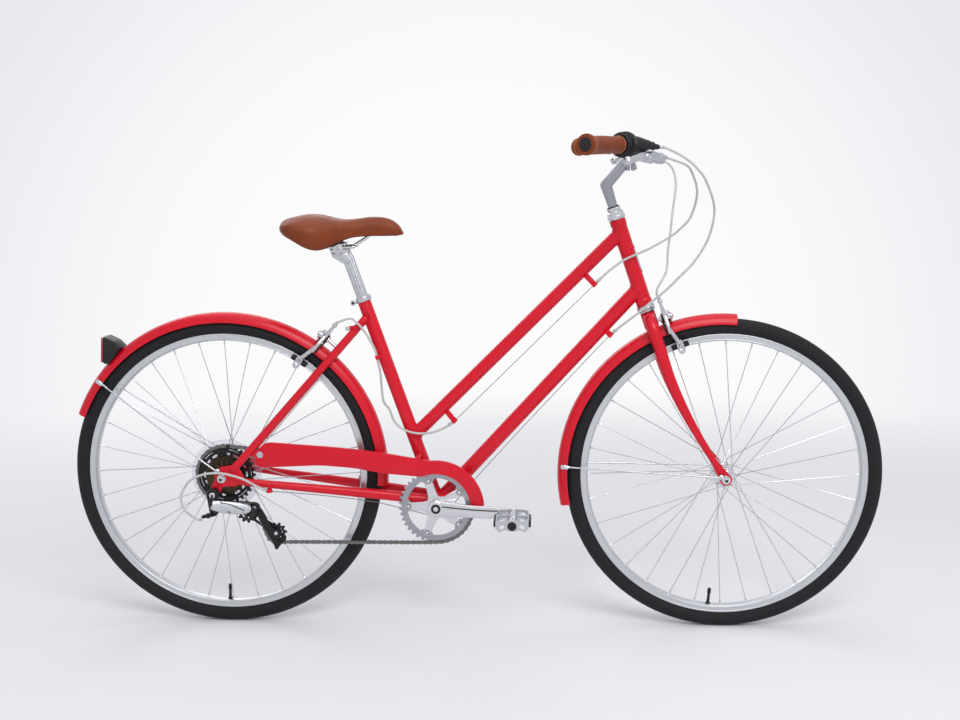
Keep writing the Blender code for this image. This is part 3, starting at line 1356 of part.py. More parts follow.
def make_chain(route):
    """A strip with an opening for each tooth where the chain lies on a wheel."""
    half, inner, high = CHAIN_WIDTH / 2, CHAIN_INNER_WIDTH / 2, CHAIN_HEIGHT / 2
    pin = CHAIN_PIN_LENGTH / CHAIN_PITCH / 2
    stations = []
    for link in range(route.links):
        if route.meshed(link) or route.meshed(link + 0.5) or route.meshed(link - 0.5):
            stations += [(link - pin, False), (link + pin, route.meshed(link + 0.5))]
    shape = bmesh.new()
    rows = []
    for link, _ in stations:
        place, heading = route.at(link)
        up = Vector((-heading.z, 0.0, heading.x))
        corners = [(y, side) for y in (-half, -inner, inner, half) for side in (high, -high)]
        rows.append([shape.verts.new(place + Vector((0.0, y, 0.0)) + up * side) for y, side in corners])
    count = len(rows)
    for i, (_, opening) in enumerate(stations):
        a, b = rows[i], rows[(i + 1) % count]
        for left in (0, 4) if opening else (0, 2, 4):
            shape.faces.new((a[left], a[left + 2], b[left + 2], b[left]))
            shape.faces.new((b[left + 1], b[left + 3], a[left + 3], a[left + 1]))
        shape.faces.new((a[1], a[0], b[0], b[1]))
        shape.faces.new((a[6], a[7], b[7], b[6]))
        if opening:
            shape.faces.new((a[2], a[3], b[3], b[2]))
            shape.faces.new((a[5], a[4], b[4], b[5]))
            shape.faces.new((a[2], a[4], a[5], a[3]))
            shape.faces.new((b[4], b[2], b[3], b[5]))
    bmesh.ops.recalc_face_normals(shape, faces=shape.faces)
    mesh = bpy.data.meshes.new("chain")
    shape.to_mesh(mesh)
    shape.free()
    chain = bpy.data.objects.new("chain", mesh)
    BIKE.objects.link(chain)
    return part(chain, "chain", "dark_steel")


def make_cogs(route):
    """Seven cogs as one stack, the largest with its teeth."""
    bore = REAR_HUB_RADIUS + 2 * GAP
    outer_y = -FIRST_COG_Y
    profile = []
    for i in reversed(range(1, len(COG_TEETH))):
        face = outer_y + i * COG_SPACING + COG_THICKNESS / 2
        radius = pitch_radius(COG_TEETH[i]) + 0.0025
        profile += [(radius, face), (radius, face - COG_SPACING + (0.0 if i > 1 else COG_THICKNESS))]
    back = outer_y - COG_THICKNESS / 2
    inner = pitch_radius(COG_TEETH[0]) - 0.012
    profile += [(inner, profile[-1][1]), (inner, back), (bore, back)]
    profile = [(bore, profile[0][1])] + profile
    stack = turned("freewheel_cogs", profile, 16, across_bike(REAR_AXLE), closed=True)
    part(stack, "freewheel_cogs", "dark_steel")
    teeth = tooth_outline(COG_TEETH[0], route.phase(0), TOOTH_HEIGHT)
    matrix = across_bike(REAR_AXLE, FIRST_COG_Y)
    ring = plate("largest_cog", [teeth, circle((0, 0), inner - 0.004, 16)], COG_THICKNESS, matrix)
    return fuse(stack, ring)


def make_pulleys(route):
    for wheel, name in ((1, "guide_pulley"), (2, "tension_pulley")):
        centre = route.wheels[wheel][0]
        outline = tooth_outline(PULLEY_TEETH, route.phase(wheel), PULLEY_TOOTH_HEIGHT)
        matrix = across_bike(centre, FIRST_COG_Y)
        hole = circle((0, 0), PULLEY_AXLE_RADIUS + GAP, 10)
        pulley = plate(name, [outline, hole], COG_THICKNESS * 1.2, matrix)
        part(pulley, name, "black_plastic")


def make_ring(route):
    """Chainring with five tabs that reach in to its bolts."""
    outline = tooth_outline(RING_TEETH, route.phase(3), TOOTH_HEIGHT)
    hole = []
    for i in range(5):
        bolt = spider_angle(i)
        for turn, radius in ((-36, RING_INNER_RADIUS), (-12, RING_INNER_RADIUS), (-7, RING_TAB_RADIUS)):
            hole.append((radius, bolt + turn))
        for turn, radius in ((7, RING_TAB_RADIUS), (12, RING_INNER_RADIUS)):
            hole.append((radius, bolt + turn))
    hole = [(r * math.cos(math.radians(a)), r * math.sin(math.radians(a))) for r, a in hole]
    ring = plate("chainring", [outline, hole], RING_THICKNESS, across_bike(BRACKET, RING_Y))
    return part(ring, "chainring", "silver_metal")


def spider_angle(i):
    """The crank arm points between two of the spider's five arms."""
    return CRANK_ANGLE + 36.0 + 72.0 * i


def make_crank(side, label):
    """Crank arm with its pedal spindle; the left one carries the bracket spindle."""
    heading = direction(CRANK_ANGLE if side < 0 else CRANK_ANGLE + 180.0)
    outward = Vector((0.0, side, 0.0))
    end = BRACKET + heading * CRANK_LENGTH
    boss_inner = SHELL_HALF + BEARING_FLANGE + BOSS_CLEARANCE
    boss_outer = CRANK_OUTER_Y - SPINDLE_END + 0.004
    eye_inner = CRANK_OUTER_Y - CRANK_THICKNESS
    name = f"crank_arm_{label}"
    crank = rod(name, BRACKET + outward * boss_inner, BRACKET + outward * boss_outer, CRANK_BOSS_RADIUS, 16)
    part(crank, name, "silver_metal")
    near = BRACKET + outward * (boss_outer - CRANK_THICKNESS / 2)
    far = end + outward * (CRANK_OUTER_Y - CRANK_THICKNESS / 2)
    beam = block(f"{name}_beam", (1.0, 1.0, 1.0), Matrix.Identity(4))
    for vertex in beam.data.vertices:
        along = near if vertex.co.x < 0 else far
        height = 0.0145 if vertex.co.x < 0 else 0.0115
        across = heading.cross(outward).normalized() * math.copysign(height, vertex.co.z)
        depth = outward * math.copysign(CRANK_THICKNESS / 2, vertex.co.y)
        vertex.co = along + across + depth
    if side > 0:
        beam.data.flip_normals()
    eye = rod(f"{name}_eye", end + outward * eye_inner, end + outward * CRANK_OUTER_Y, CRANK_EYE_RADIUS, 16)
    tip = CRANK_OUTER_Y + PEDAL_LENGTH - PEDAL_EDGE
    spindle = rod(f"{name}_spindle", end + outward * eye_inner, end + outward * tip, PEDAL_SPINDLE_RADIUS, 10)
    fuse(crank, beam, eye, spindle)
    if side > 0:
        right_end = BRACKET - outward * (CRANK_OUTER_Y - SPINDLE_END - 0.002)
        left_end = BRACKET + outward * (boss_inner + 0.01)
        fuse(crank, rod("bracket_spindle", right_end, left_end, SPINDLE_RADIUS, 12))
    else:
        matrix = across_bike(BRACKET, RING_Y - RING_THICKNESS / 2 - GAP - SPIDER_THICKNESS / 2)
        bolt = BOLT_CIRCLE / 2
        for i in range(5):
            angle = math.radians(spider_angle(i))
            tip_point = (bolt * math.cos(angle), bolt * math.sin(angle))
            outline = capsule((0.0, 0.0), tip_point, 0.010, SPIDER_RADIUS - bolt, 4)
            fuse(crank, plate(f"spider_{i}", [outline], SPIDER_THICKNESS, matrix))
        hole_end = BRACKET + outward * (CRANK_OUTER_Y - SPINDLE_END)
        hole = rod("spindle_clearance", BRACKET, hole_end, SPINDLE_RADIUS + GAP, 12)
        cut(crank, as_cutter(hole, "spindle_clearance"))
    return crank


def make_pedal(side, label):
    heading = direction(CRANK_ANGLE if side < 0 else CRANK_ANGLE + 180.0)
    end = BRACKET + heading * CRANK_LENGTH
    start = CRANK_OUTER_Y + PEDAL_CLEARANCE
    middle = end + Vector((0.0, side * (start + PEDAL_LENGTH / 2), 0.0))
    name = f"pedal_{label}"
    pedal = block(name, (PEDAL_WIDTH, PEDAL_LENGTH, PEDAL_HEIGHT), Matrix.Translation(middle))
    part(pedal, name, "silver_metal")
    bevel = pedal.modifiers.new("edges", "BEVEL")
    bevel.width = PEDAL_EDGE
    bevel.segments = 1
    bore_end = end + Vector((0.0, side * (CRANK_OUTER_Y + PEDAL_LENGTH - PEDAL_EDGE + 2 * GAP), 0.0))
    bore_start = end + Vector((0.0, side * (CRANK_OUTER_Y - 0.01), 0.0))
    bore = rod(f"{name}_bore", bore_start, bore_end, PEDAL_SPINDLE_RADIUS + PEDAL_BORE_CLEARANCE, 10)
    return cut(pedal, as_cutter(bore, f"{name}_bore"))


# Derailleur


def link_frame():
    """Upper and lower pivots of the derailleur's link, its swing axis and its direction."""
    upper = HANGER + Vector((LINK_UPPER_FORWARD, LINK_UPPER_Y, -LINK_UPPER_DROP))
    pitch, yaw, slant = math.radians(LINK_PITCH), math.radians(LINK_YAW), math.radians(LINK_SLANT)
    flat = Vector((math.cos(pitch), 0.0, -math.sin(pitch)))
    upright = Vector((math.sin(pitch), 0.0, math.cos(pitch)))
    axis = upright * math.cos(slant) + RIGHT * math.sin(slant)
    along = flat * math.cos(yaw) - RIGHT * math.sin(yaw)
    along = (along - axis * along.dot(axis)).normalized()
    return upper, upper + along * LINK_LENGTH, axis, along


def fuse_fork(knuckle, pivot, axis, away):
    """Fuses the two ears, back and pin that hold one end of the link; away points off the link."""
    half = LINK_HEIGHT / 2
    for step in (-1, 1):
        place = frame_matrix(pivot + axis * step * (half + 0.003) + away * 0.002, axis, away)
        fuse(knuckle, block(f"{knuckle.name}_ear", (0.016, 0.010, 0.004), place))
    place = frame_matrix(pivot + away * 0.0090, axis, away)
    back = block(f"{knuckle.name}_back", (0.004, 0.010, 2 * half + 0.008), place)
    pin_half = axis * (half + 0.003)
    pin = rod(f"{knuckle.name}_pin", pivot - pin_half, pivot + pin_half, LINK_PIN_RADIUS, 8)
    return fuse(knuckle, back, pin)


def shift_barrel():
    """Both ends of the barrel that the shift cable enters."""
    upper, _, axis, along = link_frame()
    end = upper + Vector((-SHIFT_BARREL_BACK, SHIFT_BARREL_INWARD, -SHIFT_BARREL_DROP))
    return upper - along * 0.0100 - axis * 0.0060, end


def make_derailleur(route):
    """Bracket on the hanger, one link, the knuckle that it carries, and the cage with two pulleys."""
    upper, lower, axis, along = link_frame()
    outer = REAR_DROPOUT_HALF + DROPOUT_THICKNESS + GAP
    face, end = HANGER + RIGHT * outer, HANGER + RIGHT * (outer + 0.016)
    bracket = rod("derailleur_bracket", face, end, KNUCKLE_RADIUS, 12)
    part(bracket, "derailleur_bracket", "black_plastic")
    fuse_fork(bracket, upper, axis, -along)
    neck = rod("bracket_neck", HANGER + RIGHT * (outer + 0.010), upper - along * 0.0110, 0.0055, 8)
    barrel = rod("bracket_barrel", *shift_barrel(), 0.0040, 8)
    fuse(bracket, neck, barrel)

    size = (LINK_LENGTH + 0.005, LINK_THICKNESS, LINK_HEIGHT)
    link = block("derailleur_link", size, frame_matrix((upper + lower) / 2, axis, along))
    part(link, "derailleur_link", "silver_metal")
    for place in (upper, lower):
        hole = rod("link_hole", place - axis * 0.02, place + axis * 0.02, LINK_PIN_RADIUS + GAP, 8)
        cut(link, as_cutter(hole, "link_hole"))

    guide, tension = route.wheels[1][0], route.wheels[2][0]
    pivot = guide + Vector((CAGE_PIVOT_FORWARD, 0.0, CAGE_PIVOT_RISE))
    cage_outer = CHAIN_WIDTH / 2 - FIRST_COG_Y + CAGE_CLEARANCE
    outside = cage_outer + CAGE_THICKNESS
    face, end = pivot + RIGHT * (outside + GAP), pivot + RIGHT * (outside + 0.0143)
    knuckle = rod("derailleur_knuckle", face, end, KNUCKLE_RADIUS, 12)
    part(knuckle, "derailleur_knuckle", "black_plastic")
    fuse_fork(knuckle, lower, axis, along)
    fuse(knuckle, rod("knuckle_neck", lower + along * 0.0110, pivot + RIGHT * (outside + 0.008), 0.0055, 8))

    at_guide, at_tension = 0.009, 0.011
    outline = capsule((pivot.x, pivot.z), (tension.x, tension.z), KNUCKLE_RADIUS, at_tension, 6)
    y = -cage_outer - CAGE_THICKNESS / 2
    cage = side_plate("derailleur_cage", [outline], CAGE_THICKNESS, y)
    part(cage, "derailleur_cage", "black_plastic")
    wing = capsule((pivot.x, pivot.z), (guide.x, guide.z), 0.010, at_guide, 6)
    fuse(cage, side_plate("cage_wing", [wing], CAGE_THICKNESS, y))
    inner_y = 2 * FIRST_COG_Y + cage_outer + CAGE_THICKNESS / 2
    arm = capsule((guide.x, guide.z), (tension.x, tension.z), at_guide, at_tension, 6)
    fuse(cage, side_plate("cage_inner", [arm], CAGE_THICKNESS, inner_y))
    for centre in (guide, tension):
        first, last = centre + Vector((0.0, y, 0.0)), centre + Vector((0.0, inner_y, 0.0))
        fuse(cage, rod("pulley_axle", first, last, PULLEY_AXLE_RADIUS, 10))
    return cage


def guard_arc(radius, angles):
    """Points of the guard's outline round the bracket."""
    turns = [direction(angle) * radius + BRACKET for angle in angles]
    return [(point.x, point.z) for point in turns]


def make_chain_guard():
    """Guard plate outside the chain and the ring's teeth, on a strut from the seat tube."""
    rear = [(0.0784, 0.0219), (0.0712, 0.0425), (0.0788, 0.0638), (0.0976, 0.0787)]
    over_chain = [(-0.2151, 0.1343), (-0.1243, 0.1240)]
    under_chain = [(-0.1176, 0.0769), (-0.1782, 0.0882), (-0.2541, 0.0943)]
    rear_low = [(0.1176, 0.0232)]
    outline = [(REAR_AXLE.x + x, REAR_AXLE.z + z) for x, z in rear]
    outline += [(BRACKET.x + x, BRACKET.z + z) for x, z in over_chain]
    outline += guard_arc(GUARD_OUTER_RADIUS, range(98, 1, -12))
    outline += guard_arc(GUARD_INNER_RADIUS, range(4, 115, 22))
    outline += [(BRACKET.x + x, BRACKET.z + z) for x, z in under_chain]
    outline += [(REAR_AXLE.x + x, REAR_AXLE.z + z) for x, z in rear_low]
    guard = side_plate("chain_guard", [outline], GUARD_THICKNESS, GUARD_Y)
    part(guard, "chain_guard", "red_paint")
    point = BRACKET + SEAT_UP * GUARD_STRUT_RISE
    start = Vector((point.x, -SEAT_TUBE_RADIUS - GAP, point.z))
    end = Vector((point.x, GUARD_Y, point.z))
    return fuse(guard, rod("guard_strut", start, end, GUARD_STRUT_RADIUS, 8))


# Seat


def make_seat():
    """Post with its clamp head, and the saddle's bent rail wire through that head."""
    top = SEAT_TOP + SEAT_UP * POST_SHOWN
    bottom = SEAT_TOP - SEAT_UP * POST_INSERTED
    post = part(rod("seatpost", bottom, top, POST_RADIUS, 14), "seatpost", "silver_metal")
    clamp = top + SEAT_UP * POST_HEAD_RISE
    fuse(post, block("post_head", (0.044, 0.058, 0.022), Matrix.Translation(clamp)))
    rail_z = clamp.z + 0.003
    under = clamp.z + SADDLE_OVER_HEAD
    ends_z = under - RAIL_RADIUS - 3 * GAP
    saddle_rear = clamp.x - SADDLE_REAR_BEHIND
    rear_x = saddle_rear + 0.062
    nose_x = saddle_rear + SADDLE_LENGTH - 0.045
    half = [
        (rear_x, 0.028, ends_z),
        (rear_x + 0.022, 0.025, rail_z + 0.004),
        (clamp.x - 0.034, RAIL_SPREAD, rail_z),
        (clamp.x + 0.034, RAIL_SPREAD, rail_z),
        (nose_x - 0.026, 0.014, ends_z - 0.014),
        (nose_x - 0.006, 0.010, ends_z),
    ]
    right = [(x, -y, z) for x, y, z in half]
    path = smooth_path([*right, (nose_x, 0.0, ends_z), *reversed(half)], 0.022)
    part(tube("saddle_rails", path, RAIL_RADIUS, 1), "saddle_rails", "silver_metal")
    for side in (-1, 1):
        ends = [(clamp.x + step, side * RAIL_SPREAD, rail_z) for step in (-0.06, 0.06)]
        clearance = as_mesh(tube("rail_clearance", ends, RAIL_RADIUS + 0.0015, 1))
        cut(post, as_cutter(clearance, "rail_clearance"))
    make_saddle(saddle_rear, under)


def make_saddle(rear_x, under):
    """Cushion with a crowned, two-lobed rear, drawn-in sides and a narrow nose."""
    stations = (
        (0.00, 0.66, 0.020, 0.030),
        (0.06, 0.90, 0.046, 0.040),
        (0.18, 1.00, 0.052, 0.050),
        (0.34, 0.92, 0.044, 0.056),
        (0.50, 0.62, 0.036, 0.046),
        (0.66, 0.36, 0.036, 0.034),
        (0.84, 0.25, 0.036, 0.028),
        (0.96, 0.20, 0.030, 0.024),
        (1.00, 0.10, 0.020, 0.014),
    )
    mesh = bpy.data.meshes.new("saddle")
    shape = bmesh.new()
    rings = []
    for share, width, crown, skirt in stations:
        x = rear_x + SADDLE_LENGTH * share
        half = SADDLE_WIDTH / 2 * width
        lobe = 0.005 * max(0.0, 1 - share * 2.2)
        top = under + crown
        section = (
            (0.0, top - lobe),
            (half * 0.45, top + lobe * 0.4),
            (half * 0.85, top - 0.010),
            (half, top - 0.020 - skirt * 0.15),
            (half * 0.86, max(under - skirt * 0.25, top - 0.062)),
            (half * 0.45, under),
            (0.0, under),
        )
        ring = [shape.verts.new((x, -y, z)) for y, z in section]
        ring += [shape.verts.new((x, y, z)) for y, z in reversed(section[1:-1])]
        rings.append(ring)
    for a, b in zip(rings, rings[1:]):
        for i in range(len(a)):
            j = (i + 1) % len(a)
            shape.faces.new((a[i], b[i], b[j], a[j]))
    for ring in (rings[0], rings[-1]):
        shape.faces.new(ring)
    bmesh.ops.recalc_face_normals(shape, faces=shape.faces)
    shape.to_mesh(mesh)
    shape.free()
    saddle = bpy.data.objects.new("saddle", mesh)
    BIKE.objects.link(saddle)
    part(saddle, "saddle", "brown_leather")
    soft = saddle.modifiers.new("soft", "SUBSURF")
    soft.levels = 1
    soft.render_levels = 1
    return saddle


# Cables


def leave(start, end):
    """Two points straight on from a barrel that runs from start to end, beyond a small gap."""
    heading = (end - start).normalized()
    return [end + heading * GAP, end + heading * 0.012]


def make_cables(front_end, rear_end):
    """Each cable whole along its route, thick where it has a housing and thin where its wire is bare."""
    front = leave(*brake_barrel(1)) + [
        (0.4380, 0.1090, 1.0180),
        (0.4470, 0.1000, 0.9889),
        (0.4441, 0.0800, 0.9587),
        (0.4369, 0.0550, 0.9203),
        (0.4319, 0.0350, 0.8837),
        (0.4242, 0.0100, 0.8404),
        (0.4190, -0.0120, 0.7958),
        front_end + STEERING * 0.030,
        front_end,
    ]
    route_tube("front_brake_cable", [(front, HOUSING_RADIUS)])
    rear_front = leave(*brake_barrel(-1)) + [
        (0.4460, -0.1070, 1.0240),
        (0.4605, -0.1000, 1.0080),
        (0.4744, -0.0800, 0.9653),
        (0.4642, -0.0600, 0.9150),
        (0.4437, -0.0500, 0.8896),
        (0.4223, -0.0430, 0.8714),
        (0.3819, -0.0340, 0.8472),
        (0.3529, -0.0280, 0.8338),
        (0.3258, -0.0240, 0.8203),
        (0.2970, -0.0220, 0.7990),
        (0.2700, -0.0205, 0.7740),
    ]
    wire = [(0.2600, -0.0200, 0.7640), (0.1000, -0.0190, 0.6057), (-0.0350, -0.0190, 0.4725)]
    rear_back = [
        (-0.0450, -0.0200, 0.4640),
        (-0.0620, -0.0210, 0.4530),
        (-0.0828, -0.0220, 0.4440),
        (-0.1080, -0.0230, 0.4400),
        (-0.1340, -0.0230, 0.4420),
        (-0.1590, -0.0210, 0.4520),
        (-0.1760, -0.0120, 0.4690),
        (-0.1862, 0.0000, 0.4900),
        (-0.1980, 0.0000, 0.5200),
        (-0.2090, 0.0000, 0.5567),
        (-0.2180, 0.0000, 0.5920),
        (-0.2290, 0.0000, 0.6280),
        (-0.2400, 0.0000, 0.6560),
        (-0.2540, 0.0000, 0.6780),
        (-0.2700, -0.0080, 0.6900),
        rear_end - stay_line() * 0.020,
        rear_end,
    ]
    stretches = [(rear_front, HOUSING_RADIUS), (wire, WIRE_RADIUS), (rear_back, HOUSING_RADIUS)]
    route_tube("rear_brake_cable", stretches)
    shift_front = leave(*shifter_nose()) + [
        (0.4188, -0.1390, 1.0503),
        (0.4470, -0.1290, 1.0348),
        (0.4713, -0.1180, 1.0135),
        (0.4901, -0.1050, 0.9886),
        (0.5106, -0.0800, 0.9332),
        (0.5030, -0.0620, 0.8736),
        (0.4761, -0.0520, 0.8225),
        (0.4463, -0.0460, 0.7892),
        (0.4156, -0.0400, 0.7573),
        (0.3833, -0.0350, 0.7300),
        (0.3543, -0.0300, 0.7043),
        (0.3273, -0.0255, 0.6830),
        (0.3050, -0.0230, 0.6640),
    ]
    shift_wire = [
        (0.2950, -0.0225, 0.6550),
        (0.1200, -0.0210, 0.4660),
        (-0.0250, -0.0210, 0.3040),
        (-0.0580, -0.0210, 0.2610),
        (-0.0950, -0.0230, 0.2540),
        (-0.2100, -0.0350, 0.2860),
        (-0.3500, -0.0540, 0.3080),
        (-0.4400, -0.0680, 0.3180),
    ]
    shift_end = leave(*shift_barrel())
    shift_rear = [
        (-0.4520, -0.0710, 0.3210),
        (-0.4700, -0.0780, 0.3310),
        (-0.5044, -0.0830, 0.3507),
        (-0.5421, -0.0850, 0.3613),
        (-0.5727, -0.0850, 0.3621),
        (-0.6006, -0.0850, 0.3552),
        (-0.6179, -0.0850, 0.3452),
        (-0.6286, -0.0850, 0.3320),
        (-0.6388, -0.0855, 0.3097),
        (-0.6320, -0.0860, 0.2800),
        *reversed(shift_end),
    ]
    stretches = [(shift_front, HOUSING_RADIUS), (shift_wire, WIRE_RADIUS), (shift_rear, HOUSING_RADIUS)]
    route_tube("shift_cable", stretches)


def route_tube(name, stretches):
    """One tube through all the stretches, each with its own radius."""
    points, radii = [], []
    for stretch, radius in stretches:
        spacing = 0.018 if radius == HOUSING_RADIUS else 0.20
        path = smooth_path(stretch, spacing)
        points += path
        radii += [radius] * len(path)
    return part(tube(name, points, radii), name, "grey_housing")


def main():
    make_front_wheel()
    make_rear_wheel()
    make_axle("front_axle", FRONT_AXLE, FRONT_HUB_HALF, FRONT_HUB_HALF, FRONT_FORK_HALF)
    make_axle("rear_axle", REAR_AXLE, REAR_HUB_RIGHT, REAR_HUB_LEFT, REAR_DROPOUT_HALF)
    make_head_tube()
    seat_cutter, shell_cutter = make_main_tubes()
    make_stays(seat_cutter, shell_cutter)
    bridge_middle = make_bridge()
    make_seat_collar()
    make_bracket_unit()
    make_fork()
    make_stem()
    make_handlebar()
    make_grips()
    make_shifter()
    make_brake_levers()
    front_end, rear_end = make_calipers(bridge_middle)
    make_fenders()
    make_reflector()
    route = chain_route()
    make_chain(route)
    make_cogs(route)
    make_pulleys(route)
    make_ring(route)
    for side, label in ((-1, "right"), (1, "left")):
        make_crank(side, label)
        make_pedal(side, label)
    make_derailleur(route)
    make_chain_guard()
    make_seat()
    make_cables(front_end, rear_end)


clear_scene()
BIKE = make_collection("city_bike")
CUTTERS = make_collection("cutters")
MATERIALS = {name: make_material(name) for name in COLOURS}
main()
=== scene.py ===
"""Looks of the city bike: fine surfaces, materials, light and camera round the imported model.

+X is forward, +Y is the rider's left, +Z is up. Sizes are in metres, angles in degrees.
"""

import math
from collections import namedtuple

import bmesh
import bpy
from mathutils import Matrix, Vector


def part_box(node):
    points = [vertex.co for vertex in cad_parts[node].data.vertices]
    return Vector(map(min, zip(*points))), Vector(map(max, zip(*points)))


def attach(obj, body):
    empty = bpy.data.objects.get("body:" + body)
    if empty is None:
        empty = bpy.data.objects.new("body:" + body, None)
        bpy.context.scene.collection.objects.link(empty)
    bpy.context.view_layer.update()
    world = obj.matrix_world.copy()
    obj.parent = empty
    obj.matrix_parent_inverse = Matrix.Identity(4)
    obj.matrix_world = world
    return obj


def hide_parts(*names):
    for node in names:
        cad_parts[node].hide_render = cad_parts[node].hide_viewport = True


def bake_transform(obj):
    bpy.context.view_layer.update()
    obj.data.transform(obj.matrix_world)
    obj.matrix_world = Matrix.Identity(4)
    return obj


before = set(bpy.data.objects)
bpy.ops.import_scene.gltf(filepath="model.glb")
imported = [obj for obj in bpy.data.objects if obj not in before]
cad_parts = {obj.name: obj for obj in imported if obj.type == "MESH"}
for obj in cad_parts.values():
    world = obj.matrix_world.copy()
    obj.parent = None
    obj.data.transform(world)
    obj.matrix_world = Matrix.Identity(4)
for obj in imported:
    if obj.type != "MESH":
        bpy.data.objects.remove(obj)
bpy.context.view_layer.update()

# Camera, solved from the photograph's wheels and frame
CAMERA_PLACE = (0.16187, -2.83529, 1.03937)
CAMERA_YAW = 2.9464
CAMERA_PITCH = -8.7846
CAMERA_ROLL = -0.3746
CAMERA_LENS = 48.973
SENSOR_WIDTH = 36.0

# Driving sizes, the same as the solids have
GAP = 0.0003
WHEELBASE = 1.1025
TYRE_RADIUS = 0.3465
TYRE_WIDTH = 0.035
RIM_RADIUS = 0.314
RIM_DEPTH = 0.0165
RIM_INNER_RADIUS = RIM_RADIUS - RIM_DEPTH
RIM_WIDTH = 0.024
SPOKE_COUNT = 32
SPOKE_RADIUS = 0.001
SPOKE_LAYER = 0.0016
SPOKE_CROSSING = 62.0
HEAD_ANGLE = 71.5
HEAD_LENGTH = 0.195
HEAD_RADIUS = 0.0165
SEAT_ANGLE = 70.7
SEAT_TUBE_LENGTH = 0.486
SEAT_TUBE_RADIUS = 0.0145
TOP_TUBE_RADIUS = 0.0143
DOWN_TUBE_RADIUS = 0.0156
SEATSTAY_RADIUS = 0.0085
SEATSTAY_WIDEST = 0.36
BRIDGE_SHARE = 0.210
CHAINSTAY_FRONT_RADIUS = 0.011
CHAINSTAY_REAR_RADIUS = 0.0075
REAR_DROPOUT_HALF = 0.065
FRONT_FORK_HALF = 0.050
DROPOUT_THICKNESS = 0.005
AXLE_RADIUS = 0.0045
SHELL_RADIUS = 0.0205
SHELL_HALF = 0.034
FENDER_HALF_WIDTH = 0.024
FENDER_DEPTH = 0.021
FENDER_THICKNESS = 0.0015
STAY_WIRE_RADIUS = 0.0022
BAR_RADIUS = 0.0111
GRIP_LENGTH = 0.126
GRIP_SWEEP = 33.5
SHIFTER_TWIST_LENGTH = 0.020
SHIFTER_BODY_LENGTH = 0.018
LEVER_CLAMP_LENGTH = 0.014
REAR_FENDER_RADIUS = 0.361
FRONT_FENDER_RADIUS = 0.357
FRONT_FENDER_BACK = 0.008
REAR_FENDER_ARC = (-4.0, 157.7)
FRONT_FENDER_ARC = (85.5, 191.0)
FRONT_BRAKE_DROP = 0.040
FRONT_BRAKE_FORWARD = 0.028
REAR_BRAKE_BACK = 0.036
BRAKE_ARM_THICKNESS = 0.0075
CABLE_LUG_OUT = 0.030
CABLE_LUG_RISE = 0.0345
BRAKE_BOLT_RADIUS = 0.0040
PAD_LENGTH = 0.038
PAD_HEIGHT = 0.010
PAD_CLEARANCE = 0.0022
PAD_RADIUS = RIM_RADIUS - 0.008
BRIDGE_RADIUS = 0.007
CRANK_LENGTH = 0.170
CRANK_ANGLE = -1.9
CHAIN_PITCH = 0.0127
CHAIN_WIDTH = 0.0073
CHAIN_STRAIGHT_OUT = 0.045
TOOTH_HEIGHT = 0.0030
RING_TEETH = 40
RING_Y = -0.045
RING_THICKNESS = 0.0030
RING_INNER_RADIUS = 0.0650
RING_TAB_RADIUS = 0.0550
COG_TEETH = (32, 21, 20, 19, 18, 16, 14)
COG_SPACING = 0.005
COG_THICKNESS = 0.0020
FIRST_COG_Y = -0.0285
PULLEY_TEETH = 11
GUIDE_CLEARANCE = 0.01142
GUIDE_ANGLE = -62.397
TENSION_ANGLE = -35.47
PULLEY_DISTANCE = 0.07858
SPINDLE_RADIUS = 0.0085
SPIDER_THICKNESS = 0.0050
BOLT_CIRCLE = 0.122
CRANK_THICKNESS = 0.0125
CRANK_OUTER_Y = 0.080
PEDAL_SPINDLE_RADIUS = 0.0060
PEDAL_LENGTH = 0.096
GUARD_Y = -0.0545
GUARD_THICKNESS = 0.0015
GUARD_INNER_RADIUS = 0.0760
GUARD_OUTER_RADIUS = 0.1060
GUARD_STRUT_RADIUS = 0.0045
GUARD_STRUT_RISE = 0.118
LINK_LENGTH = 0.070
LINK_HEIGHT = 0.016
CAGE_CLEARANCE = 0.0015
CAGE_THICKNESS = 0.002
POST_RADIUS = 0.0127
POST_SHOWN = 0.112
POST_INSERTED = 0.160
POST_HEAD_RISE = 0.004
SADDLE_OVER_HEAD = 0.0188
SADDLE_LENGTH = 0.262
SADDLE_WIDTH = 0.190
SADDLE_BEHIND_CLAMP = 0.1335
RAIL_RADIUS = 0.0035
RAIL_SPREAD = 0.022
HOUSING_RADIUS = 0.0025
WIRE_RADIUS = 0.0012
BRIDGE_CLEARANCE = 0.00924


def direction(degrees):
    """Unit vector in the bike's side view, from forward towards up."""
    angle = math.radians(degrees)
    return Vector((math.cos(angle), 0.0, math.sin(angle)))


LEFT = Vector((0.0, 1.0, 0.0))
RIGHT = Vector((0.0, -1.0, 0.0))
UP = Vector((0.0, 0.0, 1.0))
SIDES = ((-1, "right"), (1, "left"))
FRONT_AXLE = Vector((WHEELBASE / 2, 0.0, TYRE_RADIUS))
REAR_AXLE = Vector((-WHEELBASE / 2, 0.0, TYRE_RADIUS))
FRONT_EYELET = FRONT_AXLE + Vector((-0.0108, 0.0, 0.0062))
REAR_EYELET = REAR_AXLE + Vector((-0.008, 0.0, 0.0165))
HANGER = REAR_AXLE - Vector((0.01775, 0.0, 0.0335))
BRACKET = Vector((-0.080, 0.0, 0.280))
HEAD_BOTTOM = Vector((0.3753, 0.0, 0.722))
STEERING = direction(180.0 - HEAD_ANGLE)
HEAD_TOP = HEAD_BOTTOM + STEERING * HEAD_LENGTH
STEER_FORWARD = Vector((STEERING.z, 0.0, -STEERING.x))
SEAT_UP = direction(180.0 - SEAT_ANGLE)
SEAT_TOP = BRACKET + SEAT_UP * SEAT_TUBE_LENGTH
SEAT_BACK = Vector((-SEAT_UP.z, 0.0, SEAT_UP.x))
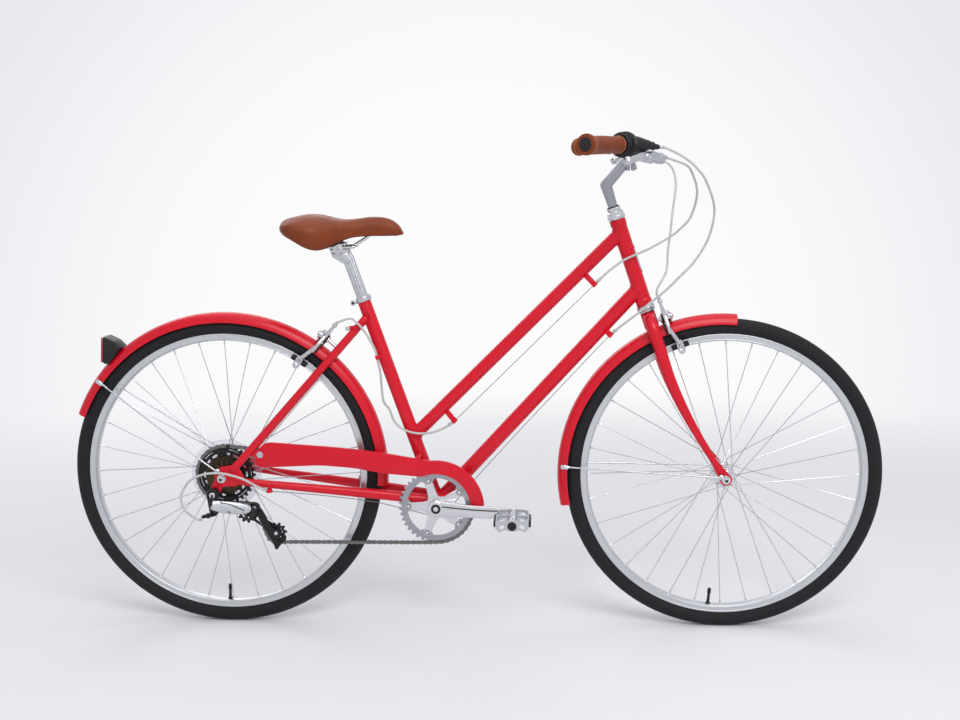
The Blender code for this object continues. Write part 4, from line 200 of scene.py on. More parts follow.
POST_CLAMP = SEAT_TOP + SEAT_UP * (POST_SHOWN + POST_HEAD_RISE)
TOP_TUBE_LOW = BRACKET + SEAT_UP * 0.159
TOP_TUBE_HIGH = HEAD_TOP - STEERING * 0.028
DOWN_TUBE_HIGH = HEAD_BOTTOM + STEERING * 0.040


# Shapes


def frame_matrix(origin, axis, across=None):
    """Matrix that stands +Z along axis, with +X as near to across as it can be."""
    up = Vector(axis).normalized()
    if across is None:
        across = LEFT if abs(up.y) < 0.9 else Vector((1.0, 0.0, 0.0))
    side = (Vector(across) - up * up.dot(Vector(across))).normalized()
    matrix = Matrix((side, up.cross(side), up)).transposed().to_4x4()
    matrix.translation = Vector(origin)
    return matrix


def across_bike(centre, y=0.0):
    """Matrix for a shape turned about a line across the bike, its height towards the right."""
    return Matrix.Translation(Vector(centre) + LEFT * y) @ Matrix.Rotation(math.pi / 2, 4, "X")


def as_object(name, shape):
    """An object in the scene from a mesh under construction."""
    mesh = bpy.data.meshes.new(name)
    shape.to_mesh(mesh)
    shape.free()
    obj = bpy.data.objects.new(name, mesh)
    bpy.context.scene.collection.objects.link(obj)
    return obj


def loft(name, rings, around=True, along=False, caps=True):
    """A surface through rings of points, with UVs in metres: u along the rings, v round them."""
    rings = [[Vector(p) for p in ring] for ring in rings]
    count, size = len(rings), len(rings[0])
    reach = [0.0]
    for a, b in zip(rings, rings[1:] + rings[:1]):
        reach.append(reach[-1] + sum((q - p).length for p, q in zip(a, b)) / size)
    middle = rings[count // 2]
    girth = [0.0]
    for p, q in zip(middle, middle[1:] + middle[:1]):
        girth.append(girth[-1] + (q - p).length)
    shape = bmesh.new()
    uv = shape.loops.layers.uv.new("metres")
    rows = [[shape.verts.new(p) for p in ring] for ring in rings]
    for i in range(count if along else count - 1):
        for j in range(size if around else size - 1):
            corners = [(i, j), (i + 1, j), (i + 1, j + 1), (i, j + 1)]
            face = shape.faces.new([rows[a % count][b % size] for a, b in corners])
            for loop, (a, b) in zip(face.loops, corners):
                loop[uv].uv = (reach[a], girth[b])
    if caps and not along:
        shape.faces.new(rows[0])
        shape.faces.new(rows[-1])
    bmesh.ops.remove_doubles(shape, verts=shape.verts, dist=1e-7)
    bmesh.ops.recalc_face_normals(shape, faces=shape.faces)
    return as_object(name, shape)


def fillet(points, radius, steps=3, closed=True):
    """The outline with its corners rounded; a point's third number is its own radius."""
    made = []
    for i, point in enumerate(points):
        here = Vector(point[:2])
        if not closed and i in (0, len(points) - 1):
            made.append(tuple(here))
            continue
        own = point[2] if len(point) > 2 else radius
        before = Vector(points[i - 1][:2]) - here
        after = Vector(points[(i + 1) % len(points)][:2]) - here
        cut = min(own, before.length * 0.48, after.length * 0.48)
        if cut < 1e-6:
            made.append(tuple(here))
            continue
        start, end = here + before.normalized() * cut, here + after.normalized() * cut
        for k in range(steps + 1):
            t = k / steps
            made.append(tuple(start * (1 - t) ** 2 + here * 2 * t * (1 - t) + end * t**2))
    return made


def revolved(name, matrix, steps, section, around=True):
    """A surface round the matrix's Z whose (radius, height) section may change with the angle."""
    rings = []
    for i in range(steps):
        angle = 2 * math.pi * i / steps
        turn = Vector((math.cos(angle), math.sin(angle), 0.0))
        rings.append([matrix @ (turn * radius + UP * height) for radius, height in section(angle)])
    return loft(name, rings, around=around, along=True)


def turned(name, profile, matrix, steps=48, edge=0.0):
    """A turned piece from (radius, height) points, its corners rounded by edge.

    A profile that starts and ends on the axis is left open there; any other one is closed.
    """
    closed = max(profile[0][0], profile[-1][0]) > 1e-9
    profile = fillet(profile, edge, closed=closed) if edge else [tuple(p[:2]) for p in profile]
    return revolved(name, matrix, steps, lambda angle: profile, around=closed)


def polygon_reach(angle, sides):
    """Distance to the edge of a regular polygon at this angle, where its nearest edge is 1 away."""
    half = math.pi / sides
    return 1 / math.cos((angle + half) % (2 * half) - half)


def at_station(stations, place, column=1):
    """Value of a column of the stations at this place; their first column holds the places."""
    for first, second in zip(stations, stations[1:]):
        if place <= second[0]:
            share = max(0.0, (place - first[0]) / (second[0] - first[0]))
            return first[column] + (second[column] - first[column]) * share
    return stations[-1][column]


def smooth_path(points, spacing):
    """Points about this far apart on a smooth curve through the given ones."""
    points = [Vector(p) for p in points]
    ends = [2 * points[0] - points[1], *points, 2 * points[-1] - points[-2]]
    path = [points[0]]
    for a, b, c, d in zip(ends, ends[1:], ends[2:], ends[3:]):
        count = max(1, round((c - b).length / spacing))
        for i in range(1, count + 1):
            t = i / count
            square, cube = t * t, t * t * t
            bend = (2 * a - 5 * b + 4 * c - d) * square + (3 * b - a - 3 * c + d) * cube
            path.append(0.5 * (2 * b + (c - a) * t + bend))
    return path


def sweep(name, path, radii, sides=20, across=None, closed=False, round_ends=False):
    """A tube along the path; a radius can be a pair, for an oval whose first axis is across."""
    path = [Vector(p) for p in path]
    if not isinstance(radii, list):
        radii = [radii] * len(path)
    radii = [r if isinstance(r, tuple) else (r, r) for r in radii]
    count = len(path)
    headings = []
    for i in range(count):
        before = path[i - 1] if closed or i else path[0]
        after = path[(i + 1) % count] if closed or i < count - 1 else path[-1]
        headings.append((after - before).normalized())
    side = frame_matrix((0, 0, 0), headings[0], across).to_3x3().col[0]
    rings = []
    turns = [2 * math.pi * k / sides for k in range(sides)]
    for point, heading, (wide, high) in zip(path, headings, radii):
        wanted = side if across is None else Vector(across)
        side = (wanted - heading * heading.dot(wanted)).normalized()
        other = heading.cross(side)
        offsets = [side * wide * math.cos(t) + other * high * math.sin(t) for t in turns]
        rings.append((point, heading, offsets))
    made = [[point + offset for offset in offsets] for point, _, offsets in rings]
    if round_ends:
        for place, way in ((0, -1), (-1, 1)):
            point, heading, offsets = rings[place]
            reach = min(radii[place])
            for k in (1, 2, 3):
                angle = math.pi / 2 * k / 3.2
                moved = point + heading * way * reach * math.sin(angle)
                cap = [moved + offset * math.cos(angle) for offset in offsets]
                made.insert(len(made) if way > 0 else 0, cap)
    return loft(name, made, along=closed)


def rod(name, start, end, radius, sides=20, edge=0.0):
    """A straight round bar with its end edges rounded."""
    start, end = Vector(start), Vector(end)
    profile = [(0.0, 0.0), (radius, 0.0), (radius, (end - start).length), (0.0, (end - start).length)]
    matrix = frame_matrix(start, end - start)
    return turned(name, profile, matrix, sides, edge)


def ball(name, centre, radius, sides=20, squash=1.0):
    """A ball, its height multiplied by squash."""
    profile = []
    for k in range(sides // 2 + 1):
        angle = math.pi * (k / (sides // 2) - 0.5)
        profile.append((radius * math.cos(angle), radius * squash * math.sin(angle)))
    return turned(name, profile, frame_matrix(centre, UP), sides)


def block(name, size, matrix, edge=0.001, segments=2):
    """A box with rounded edges, centred on the matrix."""
    shape = bmesh.new()
    bmesh.ops.create_cube(shape, size=1.0)
    bmesh.ops.scale(shape, vec=size, verts=shape.verts)
    bmesh.ops.bevel(shape, geom=shape.edges[:], offset=edge, segments=segments, affect="EDGES", profile=0.5)
    bmesh.ops.transform(shape, matrix=matrix, verts=shape.verts)
    return as_object(name, shape)


def plate(name, outlines, thickness, matrix, edge=0.0005):
    """A flat plate with rounded edges: its outline and holes lie in the matrix's XY plane."""
    curve = bpy.data.curves.new(name, "CURVE")
    curve.dimensions = "2D"
    curve.fill_mode = "BOTH"
    curve.extrude = thickness / 2 - edge
    curve.bevel_depth = edge
    curve.bevel_resolution = 1
    curve.offset = -edge
    for outline in outlines:
        spline = curve.splines.new("POLY")
        spline.points.add(len(outline) - 1)
        for place, point in zip(spline.points, outline):
            place.co = (point[0], point[1], 0.0, 1.0)
        spline.use_cyclic_u = True
    obj = bpy.data.objects.new(name, curve)
    bpy.context.scene.collection.objects.link(obj)
    graph = bpy.context.evaluated_depsgraph_get()
    graph.update()
    mesh = bpy.data.meshes.new_from_object(obj.evaluated_get(graph))
    bpy.data.objects.remove(obj)
    bpy.data.curves.remove(curve)
    shape = bmesh.new()
    shape.from_mesh(mesh)
    bpy.data.meshes.remove(mesh)
    bmesh.ops.remove_doubles(shape, verts=shape.verts, dist=1e-6)
    bmesh.ops.transform(shape, matrix=matrix, verts=shape.verts)
    bmesh.ops.recalc_face_normals(shape, faces=shape.faces)
    return as_object(name, shape)


def side_plate(name, outlines, thickness, y, edge=0.0005):
    """A plate in the bike's side view, with (x, z) outlines and its middle at this y."""
    return plate(name, outlines, thickness, across_bike((0.0, 0.0, 0.0), y), edge)


def rounded_box(half_long, half_wide, radius, steps):
    """Outline of a rectangle with round corners, about the origin."""
    x, y = half_long, half_wide
    return fillet([(-x, -y), (x, -y), (x, y), (-x, y)], radius, steps)


def circle(centre, radius, sides=32):
    turns = [2 * math.pi * i / sides for i in range(sides)]
    return [(centre[0] + radius * math.cos(a), centre[1] + radius * math.sin(a)) for a in turns]


def capsule(start, end, start_radius, end_radius, steps=10):
    """Outline of a bar with round ends of these radii."""
    start, end = Vector(start), Vector(end)
    heading = math.atan2(end.y - start.y, end.x - start.x)
    points = []
    for centre, radius, turn in ((start, start_radius, 0.5), (end, end_radius, -0.5)):
        for i in range(steps):
            angle = heading + math.pi * (turn + i / (steps - 1))
            points.append((centre.x + radius * math.cos(angle), centre.y + radius * math.sin(angle)))
    return points


def joined(name, *pieces):
    """One object from several, each kept in its place."""
    shape = bmesh.new()
    for piece in pieces:
        piece.data.transform(piece.matrix_world)
        shape.from_mesh(piece.data)
    for piece in pieces:
        mesh = piece.data
        bpy.data.objects.remove(piece)
        bpy.data.meshes.remove(mesh)
    return as_object(name, shape)


def add(piece, body, material, *replaced, sharp=40, bend=None):
    """Finishes a piece: its shading and material, the body it rides, and the solids that it stands for,
    which it hides. Given bend, the piece keeps its place in the world and rides no body.
    """
    piece.data.shade_smooth()
    piece.data.set_sharp_from_angle(angle=math.radians(sharp))
    piece.data.materials.clear()
    piece.data.materials.append(MATERIALS[material])
    if bend:
        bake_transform(piece)
    else:
        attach(piece, body)
    if replaced:
        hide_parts(*replaced)


def bolt(name, place, axis, radius=0.0042, height=0.0035, socket=True):
    """A round bolt head with a hexagonal socket, or a plain domed head."""
    matrix = frame_matrix(place, axis)
    if not socket:
        profile = [(0.0, height), (radius * 0.6, height * 0.92), (radius, height * 0.35)]
        profile += [(radius, 0.0), (0.0, 0.0)]
        return turned(name, profile, matrix, 20)
    head = fillet([(radius * 0.55, height), (radius, height), (radius, 0.0)], radius * 0.2, closed=False)
    floor = height * 0.35

    def section(angle):
        reach = radius * 0.5 * polygon_reach(angle, 6)
        return [(reach * 0.01, floor), (reach, floor), (reach, height), *head, (reach * 0.01, 0.0)]

    return revolved(name, matrix, 24, section)


def nut(name, place, axis, radius=0.0088, height=0.0075, washer=0.0011):
    """A hexagonal nut with chamfered corners, its washer and the axle's threaded end."""
    matrix = frame_matrix(place, axis)

    def section(angle):
        flat = radius * math.cos(math.pi / 6) * polygon_reach(angle, 6)
        round_end = min(flat, radius * 0.93)
        return [(radius * 0.52, washer), (round_end, washer), (flat, washer + height * 0.12),
                (flat, height * 0.88), (round_end, height), (radius * 0.52, height)]

    body = revolved(f"{name}_hex", matrix, 48, section)
    disc = [(radius * 0.5, 0.0), (radius * 1.08, 0.0), (radius * 1.08, washer), (radius * 0.5, washer)]
    ring = turned(f"{name}_washer", disc, matrix, 36, 0.0002)
    end = turned(f"{name}_end", threads(radius * 0.5, 0.0, height + 0.0022), matrix, 24)
    return joined(name, body, ring, end)


def threads(radius, low, high):
    """Profile of a threaded end, from the axis out and up."""
    profile = [(0.0, low)]
    pitch = 0.001
    count = int((high - low) / pitch)
    for i in range(count):
        profile += [(radius, low + (i + 0.25) * pitch), (radius * 0.9, low + (i + 0.75) * pitch)]
    return [*profile, (radius * 0.8, high), (0.0, high)]


# Materials


def linear(red, green, blue):
    """A colour from its 0 to 255 display values."""
    parts = [c / 255 for c in (red, green, blue)]
    return [c / 12.92 if c <= 0.04045 else ((c + 0.055) / 1.055) ** 2.4 for c in parts]


class Nodes:
    """A node tree, with short calls for its nodes."""

    def __init__(self, tree):
        self.tree = tree

    def node(self, kind, **values):
        """A new node; each value sets its property of that name, or else its input."""
        made = self.tree.nodes.new(kind)
        for key, value in values.items():
            if hasattr(made, key):
                setattr(made, key, value)
            else:
                made.inputs[key.replace("_", " ")].default_value = value
        # Where the first housing comes from the bar, it is kept as a piece of its own in the world, and its
        # ferrule at the bar rides the steering.
        return made

    def link(self, start, end):
        self.tree.links.new(start, end)

    def math(self, operation, a, b=None):
        made = self.node("ShaderNodeMath", operation=operation)
        for socket, value in zip(made.inputs, (a, b)):
            if value is None:
                continue
            if isinstance(value, (int, float)):
                socket.default_value = value
            else:
                self.link(value, socket)
        return made.outputs[0]

    def span(self, value, low, high, start=0.3, end=0.7, **settings):
        """Maps a value between start and end to low and high."""
        limits = {"From_Min": start, "From_Max": end, "To_Min": low, "To_Max": high}
        made = self.node("ShaderNodeMapRange", **limits, **settings)
        self.link(value, made.inputs["Value"])
        return made.outputs[0]

    def mix(self, value, first, second):
        """Colour that goes from the first to the second with this value."""
        made = self.node("ShaderNodeMix", data_type="RGBA")
        self.link(value, made.inputs["Factor"])
        sockets = [socket for socket in made.inputs if socket.type == "RGBA"]
        for socket, colour in zip(sockets, (first, second)):
            socket.default_value = (*colour, 1.0)
        return [socket for socket in made.outputs if socket.type == "RGBA"][0]


class Surface(Nodes):
    """A Principled material under construction."""

    def __init__(self, name, colour, roughness, metallic=0.0, **sockets):
        self.material = bpy.data.materials.new(name)
        self.material.use_nodes = True
        super().__init__(self.material.node_tree)
        self.shader = self.tree.nodes["Principled BSDF"]
        self.colour = linear(*colour)
        self.shader.inputs["Base Color"].default_value = (*self.colour, 1.0)
        self.shader.inputs["Roughness"].default_value = roughness
        self.shader.inputs["Metallic"].default_value = metallic
        for socket, value in sockets.items():
            self.shader.inputs[socket.replace("_", " ")].default_value = value
        self.place = self.node("ShaderNodeTexCoord")
        self.bumped = None

    def noise(self, scale, detail=3.0, stretch=None, source="Object"):
        made = self.node("ShaderNodeTexNoise", Scale=scale, Detail=detail)
        if stretch is None:
            self.link(self.place.outputs[source], made.inputs["Vector"])
        else:
            mapping = self.node("ShaderNodeMapping", Scale=stretch)
            self.link(self.place.outputs[source], mapping.inputs["Vector"])
            self.link(mapping.outputs[0], made.inputs["Vector"])
        return made.outputs["Fac"]

    def cells(self, scale):
        made = self.node("ShaderNodeTexVoronoi", Scale=scale)
        self.link(self.place.outputs["Object"], made.inputs["Vector"])
        return made.outputs["Distance"]

    def vary(self, value, dark, light):
        """Colour that goes from dark to light times the material's own with this value."""
        first = [c * dark for c in self.colour]
        second = [min(1.0, c * light) for c in self.colour]
        self.link(self.mix(value, first, second), self.shader.inputs["Base Color"])
        return self

    def rough(self, value, low, high):
        self.link(self.span(value, low, high), self.shader.inputs["Roughness"])
        return self

    def bump(self, height, distance, strength=1.0):
        """Adds a relief this deep, in metres, on top of those before it."""
        made = self.node("ShaderNodeBump", Strength=strength, Distance=distance)
        self.link(height, made.inputs["Height"])
        if self.bumped:
            self.link(self.bumped, made.inputs["Normal"])
        self.bumped = made.outputs[0]
        self.link(self.bumped, self.shader.inputs["Normal"])
        return self

    def uv(self, axis):
        parts = self.node("ShaderNodeSeparateXYZ")
        self.link(self.place.outputs["UV"], parts.inputs[0])
        return parts.outputs[axis]

    def wave(self, value, pitch, width):
        """A pulse that is high for this share of each pitch of a value in metres."""
        turned_once = self.math("FRACT", self.math("DIVIDE", value, pitch))
        return self.math("LESS_THAN", turned_once, width)


def paint(name, colour, roughness):
    """Glossy paint, slightly uneven in tone and gloss."""
    surface = Surface(name, colour, roughness, Coat_Weight=0.2, Coat_Roughness=0.18, Specular_IOR_Level=0.25)
    surface.vary(surface.noise(14.0), 0.93, 1.05)
    surface.rough(surface.noise(90.0), roughness - 0.05, roughness + 0.06)
    surface.bump(surface.noise(500.0, 2.0), 0.00004, 0.3)
    return surface.material


def metal(name, colour, roughness, smear=0.06):
    """Metal with smears and a faint grain."""
    surface = Surface(name, colour, roughness, 1.0)
    surface.vary(surface.noise(25.0), 0.93, 1.04)
    surface.rough(surface.noise(120.0, 4.0), roughness - smear, roughness + smear)
    surface.bump(surface.noise(900.0, 2.0), 0.000006, 0.3)
    return surface.material


def plastic(name, colour, roughness, grain=900.0):
    """Plastic or rubber with a moulded grain."""
    surface = Surface(name, colour, roughness, Specular_IOR_Level=0.3)
    surface.vary(surface.noise(60.0), 0.85, 1.2)
    surface.rough(surface.noise(200.0), roughness - 0.06, roughness + 0.08)
    surface.bump(surface.noise(grain, 2.0), 0.00006, 0.4)
    return surface.material


def make_tyre_rubber():
    """Rubber with slanted grooves on the crown and fine ribs on the sidewalls, from its UVs."""
    surface = Surface("tyre_rubber", (31, 31, 34), 0.66, Specular_IOR_Level=0.22)
    surface.vary(surface.noise(40.0), 0.8, 1.25)
    surface.rough(surface.noise(160.0), 0.55, 0.72)
    across = surface.math("ABSOLUTE", surface.math("SUBTRACT", surface.uv(1), TYRE_MIDDLE))
    slant = surface.math("ADD", surface.uv(0), surface.math("MULTIPLY", across, 0.8))
    grooves = surface.wave(slant, 0.0062, 0.22)
    crown = surface.math("LESS_THAN", across, 0.0115)
    middle = surface.math("GREATER_THAN", across, 0.0032)
    tread = surface.math("MULTIPLY", grooves, surface.math("MULTIPLY", crown, middle))
    off_line = surface.math("ABSOLUTE", surface.math("SUBTRACT", across, 0.0024))
    line = surface.math("LESS_THAN", off_line, 0.0005)
    surface.bump(surface.math("MULTIPLY", surface.math("MAXIMUM", tread, line), -1.0), 0.0012)
    ribs = surface.math("SINE", surface.math("MULTIPLY", across, 5200.0))
    sidewall = surface.math("MULTIPLY", ribs, surface.math("GREATER_THAN", across, 0.016))
    surface.bump(sidewall, 0.00008)
    return surface.material


def make_rim_alloy():
    """Satin alloy with turned lines on the braking track."""
    surface = Surface("rim_alloy", (205, 207, 210), 0.34, 1.0)
    surface.vary(surface.noise(9.0), 0.94, 1.04)
    surface.rough(surface.noise(60.0), 0.28, 0.40)
    lines = surface.noise(1.0, 3.0, (3.0, 5200.0, 1.0), "UV")
    surface.bump(lines, 0.00005, 0.6)
    return surface.material


def make_leather():
    """Brown leather: pebbled grain, darker in its valleys and uneven in tone."""
    surface = Surface("leather", (132, 58, 22), 0.44, Specular_IOR_Level=0.3)
    tone = surface.math("ADD", surface.math("MULTIPLY", surface.noise(22.0, 4.0), 0.7),
                        surface.math("MULTIPLY", surface.cells(900.0), 0.45))
    surface.vary(surface.span(tone, 0.0, 1.0, 0.35, 0.85), 0.74, 1.16)
    surface.rough(surface.noise(150.0), 0.40, 0.58)
    surface.bump(surface.cells(900.0), 0.00035, 0.5)
    surface.bump(surface.noise(260.0, 4.0), 0.0004, 0.3)
    return surface.material


def make_strand():
    """Bare brake wire, its strands wound round it."""
    surface = Surface("bare_wire", (170, 170, 172), 0.3, 1.0)
    surface.vary(surface.noise(300.0), 0.85, 1.05)
    twist = surface.math("ADD", surface.uv(0), surface.math("MULTIPLY", surface.uv(1), 2.2))
    surface.bump(surface.wave(twist, 0.0012, 0.5), 0.0002)
    return surface.material


def make_lens():
    """Red prismatic reflector."""
    surface = Surface("red_lens", (190, 20, 24), 0.12, Coat_Weight=0.8, Coat_Roughness=0.05)
    surface.vary(surface.cells(420.0), 0.45, 1.3)
    surface.bump(surface.cells(420.0), 0.0009)
    return surface.material


def make_clear_plastic():
    """Clear plastic, slightly hazed."""
    surface = Surface("clear_plastic", (238, 238, 243), 0.12, Transmission_Weight=0.9, IOR=1.15)
    surface.rough(surface.noise(80.0), 0.08, 0.22)
    return surface.material


TYRE_SECTION_START = 128.0
TYRE_MIDDLE = 0.0454


def make_materials():
    return {
        "red_paint": paint("red_paint", (218, 14, 40), 0.36),
        "satin_alloy": metal("satin_alloy", (198, 200, 204), 0.30),
        "polished_alloy": metal("polished_alloy", (214, 215, 218), 0.16),
        "chrome": metal("chrome", (210, 211, 214), 0.10, smear=0.03),
        "spoke_steel": metal("spoke_steel", (196, 198, 202), 0.28),
        "dark_steel": metal("dark_steel", (72, 70, 68), 0.38),
        "brown_steel": metal("brown_steel", (78, 66, 52), 0.40),
        "black_plastic": plastic("black_plastic", (30, 30, 33), 0.42),
        "black_metal": plastic("black_metal", (22, 22, 24), 0.34, 1400.0),
        "black_rubber": plastic("black_rubber", (28, 28, 30), 0.6, 1600.0),
        "thread": plastic("thread", (196, 132, 88), 0.7, 2400.0),
        "cable_housing": plastic("cable_housing", (196, 197, 196), 0.35),
        "clear_plastic": make_clear_plastic(),
        "chain_grey": metal("chain_grey", (118, 116, 114), 0.36),
        "tyre_rubber": make_tyre_rubber(),
        "ring_alloy": metal("ring_alloy", (164, 165, 171), 0.34),
        "rim_alloy": make_rim_alloy(),
        "leather": make_leather(),
        "bare_wire": make_strand(),
        "red_lens": make_lens(),
    }


# Stage


WORLD_LIGHT = 0.50
# Backdrop colours: a painted light falloff, lit in the middle of the view and shaded towards its edges; the
# world casts its light in the same colours.
BACKDROP_SHADED_EDGE = (231, 232, 237)
BACKDROP_LIT_MIDDLE = (252, 252, 253)
BACKDROP_FADE = (0.90, 0.995)
VIEW_MIDDLE = (-0.0508, 0.9870, -0.1527)
FLOOR_COLOUR = (243, 243, 247)
FLOOR_RADIUS = 5.0
FLOOR_FADE = (1.3, 3.2)


def make_camera():
    data = bpy.data.cameras.new("camera")
    data.lens = CAMERA_LENS
    data.sensor_width = SENSOR_WIDTH
    data.sensor_fit = "HORIZONTAL"
    camera = bpy.data.objects.new("camera", data)
    bpy.context.scene.collection.objects.link(camera)
    turn = Matrix.Rotation(math.radians(CAMERA_YAW), 4, "Z")
    tilt = Matrix.Rotation(math.radians(90.0 + CAMERA_PITCH), 4, "X")
    roll = Matrix.Rotation(math.radians(CAMERA_ROLL), 4, "Z")
    camera.matrix_world = Matrix.Translation(CAMERA_PLACE) @ turn @ tilt @ roll
    bpy.context.scene.camera = camera


def make_light(name, place, size, power):
    """An area light that points at the bike's middle."""
    data = bpy.data.lights.new(name, "AREA")
    data.shape = "RECTANGLE"
    data.size, data.size_y = size
    data.energy = power
    light = bpy.data.objects.new(name, data)
    bpy.context.scene.collection.objects.link(light)
    aim = (Vector((0.0, 0.0, 0.5)) - Vector(place)).to_track_quat("-Z", "Y")
    light.matrix_world = Matrix.Translation(place) @ aim.to_matrix().to_4x4()


def make_world():
    """A pale studio: white for the camera and reflections, and softer for the light it casts."""
    world = bpy.data.worlds.new("studio")
    bpy.context.scene.world = world
    world.use_nodes = True
    nodes = Nodes(world.node_tree)
    background = nodes.tree.nodes["Background"]
    path = nodes.node("ShaderNodeLightPath")
    shiny = nodes.math("MAXIMUM", path.outputs["Is Glossy Ray"], path.outputs["Is Transmission Ray"])
    seen = nodes.math("MAXIMUM", path.outputs["Is Camera Ray"], shiny)
    place = nodes.node("ShaderNodeTexCoord")
    facing = nodes.node("ShaderNodeVectorMath", operation="DOT_PRODUCT")
    facing.inputs[1].default_value = VIEW_MIDDLE
    nodes.link(place.outputs["Generated"], facing.inputs[0])
    # Painted light falloff: the backdrop goes from its shaded edge colour to its lit middle colour towards
    # the middle of the view.
    fade = nodes.span(facing.outputs["Value"], 0.0, 1.0, *BACKDROP_FADE, interpolation_type="SMOOTHSTEP")
    painted_falloff = nodes.mix(fade, linear(*BACKDROP_SHADED_EDGE), linear(*BACKDROP_LIT_MIDDLE))
    nodes.link(painted_falloff, background.inputs["Color"])
    nodes.link(nodes.span(seen, WORLD_LIGHT, 1.0, 0.0, 1.0), background.inputs["Strength"])


def make_floor():
    """A pale floor that fades into the backdrop away from the bike."""
    shape = bmesh.new()
    bmesh.ops.create_circle(shape, cap_ends=True, radius=FLOOR_RADIUS, segments=96)
    floor = as_object("floor", shape)
    material = bpy.data.materials.new("floor")
    material.use_nodes = True
    nodes = Nodes(material.node_tree)
    shader = nodes.tree.nodes["Principled BSDF"]
    shader.inputs["Base Color"].default_value = (*linear(*FLOOR_COLOUR), 1.0)
    shader.inputs["Roughness"].default_value = 0.9
    shader.inputs["Specular IOR Level"].default_value = 0.1
    place = nodes.node("ShaderNodeTexCoord")
    away = nodes.node("ShaderNodeVectorMath", operation="LENGTH")
    nodes.link(place.outputs["Object"], away.inputs[0])
    fade = nodes.span(away.outputs["Value"], 0.0, 1.0, *FLOOR_FADE, interpolation_type="SMOOTHSTEP")
    clear = nodes.node("ShaderNodeBsdfTransparent")
    mix = nodes.node("ShaderNodeMixShader")
    for output, socket in zip((fade, shader.outputs[0], clear.outputs[0]), mix.inputs):
        nodes.link(output, socket)
    nodes.link(mix.outputs[0], nodes.tree.nodes["Material Output"].inputs["Surface"])
    floor.data.materials.append(material)


def make_stage():
    bpy.context.scene.view_settings.view_transform = "Standard"
    bpy.context.scene.cycles.denoising_prefilter = "ACCURATE"
    make_camera()
    make_world()
    make_floor()
    make_light("key_light", (1.2, -3.4, 3.6), (3.0, 2.2), 120.0)
    make_light("top_light", (0.0, 0.2, 3.6), (3.6, 2.6), 26.0)
    make_light("back_light", (-1.6, 3.0, 2.6), (2.6, 1.8), 26.0)


# Wheels


# Flanges are the places of the right and the left one, half is half the hub's length, valve is a
# point beside the valve, dropouts is how far out the dropouts' inner faces are, and holder is the
# body that holds the axle
Wheel = namedtuple("Wheel", "name axle flanges flange_radius half barrel valve dropouts holder")
WHEELS = (
    Wheel("front", FRONT_AXLE, (-0.034, 0.034), 0.022, 0.0435, 0.0125, (0.5246, 0.0, 0.0565),
          FRONT_FORK_HALF, "steering"),
    Wheel("rear", REAR_AXLE, (-0.020, 0.033), 0.024, 0.056, 0.0150, (-0.5585, 0.0, 0.0587),
          REAR_DROPOUT_HALF, "frame"),
)


def make_tyre(wheel):
    """Round section with its beads on the rim; the UV's v runs across it from bead to bead."""
    radius = TYRE_WIDTH / 2
    centre = TYRE_RADIUS - radius
    bead = (RIM_RADIUS - 0.001, RIM_WIDTH / 2 - 0.0018)
    steps = 30
    section = [bead]
    for i in range(steps + 1):
        angle = math.radians(TYRE_SECTION_START * (1 - 2 * i / steps))
        section.append((centre + radius * math.cos(angle), radius * math.sin(angle)))
    section.append((bead[0], -bead[1]))
    tyre = turned(f"{wheel.name}_tyre_skin", section, across_bike(wheel.axle), 200)
    add(tyre, f"{wheel.name}_wheel", "tyre_rubber", f"{wheel.name}_tyre")


def make_rim(wheel):
    """Box section with hooked edges and a shallow braking track on both sides."""
    half = RIM_WIDTH / 2
    section = [
        (RIM_RADIUS - 0.0035, half - 0.0022, 0.0004),
        (RIM_RADIUS, half - 0.0016, 0.0005),
        (RIM_RADIUS, half, 0.0008),
        (RIM_RADIUS - 0.0028, half, 0.0004),
        (RIM_RADIUS - 0.0031, half - 0.0004, 0.0002),
        (RIM_RADIUS - 0.0122, half - 0.0004, 0.0003),
        (RIM_RADIUS - 0.0126, half, 0.0004),
        (RIM_INNER_RADIUS + 0.0022, half - 0.0018, 0.0016),
        (RIM_INNER_RADIUS, half * 0.45, 0.0030),
    ]
    section += [(point[0], -point[1], *point[2:]) for point in reversed(section)]
    rim = turned(f"{wheel.name}_rim_skin", section, across_bike(wheel.axle), 200, 0.0004)
    add(rim, f"{wheel.name}_wheel", "rim_alloy", f"{wheel.name}_rim", sharp=50)


def spoke_ends(i, flanges, hole_radius):
    """Hub and rim ends of a spoke relative to the axle, two layers crossing on each flange."""
    side = i % 2
    leading = 1 if i // 2 % 2 else -1
    rim_angle = 360.0 / SPOKE_COUNT * i
    inner = direction(rim_angle + leading * SPOKE_CROSSING) * hole_radius
    inner.y = flanges[side] + leading * SPOKE_LAYER
    return inner, direction(rim_angle) * (RIM_INNER_RADIUS + 0.001), leading


